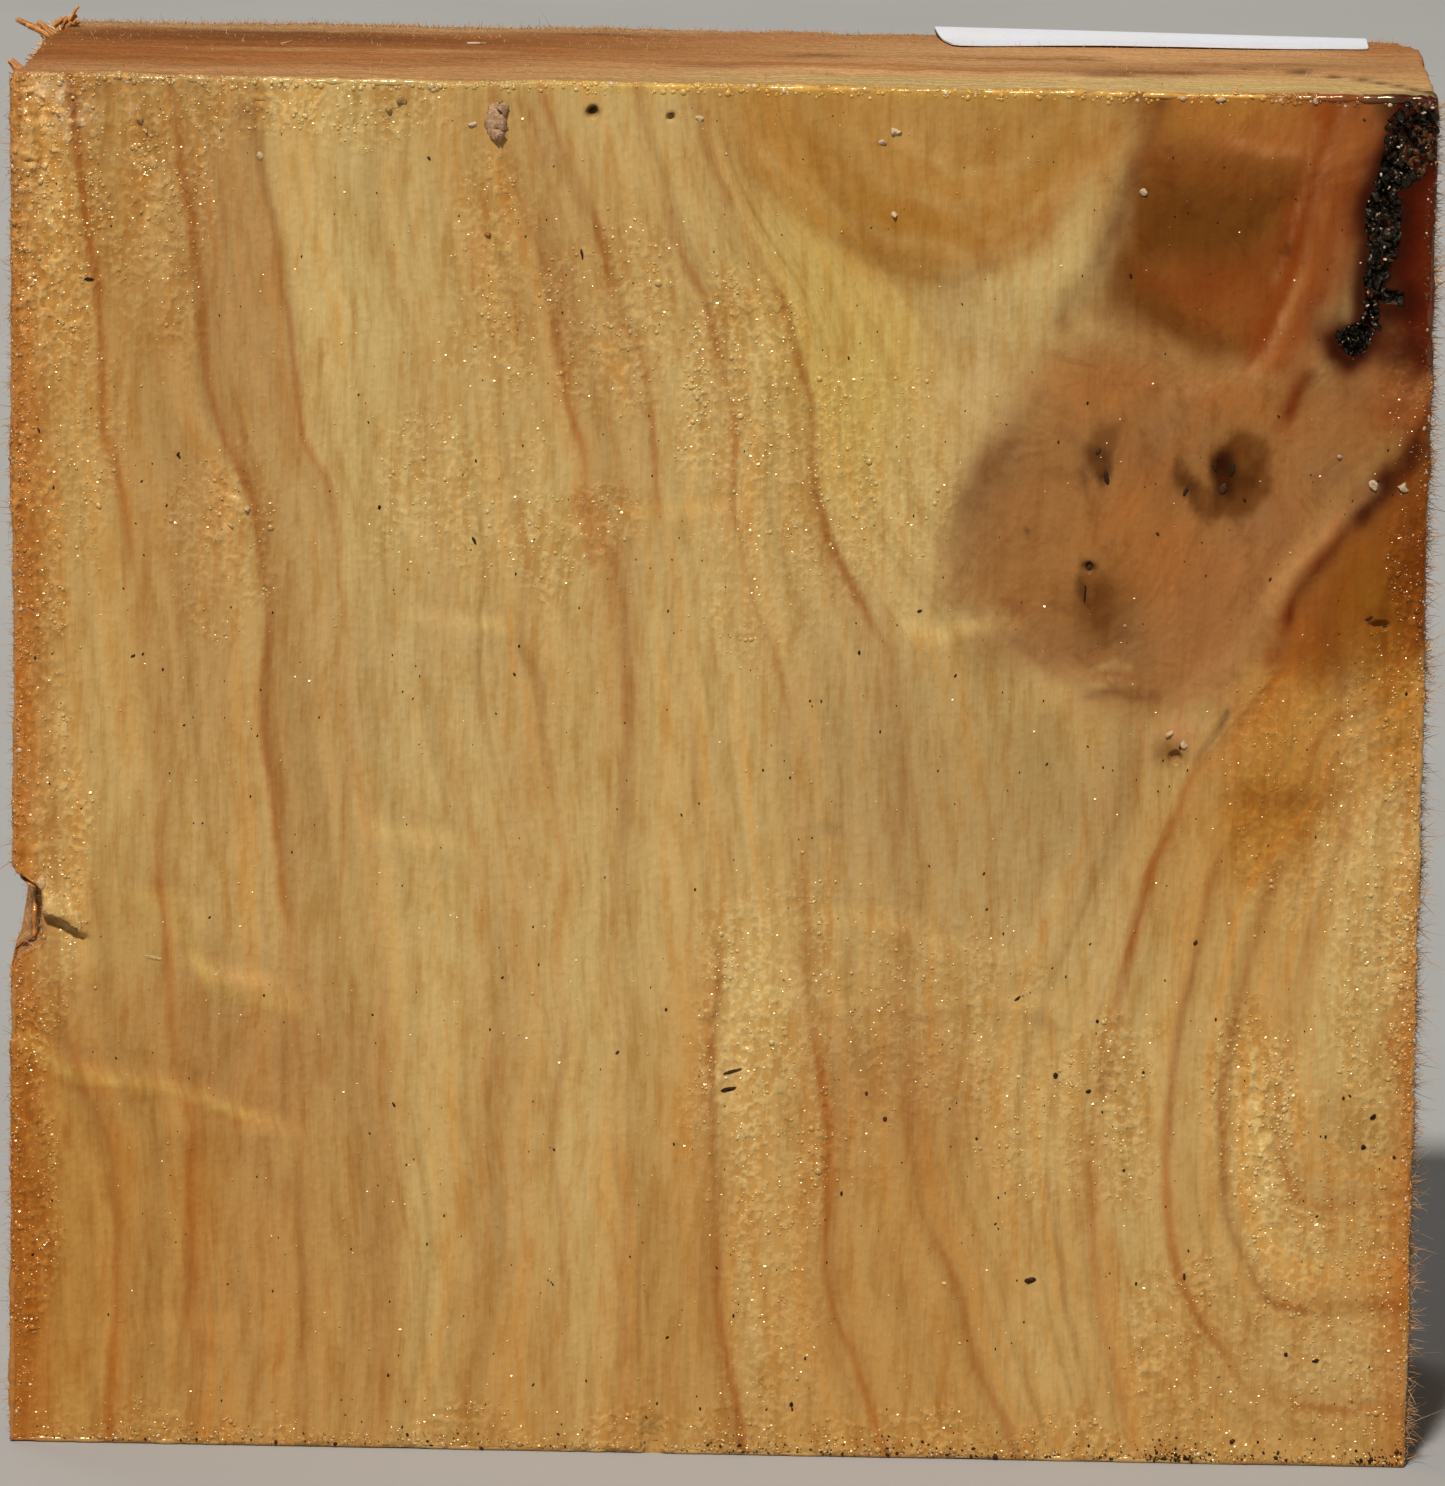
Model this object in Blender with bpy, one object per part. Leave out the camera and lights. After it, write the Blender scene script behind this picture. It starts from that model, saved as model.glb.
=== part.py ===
"""Black cottonwood bowl blank: a sawn block of wood with a waxed face, and its paper label.

The block stands on its lower edge. X runs along the large waxed face, which looks to -Y, and Z is up.
The origin is on the base, under the middle of the block. Sizes are in metres; MM is one millimetre.
"""

import math

import bmesh
import bpy
from mathutils import Matrix, Vector, noise

MM = 0.001

# The sawn block
WIDTH = 190 * MM
DEPTH = 76 * MM
HEIGHT = 187 * MM
LEFT, RIGHT = -WIDTH / 2, WIDTH / 2
FRONT, BACK = -DEPTH / 2, DEPTH / 2

# How finely its faces are divided
FACE_STEP = 3.6 * MM
DEPTH_STEP = 12.5 * MM
EDGE_STRIP = 1.4 * MM  # a narrow row of faces beside each edge, so that the edge can be rounded

# Relief of the sawn and waxed surfaces
EDGE_ROUND = 0.55 * MM  # how far the outer edges are worn back
EDGE_UNEVEN = 0.7  # how much that varies along an edge, as a share
EDGE_LUMP = 9 * MM  # over what length it varies
EDGE_RELIEF = 0.35  # the share of the front's relief that reaches its edges
FRONT_WAVE = 0.3 * MM  # slow waves of the waxed face
FRONT_WAVE_WIDE, FRONT_WAVE_HIGH = 45 * MM, 80 * MM
SAWN_ROUGHNESS = 0.22 * MM  # torn fibres on the bare faces
SAWN_LUMP = 7 * MM
PEBBLE_HEIGHT = 0.45 * MM  # wax crumbs in the rough zones
PEBBLE_SIZE = 6 * MM
PEBBLE_FADE = 3 * MM  # how far a rough zone fades beyond its box
LEDGE_HEIGHT = 0.45 * MM
LEDGE_WIDTH = 3 * MM
LEDGE_STEP = 0.6 * MM  # how far past a ring's line its ledge reaches

# Ridges of wax and saw marks on the front face: height, half width and route (x, z), all in millimetres
WAX_RIDGES = (
    (0.8, 2.2, ((-78.2, 75.6), (-68.7, 73.0))),
    (0.8, 2.2, ((-67.0, 64.8), (-60.3, 62.9), (-55.5, 61.6))),
    (1.0, 2.4, ((-93.2, 55.0), (-86.6, 51.4), (-78.0, 50.6), (-68.5, 47.7), (-61.4, 44.5), (-55.7, 43.8))),
    (0.7, 2.0, ((-28.2, 125.5), (-15.8, 126.4), (-10.1, 128.8), (3.4, 129.3))),
    (0.7, 2.0, ((-41.8, 113.4), (-28.0, 113.2))),
    (0.9, 2.4, ((24.2, 113.5), (32.4, 113.7), (37.2, 114.8))),
    (0.6, 2.0, ((-48.1, 87.0), (-42.8, 84.5), (-34.3, 83.3), (-32.3, 81.4))),
    (0.7, 2.2, ((17.7, 73.9), (24.8, 74.1), (28.8, 70.6), (37.1, 70.1))),
    (0.5, 2.0, ((15.2, 62.0), (46.9, 62.5))),
)

# Growth rings that stand as low ledges on the front face: routes (x, z) in millimetres, top to bottom
RING_LEDGES = (
    ((-63.4, 183), (-59.3, 160), (-56.1, 138), (-53.5, 134)),
    ((-1.2, 175), (5.5, 162), (9.9, 151), (12.4, 136), (20.2, 116), (24.4, 102)),
    ((-0.7, 72), (-0.2, 49), (1.0, 32), (4.4, 5)),
    ((12.9, 60), (15.4, 49), (16.2, 22), (23.2, 4)),
    ((93.7, 142), (85.7, 131), (73.5, 107), (63.5, 94), (58.7, 81), (54.7, 67)),
    ((69.0, 47), (72.7, 28), (79.4, 22), (94.5, 22)),
)

# Rough, pebbly zones of the wax: x from, z from, x to, z to, in millimetres
PEBBLY_ZONES = (
    (-95, 158, -83, 187),
    (-95, 0, -91, 187),
    (-72, 109, -62, 132),
    (-50, 120, -36, 132),
    (-18, 143, -8, 164),
    (-1, 130, 10, 155),
    (-43, 60, -32, 76),
    (-4, 43, 11, 70),
    (4, 1, 10, 40),
    (66, 15, 93, 103),
)

# Lumps of wax on the front face: x, z, width, height and how proud, in millimetres
WAX_LUMPS = (
    (-30.5, 182.0, 4.2, 5.8, 1.4),
    (22.0, 180.8, 3.0, 2.0, 1.0),
    (22.7, 170.0, 2.2, 1.8, 0.8),
    (-3.2, 182.6, 1.8, 1.6, 0.7),
    (55.9, 173.5, 2.0, 1.8, 0.8),
    (87.7, 134.8, 2.0, 2.2, 0.9),
    (91.5, 134.5, 2.4, 2.0, 0.9),
    (-86.5, 180.5, 4.0, 3.4, 0.8),
    (-63.5, 128.8, 1.8, 1.4, 0.7),
    (-85.5, 74.6, 5.0, 2.4, 1.0),
)

# Pits in the front face: x, z, width, height and depth, in millimetres
PITS = (
    (-17.8, 183.1, 1.5, 1.3, 1.2),
    (-7.3, 182.6, 1.1, 1.0, 0.9),
    (88.8, 115.7, 3.4, 1.8, 0.9),
    (61.6, 97.6, 2.8, 3.0, 1.0),
    (-87.6, 70.4, 5.6, 3.2, 2.2),
)
PIT_FLOOR, PIT_MOUTH = 0.35, 0.75  # radii of a pit's floor and of its cutter's outer end, for a size of 1

# The bark pocket, a hollow by the upper right corner: its outline (x, z) in millimetres, and its depth
POCKET_OUTLINE = (
    (86.4, 185.4),
    (89.4, 182.6),
    (87.8, 179.2),
    (86.4, 174.0),
    (85.3, 170.2),
    (86.4, 166.4),
    (85.3, 162.0),
    (85.4, 157.4),
    (83.4, 156.2),
    (81.9, 154.2),
    (84.4, 151.5),
    (87.4, 153.6),
    (88.1, 158.0),
    (91.4, 159.8),
    (89.2, 162.6),
    (90.6, 168.6),
    (90.2, 173.6),
    (92.9, 178.4),
    (94.0, 181.2),
    (93.8, 185.4),
)
POCKET_DEPTH = 3.6 * MM
POCKET_CRUMB = 1.8 * MM  # unevenness of the bark on its floor
CRUMB_SIZE = 3 * MM
POCKET_TAPER = (0.78, 0.96)  # the floor's width and height as shares of the mouth's
POCKET_LEAN = 0.12  # how far its middle line leans to the right, for each unit of height

# The chip broken off the left edge: its outline (x, z) on the front face in millimetres, and its depth there
CHIP_OUTLINE = (
    (-97.0, 81.5),
    (-93.9, 77.2),
    (-92.2, 76.2),
    (-90.9, 71.9),
    (-92.5, 68.7),
    (-94.3, 66.6),
    (-97.0, 65.5),
)
CHIP_DEPTH = 5.5 * MM
CHIP_MEETS = LEFT - 0.3 * MM  # where its slope ends at that depth, just outside the left side

# The dent in the front of the lower edge
DENT_AT = -7.2 * MM
DENT_SIZE = (1.9 * MM, 6.2 * MM)
DENT_DEPTH = 1.4 * MM

# Planes that take off the worn back corners of the top: a point from the corner inwards, and a normal
WORN_CORNERS = (
    ((RIGHT, BACK, HEIGHT), (-1.1, -1.1, -1.0), (1.0, 0.8, 0.9)),
    ((RIGHT, BACK, HEIGHT), (-1.5, -3.5, -0.5), (0.8, 0.3, 0.9)),
    ((LEFT, BACK, HEIGHT), (1.2, -2.0, -1.0), (-1.0, 0.7, 0.9)),
    ((LEFT, BACK, HEIGHT), (0.8, -18.0, -0.9), (-0.8, 0.1, 0.7)),
)

# Torn splinters: foot (x, y, z), direction, length, width and thickness, in millimetres
SPLINTERS = (
    ((-94.0, 8.0, 186.2), (-0.75, 0.1, 0.66), 5.4, 2.2, 1.0),
    ((-93.6, 27.0, 186.4), (0.55, 0.25, 0.5), 6.0, 3.4, 1.0),
    ((-94.2, 22.0, 186.0), (-0.5, 0.2, 0.8), 3.6, 1.5, 0.8),
    ((-94.4, -20.0, 185.8), (-0.75, -0.1, 0.6), 4.0, 1.8, 0.9),
    ((94.4, -36.4, 163.0), (0.8, -0.2, -0.3), 2.8, 1.6, 0.9),
    ((94.4, -36.6, 112.0), (0.8, -0.2, 0.3), 2.6, 1.4, 0.8),
    ((94.4, -36.4, 61.0), (0.8, -0.1, -0.4), 2.6, 1.5, 0.8),
)
SPLINTER_SIDES = 5
SPLINTER_ROOT = 1.2 * MM  # how far its foot is sunk into the wood
SPLINTER_TIP = 0.22  # the tip's size as a share of the foot's

# The paper label, which laps over the back edge of the top
LABEL_LEFT, LABEL_RIGHT = 27.5 * MM, 87.8 * MM
LABEL_ON_TOP = 13 * MM
LABEL_DOWN_BACK = 14 * MM
LABEL_THICKNESS = 0.3 * MM
LABEL_GAP = 0.3 * MM
LABEL_BEND = 1.0 * MM  # inner radius of its fold over the edge
LABEL_LIFT = (1.1 * MM, 0.5 * MM)  # how far its front edge has come up on the left and on the right
LABEL_CORNER = 2.6 * MM
LABEL_COLUMNS = 20

CLEARANCE = 2 * MM  # how far a cutter reaches outside the wood


def clear_scene():
    """Remove every object that is in the file."""
    for old in list(bpy.data.objects):
        bpy.data.objects.remove(old, do_unlink=True)


def material(name, colour, roughness, coat=0.0):
    """A plain Principled BSDF material."""
    made = bpy.data.materials.new(name)
    made.use_nodes = True
    shader = made.node_tree.nodes["Principled BSDF"]
    shader.inputs["Base Color"].default_value = (*colour, 1.0)
    shader.inputs["Roughness"].default_value = roughness
    shader.inputs["Metallic"].default_value = 0.0
    shader.inputs["Coat Weight"].default_value = coat
    return made


def new_object(name, bm, finish=None):
    """Put a bmesh into the scene as a named object, and free it."""
    mesh = bpy.data.meshes.new(name)
    bm.normal_update()
    bm.to_mesh(mesh)
    bm.free()
    made = bpy.data.objects.new(name, mesh)
    bpy.context.scene.collection.objects.link(made)
    if finish:
        mesh.materials.append(finish)
    return made


def as_tool(shape):
    """Show an object only as a wire guide, because it shapes another one."""
    shape.hide_render = True
    shape.display_type = "WIRE"
    return shape


def boolean(target, tool, operation):
    """Add an exact Boolean modifier."""
    step = target.modifiers.new(tool.name, "BOOLEAN")
    step.operation = operation
    step.solver = "EXACT"
    step.object = as_tool(tool)


def distance_to_route(x, z, route):
    """The distance in the XZ plane from a point to a route given in millimetres."""
    place = Vector((x, z))
    nearest = math.inf
    for start, end in zip(route, route[1:]):
        a, b = Vector(start) * MM, Vector(end) * MM
        along = max(0.0, min(1.0, (place - a).dot(b - a) / (b - a).length_squared))
        nearest = min(nearest, (place - a.lerp(b, along)).length)
    return nearest


def side_of_route(x, z, route):
    """How far a point is to the right of a route that runs down the face, at its own height."""
    for (x0, z0), (x1, z1) in zip(route, route[1:]):
        if z1 * MM <= z <= z0 * MM and z0 != z1:
            return x - (x0 + (x1 - x0) * (z0 - z / MM) / (z0 - z1)) * MM
    return None


def ledge(x, z, route):
    """A growth ring's ledge: sharp on its right side, and fading to the left."""
    across = side_of_route(x, z, route)
    if across is None or across > LEDGE_STEP:
        return 0.0
    return LEDGE_HEIGHT * math.exp(across / LEDGE_WIDTH)


def pebbly(x, z):
    """From 0 to 1: how far a point of the front face lies in a rough zone."""
    most = 0.0
    for x0, z0, x1, z1 in PEBBLY_ZONES:
        inside = min(x - x0 * MM, x1 * MM - x, z - z0 * MM, z1 * MM - z)
        most = max(most, min(1.0, 1.0 + inside / PEBBLE_FADE))
    return most


def front_relief(x, z):
    """How far the waxed face stands proud of its sawn plane."""
    proud = FRONT_WAVE * noise.noise(Vector((x / FRONT_WAVE_WIDE, 3.1, z / FRONT_WAVE_HIGH)))
    for height, half_width, route in WAX_RIDGES:
        across = distance_to_route(x, z, route) / (half_width * MM)
        proud += height * MM * math.exp(-across * across)
    for route in RING_LEDGES:
        proud += ledge(x, z, route)
    proud += PEBBLE_HEIGHT * pebbly(x, z) * noise.noise(Vector((x, 0.0, z)) / PEBBLE_SIZE)
    return proud


def grid_places(low, high, step):
    """Where the faces are parted between two edges: a narrow strip at each, and even steps between."""
    first, last = low + EDGE_STRIP, high - EDGE_STRIP
    count = max(1, round((last - first) / step))
    return [first + (last - first) * i / count for i in range(count + 1)]


def divide(bm, axis, places):
    """Cut the whole mesh by planes square to an axis."""
    normal = Vector([float(i == axis) for i in range(3)])
    for place in places:
        everything = bm.verts[:] + bm.edges[:] + bm.faces[:]
        bmesh.ops.bisect_plane(bm, geom=everything, plane_co=normal * place, plane_no=normal, dist=1e-6)


def merge_flat_faces(bm):
    """Make the back and the base one flat face each, because they have no relief."""
    for outwards in (Vector((0, 1, 0)), Vector((0, 0, -1))):
        flat = [f for f in bm.faces if f.normal.dot(outwards) > 0.999]
        inner = [e for f in flat for e in f.edges if all(n in flat for n in e.link_faces)]
        bmesh.ops.dissolve_edges(bm, edges=list(set(inner)), use_verts=True)


def wear(bm):
    """Move the faces' points by their relief, and round the outer edges; the back and the base stay flat."""
    tiny = 0.01 * MM
    for v in bm.verts:
        x, y, z = v.co
        at = [abs(x - LEFT) < tiny, abs(x - RIGHT) < tiny, abs(y - FRONT) < tiny, abs(z - HEIGHT) < tiny]
        on_back, on_base = abs(y - BACK) < tiny, abs(z) < tiny
        edge = sum(at) + on_back + on_base > 1
        rough = SAWN_ROUGHNESS * noise.noise(v.co / SAWN_LUMP)
        inwards = EDGE_ROUND * (1.0 + EDGE_UNEVEN * noise.noise(v.co / EDGE_LUMP)) if edge else 0.0
        if at[0]:
            v.co.x += inwards - rough
        if at[1]:
            v.co.x -= inwards - rough
        if at[2]:
            v.co.y += inwards - front_relief(x, z) * (EDGE_RELIEF if edge else 1.0)
        if at[3]:
            v.co.z -= inwards - rough


def wear_corners(bm):
    """Take off the worn corners with planes, and close the cuts."""
    for corner, inwards, normal in WORN_CORNERS:
        everything = bm.verts[:] + bm.edges[:] + bm.faces[:]
        place = Vector(corner) + Vector(inwards) * MM
        bmesh.ops.bisect_plane(
            bm, geom=everything, plane_co=place, plane_no=Vector(normal), dist=1e-7, clear_outer=True
        )
        rim = [e for e in bm.edges if len(e.link_faces) == 1]
        bmesh.ops.holes_fill(bm, edges=rim, sides=0)
    bmesh.ops.triangulate(bm, faces=bm.faces[:])


def lumps():
    """All the lumps of wax, flat balls half sunk in the face."""
    bm = bmesh.new()
    for x, z, wide, high, proud in WAX_LUMPS:
        made = bmesh.ops.create_icosphere(bm, subdivisions=1, radius=1.0)["verts"]
        place = Vector((x * MM, FRONT, z * MM))
        for v in made:
            uneven = 1.0 + 0.25 * noise.noise(v.co * 1.7 + place / MM)
            v.co = place + Vector((v.co.x * wide / 2, v.co.y * proud, v.co.z * high / 2)) * MM * uneven
    return new_object("wax_lumps", bm)


def pits():
    """All the pits, as cutters."""
    bm = bmesh.new()
    for x, z, wide, high, deep in PITS:
        made = bmesh.ops.create_cone(
            bm, cap_ends=True, segments=8, radius1=PIT_FLOOR, radius2=PIT_MOUTH, depth=1.0,
            matrix=Matrix.Rotation(math.radians(90), 4, "X"),
        )["verts"]
        for v in made:
            depth = -CLEARANCE / 2 if v.co.y < 0 else deep * MM
            v.co = Vector((x * MM + v.co.x * wide * MM, FRONT + depth, z * MM + v.co.z * high * MM))
    return new_object("pits", bm)


def bark_pocket():
    """The cutter of the bark pocket: its outline pushed into the wood, with an uneven floor."""
    bm = bmesh.new()
    mouth = [bm.verts.new((x * MM, FRONT - CLEARANCE, z * MM)) for x, z in POCKET_OUTLINE]
    face = bm.faces.new(mouth)
    middle = sum((v.co for v in mouth), Vector()) / len(mouth)
    floor = bmesh.ops.extrude_face_region(bm, geom=[face])["geom"]
    bottom = [v for v in floor if isinstance(v, bmesh.types.BMVert)]
    for v in bottom:
        middle_x = middle.x + (v.co.z - middle.z) * POCKET_LEAN
        v.co.x = middle_x + (v.co.x - middle_x) * POCKET_TAPER[0]
        v.co.z = middle.z + (v.co.z - middle.z) * POCKET_TAPER[1]
        v.co.y = FRONT + POCKET_DEPTH
    lid = [f for f in floor if isinstance(f, bmesh.types.BMFace)]
    bmesh.ops.triangulate(bm, faces=lid)
    inner = [e for e in bm.edges if all(abs(v.co.y - FRONT - POCKET_DEPTH) < 1e-6 for v in e.verts)]
    bmesh.ops.subdivide_edges(bm, edges=inner, cuts=2, use_grid_fill=True)
    bmesh.ops.triangulate(bm, faces=bm.faces[:])
    for v in bm.verts:
        if v.co.y > FRONT:
            v.co.y += POCKET_CRUMB * noise.noise(v.co / CRUMB_SIZE)
    bmesh.ops.recalc_face_normals(bm, faces=bm.faces[:])
    return new_object("bark_pocket", bm)


def wedge(name, points, depth_low, depth_high, far_x=None):
    """A cutter with the given outline (x, z) between two depths; far_x draws in its deep end to that x."""
    bm = bmesh.new()
    outline = [bm.verts.new((x, depth_low, z)) for x, z in points]
    face = bm.faces.new(outline)
    moved = bmesh.ops.extrude_face_region(bm, geom=[face])["geom"]
    for v in moved:
        if isinstance(v, bmesh.types.BMVert):
            v.co.y = depth_high
            if far_x is not None:
                v.co.x = min(v.co.x, far_x)
    bmesh.ops.recalc_face_normals(bm, faces=bm.faces[:])
    return new_object(name, bm)


def edge_chip():
    """The cutter of the chip broken off the left edge, whose slope meets the left side."""
    points = [(x * MM, z * MM) for x, z in CHIP_OUTLINE]
    return wedge("edge_chip", points, FRONT - CLEARANCE, FRONT + CHIP_DEPTH, far_x=CHIP_MEETS)


def edge_dent():
    """The cutter of the dent in the front of the lower edge."""
    half, high = DENT_SIZE
    points = (
        (DENT_AT - half, high),
        (DENT_AT - 0.3 * half, -CLEARANCE),
        (DENT_AT + 0.9 * half, -CLEARANCE),
        (DENT_AT + half, high * 0.9),
    )
    return wedge("edge_dent", points, FRONT - CLEARANCE, FRONT + DENT_DEPTH)


def splinters():
    """All the torn splinters, flat tapering slivers with their feet in the wood."""
    bm = bmesh.new()
    for foot, direction, length, wide, thick in SPLINTERS:
        along = Vector(direction).normalized()
        reach = length * MM + SPLINTER_ROOT
        made = bmesh.ops.create_cone(
            bm, cap_ends=True, segments=SPLINTER_SIDES, radius1=0.5, radius2=0.5 * SPLINTER_TIP, depth=1.0
        )["verts"]
        turn = along.to_track_quat("Z", "Y")
        for v in made:
            raised = (v.co.z + 0.5) * reach - SPLINTER_ROOT
            v.co = Vector(foot) * MM + turn @ Vector((v.co.x * wide * MM, v.co.y * thick * MM, raised))
    return new_object("splinters", bm)


def build_blank():
    """The block of wood with its wax: one solid."""
    finish = material("waxed_wood", (0.47, 0.29, 0.11), 0.3, coat=0.6)
    bm = bmesh.new()
    bmesh.ops.create_cube(bm, size=1.0)
    bmesh.ops.scale(bm, vec=(WIDTH, DEPTH, HEIGHT), verts=bm.verts[:])
    bmesh.ops.translate(bm, vec=(0, 0, HEIGHT / 2), verts=bm.verts[:])
    divide(bm, 0, grid_places(LEFT, RIGHT, FACE_STEP))
    divide(bm, 2, grid_places(0.0, HEIGHT, FACE_STEP))
    divide(bm, 1, grid_places(FRONT, BACK, DEPTH_STEP))
    bm.normal_update()
    merge_flat_faces(bm)
    wear(bm)
    wear_corners(bm)
    blank = new_object("blank", bm, finish)
    boolean(blank, lumps(), "UNION")
    boolean(blank, splinters(), "UNION")
    boolean(blank, bark_pocket(), "DIFFERENCE")
    boolean(blank, pits(), "DIFFERENCE")
    boolean(blank, edge_chip(), "DIFFERENCE")
    boolean(blank, edge_dent(), "DIFFERENCE")
    return blank


def label_section(lift):
    """The label's section (y, z), from its lifted front edge over the back edge and down the back."""
    under = LABEL_GAP + SAWN_ROUGHNESS
    front_edge = BACK - LABEL_ON_TOP
    bend_y, bend_z = BACK + LABEL_GAP - LABEL_BEND, HEIGHT + under - LABEL_BEND
    section = []
    for share in (0.0, 0.15, 0.35, 0.6, 0.8):
        raised = lift * (1.0 - share) ** 2
        section.append((front_edge + (bend_y - front_edge) * share, HEIGHT + under + raised))
    for degrees in (90, 60, 30, 0):
        turn = math.radians(degrees)
        section.append((bend_y + LABEL_BEND * math.cos(turn), bend_z + LABEL_BEND * math.sin(turn)))
    section.append((BACK + LABEL_GAP, HEIGHT - LABEL_DOWN_BACK / 2))
    section.append((BACK + LABEL_GAP, HEIGHT - LABEL_DOWN_BACK))
    return section


def build_label():
    """The paper label: a thin sheet bent over the back edge, with a rounded corner."""
    finish = material("label_paper", (0.8, 0.8, 0.82), 0.6)
    bm = bmesh.new()
    columns = []
    for i in range(LABEL_COLUMNS + 1):
        share = i / LABEL_COLUMNS
        x = LABEL_LEFT + (LABEL_RIGHT - LABEL_LEFT) * share
        lift = LABEL_LIFT[0] + (LABEL_LIFT[1] - LABEL_LIFT[0]) * share
        columns.append([bm.verts.new((x, y, z)) for y, z in label_section(lift)])
    for left, right in zip(columns, columns[1:]):
        for i in range(len(left) - 1):
            bm.faces.new((left[i], right[i], right[i + 1], left[i + 1]))
    round_corner(columns[0])
    bmesh.ops.recalc_face_normals(bm, faces=bm.faces[:])
    label = new_object("label", bm, finish)
    paper = label.modifiers.new("thickness", "SOLIDIFY")
    paper.thickness = LABEL_THICKNESS
    paper.offset = 1.0 if label.data.polygons[0].normal.z > 0 else -1.0
    paper.use_even_offset = True
    return label


def round_corner(column):
    """Draw in the front corner of the label's left edge, so that it is round."""
    for v in column[:3]:
        from_corner = v.co.y - (BACK - LABEL_ON_TOP)
        if from_corner < LABEL_CORNER:
            away = LABEL_CORNER - from_corner
            v.co.x += LABEL_CORNER - math.sqrt(max(0.0, LABEL_CORNER**2 - away**2))


clear_scene()
build_blank()
build_label()
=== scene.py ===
"""Looks of a black cottonwood bowl blank: a sawn block with a waxed face, a bark pocket and a paper label.

Shapes are worked out in millimetres and put into the meshes in metres. X runs along the waxed face,
which looks to -Y, and Z is up. The origin is on the base, under the middle of the block.
"""

import math

import bmesh
import bpy
import numpy as np
from bpy.props import FloatProperty, FloatVectorProperty, IntProperty, PointerProperty
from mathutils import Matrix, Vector
from mathutils.bvhtree import BVHTree


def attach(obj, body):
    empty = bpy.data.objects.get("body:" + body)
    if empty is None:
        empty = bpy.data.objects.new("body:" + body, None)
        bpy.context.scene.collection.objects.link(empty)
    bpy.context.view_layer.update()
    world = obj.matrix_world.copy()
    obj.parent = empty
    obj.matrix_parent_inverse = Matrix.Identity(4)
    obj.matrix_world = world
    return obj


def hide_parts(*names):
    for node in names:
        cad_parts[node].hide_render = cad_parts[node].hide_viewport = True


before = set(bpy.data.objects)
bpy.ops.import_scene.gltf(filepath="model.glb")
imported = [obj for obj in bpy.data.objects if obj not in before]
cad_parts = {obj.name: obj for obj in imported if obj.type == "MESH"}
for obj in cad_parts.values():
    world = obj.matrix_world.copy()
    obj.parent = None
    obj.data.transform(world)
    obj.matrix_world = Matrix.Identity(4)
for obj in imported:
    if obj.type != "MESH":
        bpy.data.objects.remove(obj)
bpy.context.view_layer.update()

bl_info = {
    "name": "Black cottonwood bowl blank",
    "version": (1, 0, 0),
    "blender": (4, 5, 0),
    "location": "3D View > Sidebar > Bowl blank",
    "description": "Models a waxed bowl blank with its growth rings, bark pocket, torn fibres and label",
    "category": "Object",
}

MM = 0.001

# The sawn block, as in the CAD, in millimetres
LEFT, RIGHT = -95.0, 95.0
FRONT, BACK = -38.0, 38.0
HEIGHT = 187.0

# Where the block's mesh is fine and coarse: place and step in millimetres
COLUMN_STEPS = (
    (-95.0, 0.35), (-93.8, 0.6), (-91.0, 1.0), (26.0, 1.0), (31.0, 0.7), (91.0, 0.66), (94.2, 0.4),
    (95.0, 0.35),
)
ROW_STEPS = (
    (0.0, 0.3), (1.2, 0.5), (4.0, 1.05), (92.0, 1.05), (97.0, 0.84), (184.0, 0.82), (186.0, 0.45),
    (187.0, 0.35),
)
DEPTH_STEPS = ((-38.0, 0.35), (-36.5, 0.9), (-30.0, 3.0), (-12.0, 4.4), (34.0, 4.4), (37.4, 0.7), (38.0, 0.5))
BLOCK_TRIANGLES = 197000

RAY_START = 5.0  # how far in front of the face the rays start that place things on it
RAY_REACH = 0.02  # how far a ray goes, in metres

# Relief, in millimetres
EDGE_ROUND = 0.7
SLOW_WAVE = (0.3, 45.0)  # height and length
PEBBLES = ((0.16, 2.4), (0.12, 1.5))  # height and size, twice
PEBBLE_FADE = 4.5
SAWN = ((0.22, 6.0), (0.16, 2.2))
LEDGE_HEIGHT, LEDGE_FADE = 0.34, 3.0
CRUST_RIDGES, CRUST_SUNK = 1.1, 0.2  # how proud the crust's ridges are, and how far its floor is sunk
TEAR_RISE, TEAR_FADE = 1.7, 7.0  # over what width a torn step rises, and how far it then fades

# Steps torn across the fibres by the saw: how proud, and the route (x, z)
TORN_STEPS = (
    (0.55, ((-80.0, 76.5), (-74.0, 74.6), (-68.7, 73.0))),
    (0.95, ((-71.0, 66.4), (-67.0, 64.8), (-60.3, 62.9), (-54.5, 61.2))),
    (1.1, ((-95.0, 55.6), (-93.2, 55.0), (-86.6, 51.4), (-78.0, 50.4), (-68.5, 47.7), (-61.4, 44.9),
           (-54.7, 43.2))),
    (0.4, ((-29.0, 125.0), (-22.0, 126.6), (-15.8, 126.6), (-10.1, 129.0), (4.4, 129.8))),
    (0.5, ((-41.8, 113.6), (-35.0, 113.2), (-28.0, 112.8))),
    (0.6, ((24.2, 113.0), (28.0, 112.6), (33.4, 113.6), (38.6, 114.2))),
    (0.45, ((-48.1, 87.0), (-45.5, 84.7), (-40.0, 83.9), (-34.3, 83.0), (-31.3, 81.0))),
    (0.5, ((14.0, 73.2), (19.0, 74.2), (25.8, 73.4), (28.8, 70.4), (37.1, 70.2), (41.0, 69.2))),
    (0.3, ((15.2, 62.0), (28.0, 61.2), (46.9, 62.8))),
    (0.25, ((-80.0, 15.0), (-72.0, 16.5), (-60.0, 15.5))),
)

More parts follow.
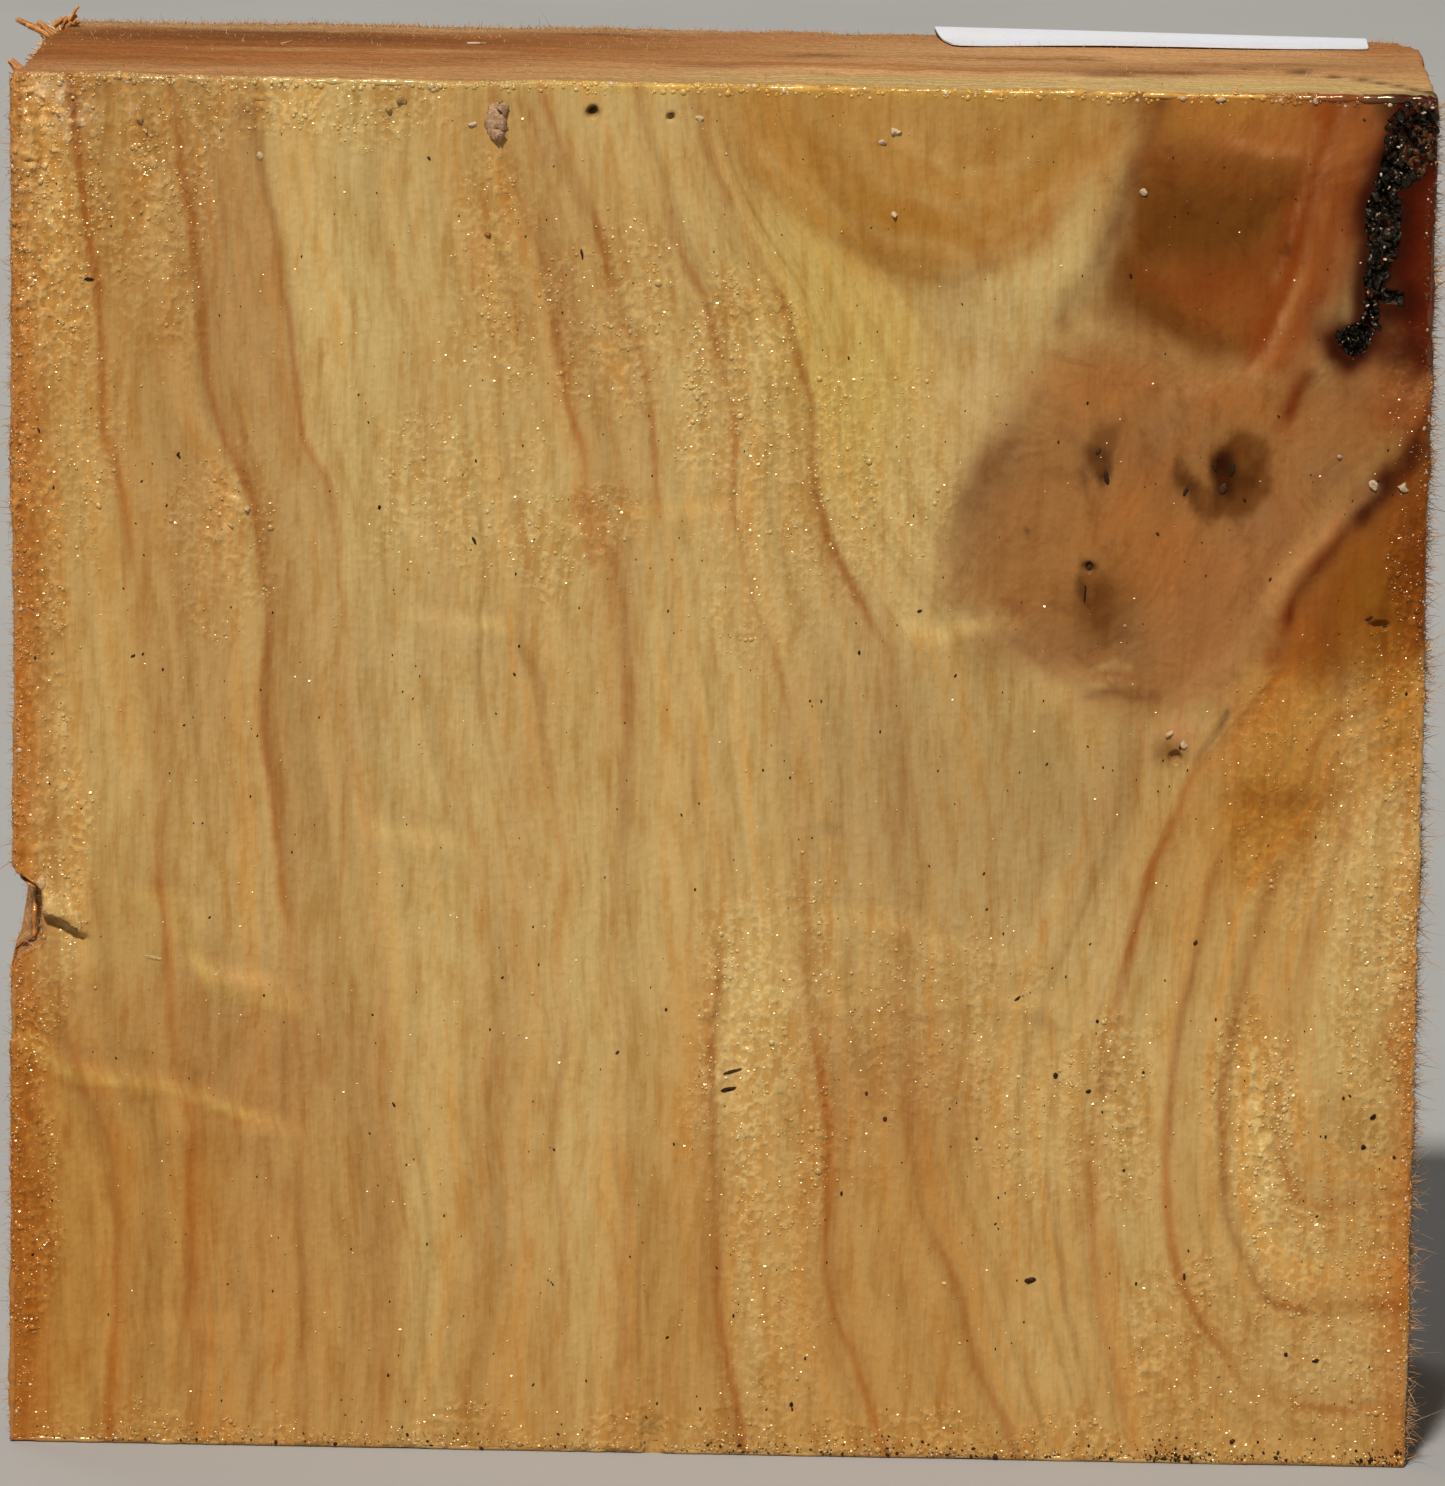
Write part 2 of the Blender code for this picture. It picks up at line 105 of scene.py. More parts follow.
# Rough, pebbly zones of the wax (x from, z from, x to, z to, how rough)
PEBBLY_ZONES = (
    (-95, 0, -93, 187, 1.0),
    (-95, 152, -86, 187, 1.0),
    (-90, 120, -84, 152, 0.4),
    (-78, 150, -73, 187, 0.65),
    (-70, 118, -63, 134, 0.6),
    (-95, 62, -88, 92, 0.6),
    (-84, 181, -38, 187, 0.6),
    (-33, 148, -29, 176, 0.45),
    (-44, 124, -26, 140, 0.35),
    (-26, 122, -15, 128, 0.6),
    (-20, 148, -10, 166, 0.55),
    (-3, 134, 8, 162, 0.6),
    (1, 108, 9, 138, 0.3),
    (11, 122, 18, 142, 0.6),
    (18, 124, 28, 148, 0.3),
    (0, 30, 13, 76, 0.6),
    (12, 40, 22, 68, 0.4),
    (22, 52, 42, 72, 0.4),
    (5, 0, 11, 30, 0.4),
    (38, 40, 52, 52, 0.35),
    (51, 42, 56, 60, 0.65),
    (71, 36, 78, 58, 0.6),
    (60, 6, 72, 26, 0.45),
    (74, 4, 95, 38, 0.5),
    (82, 82, 95, 112, 0.55),
    (72, 76, 84, 108, 0.4),
    (86, 40, 95, 100, 0.5),
    (93.5, 0, 95, 187, 0.8),
    (-95, 0, 95, 1.5, 0.6),
)

# Crinkled crusts of wax: x, z, half width, half height, how thick
CRUSTS = (
    (-92.5, 178, 4.0, 9.0, 1.0), (-87.0, 182.5, 3.5, 3.5, 1.0), (-92.5, 160, 3.5, 14, 0.7),
    (-93.5, 130, 2.2, 22, 0.5), (-76.5, 172, 2.5, 14, 0.5), (-62, 184.5, 5, 1.8, 0.6),
    (-30, 164, 2.5, 12, 0.35), (-66, 127, 3, 8, 0.5), (-93, 78, 3, 10, 0.7), (6, 148, 3, 12, 0.4),
    (75, 47, 3.5, 11, 0.6), (60, 14, 4, 9, 0.4), (-12, 150, 4, 9, 0.4), (2, 55, 4, 20, 0.35),
    (-36, 132, 8, 8, 0.25), (88, 97, 5, 14, 0.3), (-90, 100, 4, 30, 0.25),
)

# Growth rings, left to right. Each has its mean x, its strength at heights from the top down as
# (z, line, shade to the left, shade to the right), and its route (x, z) on the front face.
RINGS = (
    (-84, ((187, 0.25, 0.0, 0.1), (60, 0.3, 0.0, 0.1), (46, 0.9, 0.0, 0.6), (0, 0.8, 0.0, 0.6)),
     ((-95, 140), (-93, 120), (-90, 90), (-88, 60), (-84.8, 47.5), (-82, 42), (-80.6, 30.6), (-80.8, 17),
      (-81.5, 7), (-81.5, 1))),
    (-75, ((187, 0.95, 0.1, 0.4), (110, 0.85, 0.1, 0.3), (55, 0.6, 0.1, 0.3), (42, 0.9, 0.0, 0.9),
           (28, 0.8, 0.0, 0.7), (0, 0.6, 0.0, 0.5)),
     ((-87.4, 182), (-86, 170), (-83.8, 157), (-82.9, 138), (-81.3, 135), (-80.1, 128.5), (-78.4, 115),
      (-77.2, 110.5), (-76.5, 104), (-75.3, 96), (-74.7, 87), (-74.9, 79), (-73.9, 66), (-73.2, 57),
      (-71.5, 48), (-70.8, 42), (-71, 34), (-70.9, 19), (-71, 0))),
    (-60, ((187, 0.8, 0.2, 0.3), (140, 0.75, 0.0, 0.5), (128, 0.85, 0.0, 0.7), (75, 0.9, 0.0, 0.6),
           (55, 0.4, 0.1, 0.2), (0, 0.35, 0.1, 0.2)),
     ((-73.7, 183), (-71.7, 170), (-70, 157), (-68.5, 143.5), (-65, 135), (-62.9, 129.5), (-61.9, 120.5),
      (-60.8, 115), (-61, 97.5), (-59.6, 89), (-58.9, 81), (-58.1, 74), (-57, 60), (-56, 40), (-55, 20),
      (-55, 0))),
    (-50, ((187, 0.5, 0.4, 0.0), (160, 0.6, 0.5, 0.0), (134, 0.75, 0.5, 0.0), (124, 0.3, 0.2, 0.0),
           (0, 0.25, 0.1, 0.1)), ((-63.4, 183), (-61.3, 171.5), (-59.3, 160), (-57.2, 147), (-56.1, 138),
                                  (-54.8, 136), (-53.5, 134), (-51, 120), (-49.5, 100), (-47, 85),
                                  (-46, 76), (-45, 50), (-45, 0))),
    (-36, ((187, 0.35, 0.2, 0.1), (0, 0.25, 0.1, 0.1)),
     ((-44, 187), (-40, 150), (-36, 120), (-34, 90), (-34, 0))),
    (-21, ((187, 0.1, 0.0, 0.0), (115, 0.2, 0.1, 0.1), (108, 0.6, 0.2, 0.3), (95, 0.5, 0.2, 0.3),
           (60, 0.35, 0.2, 0.3), (0, 0.35, 0.1, 0.2)),
     ((-26.8, 111), (-23.8, 106), (-23.7, 98), (-20.2, 79.5), (-19.9, 57), (-20, 30), (-20, 0))),
    (-14, ((187, 0.6, 0.1, 0.3), (145, 0.75, 0.1, 0.4), (128, 1.0, 0.3, 0.7), (116, 0.6, 0.2, 0.4),
           (90, 0.35, 0.1, 0.3), (0, 0.3, 0.1, 0.3)),
     ((-31, 183), (-27, 170), (-23, 157), (-21, 144), (-18.7, 138), (-17.9, 128), (-14.1, 121),
      (-12.7, 112), (-12, 105), (-12.5, 93), (-14, 80), (-14.5, 65), (-14, 50), (-13, 38), (-12, 25),
      (-13, 0))),
    (-2, ((187, 0.9, 0.1, 0.2), (150, 0.95, 0.3, 0.1), (110, 0.35, 0.2, 0.1), (75, 0.4, 0.1, 0.2),
          (66, 0.95, 0.6, 0.1), (30, 0.9, 0.5, 0.2), (0, 0.8, 0.4, 0.2)),
     ((-25, 186), (-22.4, 179), (-16.8, 167), (-13.9, 156), (-11, 151), (-9, 140), (-7, 125), (-5, 110),
      (-3, 95), (-1.5, 80), (-0.7, 72), (0.8, 68), (-0.2, 49), (1, 32), (2.7, 12), (4.4, 5))),
    (10, ((187, 0.6, 0.1, 0.2), (150, 0.7, 0.3, 0.2), (115, 0.5, 0.3, 0.1), (75, 0.4, 0.1, 0.2),
          (58, 0.7, 0.3, 0.4), (48, 1.0, 0.3, 0.7), (20, 0.9, 0.3, 0.5), (0, 0.6, 0.2, 0.3)),
     ((-12, 187), (-9, 175), (-6, 165), (-2.2, 158), (-0.9, 152), (0.8, 146), (2.2, 141.6), (1.5, 129),
      (2.9, 126), (4.9, 117.5), (7.9, 111), (9.4, 105), (11.1, 95), (12, 80), (12.9, 60), (14.1, 54),
      (15.4, 49), (15.6, 38), (16.2, 22), (19.6, 14), (23.2, 4))),
    (22, ((187, 0.3, 0.1, 0.0), (172, 0.8, 0.2, 0.1), (140, 0.95, 0.5, 0.1), (118, 0.9, 0.5, 0.1),
          (100, 0.4, 0.2, 0.1), (60, 0.3, 0.1, 0.1), (40, 0.7, 0.1, 0.4), (0, 0.7, 0.2, 0.3)),
     ((-4, 187), (-1.2, 175), (2.2, 168), (5.5, 162), (8.1, 158), (9.9, 151), (12.3, 143), (12.4, 136),
      (14.8, 126), (16.9, 122), (20.2, 116), (23.5, 111), (24.4, 102), (25, 85), (25.5, 65), (26.4, 46),
      (28.4, 34), (32.8, 26), (37, 12), (40.8, 5))),
    (56, ((187, 0.0, 0.0, 0.0), (144, 0.0, 0.0, 0.6), (138, 0.8, 0.0, 0.8), (75, 0.8, 0.1, 0.5),
          (50, 0.6, 0.2, 0.4), (0, 0.5, 0.2, 0.3)),
     ((93.7, 142), (85.7, 131), (77.5, 120), (73.5, 107), (69.1, 102.5), (63.5, 94), (61.5, 87.5),
      (58.7, 81), (56.7, 73.6), (54.7, 67), (52.5, 58), (51.6, 50), (51.8, 35), (53.3, 20), (55.4, 13),
      (57.7, 3))),
    (66, ((125, 0.5, 0.1, 0.3), (80, 0.6, 0.1, 0.3), (30, 0.75, 0.2, 0.3), (0, 0.7, 0.2, 0.3)),
     ((94, 120), (88, 105), (80, 95), (71.3, 88.7), (67.4, 83), (66, 75.7), (64.5, 68), (62, 50),
      (61.7, 39), (62.7, 30.5), (65.1, 22.6), (68.1, 18), (71.1, 14.6), (71.9, 11), (75.6, 9.4),
      (81.2, 8.4), (88.6, 7.7), (95.2, 7.1))),
    (76, ((90, 0.3, 0.1, 0.1), (47, 0.8, 0.1, 0.4), (28, 0.9, 0.2, 0.4), (0, 0.8, 0.2, 0.3)),
     ((78, 85), (72, 70), (69, 47), (69.9, 34), (72.7, 28), (75.3, 23), (79.4, 21.8), (86.3, 22.4),
      (94.5, 22.5))),
    (86, ((100, 0.4, 0.1, 0.2), (50, 0.8, 0.2, 0.3), (0, 0.8, 0.2, 0.3)),
     ((85.4, 96.4), (84.6, 87), (80, 70), (76.2, 50.6), (77.9, 41), (79.8, 37), (82.8, 35.4), (87.9, 37),
      (95.2, 38))),
)
RING_LEAN = 0.9  # how far a ring moves to the left for each unit that it runs back into the block
PLATE_SIZE = 60.0  # unit of length in which the rings' field is worked out
PLATE_GIVE = 0.002  # how much that field may miss a ring's points

# Rings that stand as low ledges, with the side that is proud to the left: routes (x, z) top to bottom
LEDGES = (
    ((-63.4, 183), (-59.3, 160), (-57.2, 147), (-56.1, 138), (-53.5, 134)),
    ((-31.0, 183), (-27.0, 170), (-23.0, 157), (-21.0, 144), (-18.7, 138), (-17.9, 128), (-14.1, 121)),
    ((-9.0, 175), (-2.2, 158), (0.8, 146), (2.2, 141.6), (1.5, 129), (4.9, 117.5)),
    ((-1.2, 175), (2.2, 168), (5.5, 162), (8.1, 158), (9.9, 151), (12.3, 143), (12.4, 136), (14.8, 126),
     (20.2, 116), (23.5, 111), (24.4, 102)),
    ((0.8, 70), (-0.2, 49), (1.0, 32), (4.4, 5)),
    ((12.9, 60), (15.4, 49), (15.6, 38), (16.2, 22), (23.2, 4)),
    ((93.7, 142), (85.7, 131), (77.5, 120), (73.5, 107), (63.5, 94), (58.7, 81), (54.7, 67), (51.6, 50)),
    ((69.0, 47), (69.9, 34), (72.7, 28), (75.3, 23)),
)

# Outlines (x, z) on the front face
POCKET = (
    (89.5, 183.3), (88.3, 180.5), (87.4, 178.2), (86.7, 174.8), (85.7, 172.3), (85.5, 170.2), (85.8, 167.8),
    (86.3, 166.4), (85.9, 164), (85.5, 161.9), (85.7, 159.1), (85.2, 156.7), (83.5, 156), (82.1, 154.9),
    (82.4, 153.1), (84.4, 151.7), (86.2, 152.9), (87.4, 155), (87.9, 157.4), (87.8, 159.2), (91.2, 159.3),
    (91.0, 160.6), (88.4, 161.4), (88.9, 163.4), (89.9, 165.6), (90.3, 167.4), (90.5, 169.3), (90.5, 171.5),
    (90, 173.8), (91.5, 176.2), (93, 178.8), (94.1, 180.3), (94.3, 185), (92.5, 185.5),
)
POCKET_DEPTH = 3.6
CHIP = (
    (-97, 81.5), (-94.7, 79), (-93.9, 77.1), (-92.5, 76.6), (-91.7, 74.2), (-90.9, 71.9), (-91.1, 70.8),
    (-92.5, 68.7), (-94.1, 67.3), (-94.4, 66), (-97, 65.5),
)
CHIP_SLOPE = 1.45
CHIP_FOOT = -90.7  # x where the chip's slope begins
HOLLOW_DEPTH = 2.5  # of the torn hollow in the left side behind the chip
HOLLOW_LOW, HOLLOW_HIGH = (67.0, 69.6), (79.4, 76.4)  # heights where it begins and is full, below and above
LEFT_SWELL = 0.65  # how far the wax bulges past the left side
MOUND = ((-92.0, 73.4), (-89.6, 72.9), (-87.4, 71.8), (-85.4, 70.5), (-83.0, 69.6))  # lower side of a bulge
BURL = (
    (47, 156), (41, 146), (36, 138), (31, 129), (29.5, 122), (31.6, 117), (36, 113.5), (42, 110),
    (49, 105), (56, 102.5), (63, 103), (69, 105), (73, 111), (76.5, 118), (84, 128), (93, 139), (92, 147),
    (84, 150), (76, 151), (66, 153), (57, 156),
)
AMBER = (
    (-3, 190), (-1.5, 181), (2, 176.5), (6, 172.5), (11, 168.5), (16, 165.5), (22, 162), (30, 161),
    (36, 163.5), (40, 166), (45, 168.5), (49, 173), (52, 179), (53, 190),
)

FIGURED = ((53, 190), (51, 166), (55, 156), (76, 148), (98, 140), (98, 190))

# Figured wood on the face, painted in this order: colour, how strong, how soft its edge, outline (x, z)
FIGURES = (
    ("grey cream", 0.75, 5.0, ((28, 166), (42, 170), (51, 178), (54, 170), (47, 157), (41, 146), (33, 140),
                               (27, 148))),
    ("pale", 0.8, 2.2, ((34, 156), (39, 164), (45, 167), (50.5, 176.5), (52.8, 176), (51, 166), (46, 157),
                        (41, 150))),
    ("honey", 0.6, 4.5, AMBER),
    ("amber", 0.3, 4.0, ((12, 169), (20, 176), (32, 176), (38, 170), (36, 165), (28, 162), (20, 163))),
    ("honey", 0.9, 5.0, ((96, 141), (88, 133), (76, 117), (70, 105), (66, 90), (72, 78), (84, 88),
                         (96, 96))),
    ("umber", 1.0, 4.5, ((98, 146), (90, 135), (80, 122), (76, 112), (84, 104), (92, 112), (98, 112))),
    ("brown", 0.65, 3.0, ((98, 148), (91, 135), (84, 126), (88, 121), (98, 128))),
    ("burl", 0.92, 6.5, BURL),
    ("brown", 0.95, 4.0, ((53, 190), (52.5, 178), (51.5, 168), (50.5, 160), (55, 156), (63, 153),
                          (72, 150.5), (76, 152), (80, 163), (83, 176), (85, 190))),
    ("olive", 0.75, 4.0, ((54, 176), (62, 177.5), (72, 176), (80, 177), (78, 171), (68, 167), (60, 165.5),
                          (53, 163.5))),
    ("olive", 0.5, 2.4, ((53, 164), (59, 160), (66, 156), (72, 153), (66, 152), (57, 156), (51, 159))),
    ("orange", 0.55, 2.2, ((58, 187), (62, 183), (68, 179.5), (76, 178.5), (82, 182), (82, 190), (58, 190))),
    ("rust", 0.85, 2.5, ((79, 190), (77, 176), (73.5, 162), (71, 150), (77, 148), (82, 158), (86, 172),
                         (87, 190))),
    ("rust", 0.7, 3.5, ((82, 152), (92, 156), (98, 150), (98, 140), (90, 141), (84, 145))),
    ("resin", 0.95, 2.2, ((88, 190), (89, 176), (88, 164), (89, 154), (93, 149), (98, 150), (98, 190))),
    ("red brown", 0.85, 2.0, ((84, 190), (86, 183), (98, 180), (98, 190))),
)

# Knots with a clear edge, as the figures above
KNOT_SHAPES = (
    ("knot brown", 0.78, 0.8, ((66, 131), (68.5, 129.6), (71.5, 131), (73.2, 134), (73.6, 138),
                               (72.5, 141.2), (69.5, 142), (66.9, 139.5), (65.7, 135.5))),
    ("knot brown", 0.6, 0.8, ((61.2, 136.3), (62.4, 136.6), (63.5, 134.5), (65.8, 132), (67, 130.2),
                              (65, 129.6), (62.5, 131), (61, 133.5))),
    ("knot brown", 0.6, 0.9, ((48.9, 138.6), (50.6, 141.4), (53, 142.4), (53, 139), (52.4, 136),
                              (51.8, 134), (51, 134.2), (49.8, 136))),
    ("knot brown", 0.4, 1.3, ((48.6, 121.5), (52, 121), (53.5, 117), (51.5, 113.5), (49, 114), (48.4, 118))),
)

# Pits in the front face: x, z, half width, half height, depth
PITS = (
    (-17.8, 183.1, 0.75, 0.85, 1.3),
    (-7.4, 182.6, 0.5, 0.5, 0.9),
    (88.8, 115.7, 1.5, 0.7, 0.9),
    (61.8, 97.2, 1.0, 0.9, 0.8),
    (-89.6, 72.3, 1.3, 0.72, 0.36),
    (-88.2, 71.6, 1.3, 0.90, 0.45),
    (-86.9, 70.9, 1.2, 0.84, 0.41),
    (-85.6, 70.1, 1.1, 0.60, 0.27),
    (49.7, 122.8, 0.5, 0.8, 0.6),
)
DENT = (-7.4, 1.7, 5.4, 0.8)  # in the lower edge: x, half width, height, depth

# Planes that take off the worn back corners of the top: a point and a normal
WORN_CORNERS = (
    ((93.9, 36.9, 186.0), (1.0, 0.8, 0.9)),
    ((93.5, 34.5, 186.5), (0.8, 0.3, 0.9)),
    ((-94.5, 37.0, 186.6), (-1.0, 0.7, 0.9)),
    ((-94.7, 20.0, 186.6), (-0.8, 0.1, 0.7)),
)

# Broad patches of colour on the front face, painted in this order: colour, x, z, half width, half height,
# how strong, and by how many degrees it leans to the left at the top
FACE_PATCHES = (
    ("ochre", -88, 95, 12, 140, 0.6, 3),
    ("rim", -95, 95, 4.0, 200, 0.7, 0),
    ("crystal", -90, 186, 2.6, 1.6, 0.55, 0),
    ("pale", -92, 172, 3, 16, 0.35, 0),
    ("crystal", -87.4, 182.6, 3.0, 3.0, 0.42, 0),
    ("crystal", -78.8, 183.5, 1.0, 1.0, 0.5, 0),
    ("brown", -64.4, 183.2, 2.4, 0.8, 0.5, 0),
    ("brown", -77.0, 180.0, 1.2, 1.4, 0.5, 0),
    ("rust", -83, 186, 4, 1.6, 0.4, 0),
    ("tan", -73, 165, 10, 40, 0.35, 6),
    ("ochre", -80, 165, 8, 34, 0.45, 4),
    ("tan", -64, 160, 6, 30, 0.6, 8),
    ("pale", -50, 162, 8.5, 34, 0.85, 6),
    ("pale", -84, 120, 5, 30, 0.3, 4),
    ("tan", -70, 112, 7, 34, 0.45, 8),
    ("tan", -55, 100, 6, 34, 0.4, 3),
    ("cream", -45, 125, 9, 14, 0.6, 4),
    ("grey cream", -40, 104, 12, 16, 0.8, 0),
    ("pale", -38, 100, 9, 12, 0.35, 0),
    ("ochre", -30, 168, 6, 24, 0.5, 8),
    ("tan", -21, 163, 4, 20, 0.5, 8),
    ("cream", -12, 178, 10, 12, 0.5, 0),
    ("ochre", -12, 165, 7, 12, 0.35, 12),
    ("cream", -4, 150, 8, 22, 0.4, 8),
    ("cream", -30, 136, 8, 18, 0.4, 4),
    ("tan", -13, 118, 3.5, 34, 0.55, 2),
    ("cream", -2, 118, 12, 30, 0.45, 4),
    ("grey cream", 20, 118, 9, 22, 0.6, 6),
    ("pale", -24, 128, 7, 9, 0.35, 0),
    ("pale", -34, 72, 9, 20, 0.35, 0),
    ("cream", -18, 60, 10, 40, 0.55, 0),
    ("tan", -27, 62, 4, 50, 0.35, 0),
    ("tan", -64, 56, 18, 10, 0.65, -14),
    ("pale", -88, 66, 5, 8, 0.5, 0),
    ("cream", -84, 90, 7, 16, 0.4, 0),
    ("ochre", -78, 26, 22, 34, 0.75, 0),
    ("tan", -62, 28, 10, 34, 0.35, 0),
    ("honey", -90, 28, 7, 40, 0.5, 0),
    ("honey", -80, 38, 3, 9, 0.5, 0),
    ("honey", -68, 36, 4, 10, 0.55, 0),
    ("cream", -38, 30, 4, 40, 0.6, 0),
    ("cream", -17, 40, 4, 44, 0.45, 0),
    ("tan", -46, 26, 4, 34, 0.35, 0),
    ("grey cream", -27, 32, 4, 8, 0.35, 0),
    ("cream", 5, 60, 6, 18, 0.7, 0),
    ("pale", 6, 66, 4, 12, 0.45, 0),
    ("cream", 7, 22, 4, 18, 0.4, 0),
    ("ochre", -6, 30, 7, 30, 0.35, 0),
    # below the amber figure
    ("yellow cream", 14, 158, 10, 22, 0.7, 8),
    ("yellow cream", 20, 142, 8, 16, 0.6, 0),
    ("pale", 28, 128, 5, 14, 0.4, 0),
    ("pale", 33, 113, 8, 6, 0.5, 0),
    # the greyish middle, below the burl
    ("grey tan", 34, 88, 22, 20, 0.8, 0),
    ("grey tan", 20, 96, 10, 18, 0.5, 0),
    ("olive cream", 40, 98, 12, 10, 0.5, 10),
    ("plum grey", 54, 90, 5, 14, 0.4, -12),
    ("grey cream", 46, 74, 10, 10, 0.4, 0),
    ("tan", 26, 50, 12, 13, 0.45, 0),
    ("umber", 20, 55, 6, 7, 0.15, 0),
    ("umber", 29, 44, 5, 9, 0.12, 0),
    ("ochre", 27, 38, 11, 10, 0.4, 0),
    ("cream", 45, 45, 9, 14, 0.4, 0),
    ("cream", 57, 42, 6, 30, 0.55, 0),
    ("pale", 86, 64, 7, 12, 0.7, -20),
    ("pale", 74, 46, 6, 22, 0.5, 0),
    ("olive cream", 87, 44, 6, 7, 0.5, 0),
    ("pale", 80, 30, 8, 6, 0.4, 0),
    ("grey cream", 84, 14, 13, 7, 0.6, 0),
    ("ochre", 33, 16, 7, 16, 0.4, 0),
    ("cream", 45, 15, 6, 12, 0.4, 0),
    ("cream", 62, 14, 10, 12, 0.3, 0),
    ("ochre", 22, 22, 7, 20, 0.2, 0),
    ("honey", 61, 12, 6, 9, 0.35, 0),
    ("rim", 94, 40, 2.4, 60, 0.6, 0),
    ("rim", -94, 22, 4, 40, 0.7, 0),
    # a golden strip along the top edge: a painted glow of light through the wax, over the wax's own gold
    ("yellow cream", 18, 187, 46, 1.7, 0.8, 0),
)

# Patches laid over the figured wood: as above
FIGURE_PATCHES = (
    # darker orange-brown in the chip, whose broken face looks down and left: partly the edge's wood, partly
    # painted shade
    ("rim", -94, 73, 3, 7, 0.9, 0),
    ("pale", -88, 75, 4, 3.2, 0.6, 0),
    ("cream", -88, 67.5, 4, 3, 0.6, 0),
    ("tan", -87, 62, 6, 3, 0.4, 0),
    ("amber", 27, 168, 12, 7, 0.45, -8),
    ("honey", 8, 180, 9, 8, 0.4, 0),
    ("amber", 42, 176, 8, 9, 0.4, -20),
    ("honey", 66, 185, 10, 3.5, 0.6, 8),
    ("orange", 74, 181, 7, 3, 0.5, -6),
    ("olive", 62, 170, 10, 4.5, 0.5, -8),
    ("rust", 68, 162, 8, 4, 0.4, 0),
    ("orange", 55, 136, 5, 9, 0.45, -14),
    ("orange", 60, 124, 6, 9, 0.6, -24),
    ("orange", 52, 148, 8, 4, 0.35, 0),
    ("olive", 69.0, 136.0, 5.4, 7.6, 0.35, -4),
    ("plum grey", 51.0, 137.2, 3.6, 5.2, 0.5, -8),
    ("cream", 28, 131, 6, 14, 0.85, 0),
    ("plum grey", 40, 128, 5, 11, 0.1, -22),
    ("plum grey", 34, 124, 4.5, 9, 0.35, -10),
    ("plum grey", 38, 137, 4, 8, 0.5, -28),
    ("plum", 36, 134, 3, 9, 0.35, -24),
    ("plum grey", 44, 112, 8, 4, 0.5, 20),
    ("olive", 52, 117, 4.5, 6, 0.65, -14),
    ("plum grey", 56, 112, 6, 5, 0.7, 0),
    ("pink", 51, 108, 5, 4, 0.6, 0),
    ("pink", 66, 114, 6, 10, 0.6, -10),
    ("pink", 72, 126, 6, 10, 0.65, -34),
    ("plum grey", 71, 129, 6, 4, 0.5, 0),
    ("plum grey", 60, 142, 6, 5, 0.6, 20),
    ("plum", 58, 137, 3, 6, 0.3, 10),
    ("orange", 70, 146, 7, 3, 0.5, -30),
    ("pink", 80, 142, 4, 7, 0.55, -30),
    ("plum grey", 82, 136, 4, 4, 0.6, 0),
    ("plum grey", 84, 148, 4, 3.5, 0.55, 0),
    ("cream", 31, 114, 7, 2, 0.8, 0),
    ("cream", 44, 106, 7, 3, 0.5, 14),
    ("pink cream", 63, 99, 3, 2.6, 0.8, 0),
    ("olive", 61.5, 96.6, 2.8, 2, 0.7, 0),
    ("amber", 74, 88, 6, 8, 0.6, 0),
    ("umber", 76, 92, 8, 2.2, 0.4, 0),
    ("honey", 64, 80, 7, 14, 0.5, 12),
    ("ochre", 76, 66, 6, 14, 0.5, 0),
    ("pale", 85, 100, 4, 10, 0.45, 0),
    ("cream", 90, 84, 5, 14, 0.6, 0),
    ("amber", 88, 112, 6, 14, 0.5, 10),
    ("rust", 86, 181, 2.2, 5, 0.8, 0),
    ("resin", 93, 170, 2.5, 14, 0.6, 0),
    ("rust", 94, 163, 1.6, 8, 0.2, 0),
    ("red brown", 82, 156, 2.5, 5, 0.7, 0),
    ("red brown", 91, 153, 3.5, 3, 0.5, 0),
)

# Knots: x, z, half width, half height, darkness, lean
KNOTS = (
    (67.9, 135.4, 2.4, 3.2, 0.6, 0),
    (67.2, 133.6, 1.5, 1.5, 0.9, 0),
    (67.5, 136.8, 1.3, 2.2, 0.9, 0),
    (70.0, 134.6, 1.6, 1.4, 0.4, 20),
    (62.8, 133.2, 1.2, 2.6, 0.65, 28),
    (61.8, 137.0, 0.4, 1.0, 0.6, 0),
    (51.8, 135.0, 0.9, 1.6, 0.8, -12),
    (50.9, 138.0, 1.2, 1.6, 0.6, 25),
    (48.8, 135.0, 0.6, 1.8, 0.35, 0),
    (41.5, 128.0, 0.6, 0.5, 0.6, 0),
    # the next two fill pits: painted shade in the holes
    (-17.8, 183.1, 0.75, 0.95, 0.95, 0),
    (-7.4, 182.6, 0.55, 0.55, 0.9, 0),
    (74.5, 166.5, 0.6, 1.1, 0.6, -15),
    # this one fills a pit: painted shade in the hole
    (49.7, 122.8, 0.7, 1.0, 1.0, 20),
    (49.3, 119.3, 0.4, 2.4, 0.55, 5),
    (15.0, 86.3, 1.6, 1.3, 0.3, 0),
    # this one lies in the slit under the bulge by the chip: painted shadow there
    (-87.6, 71.4, 2.8, 0.9, 0.25, -25),
)

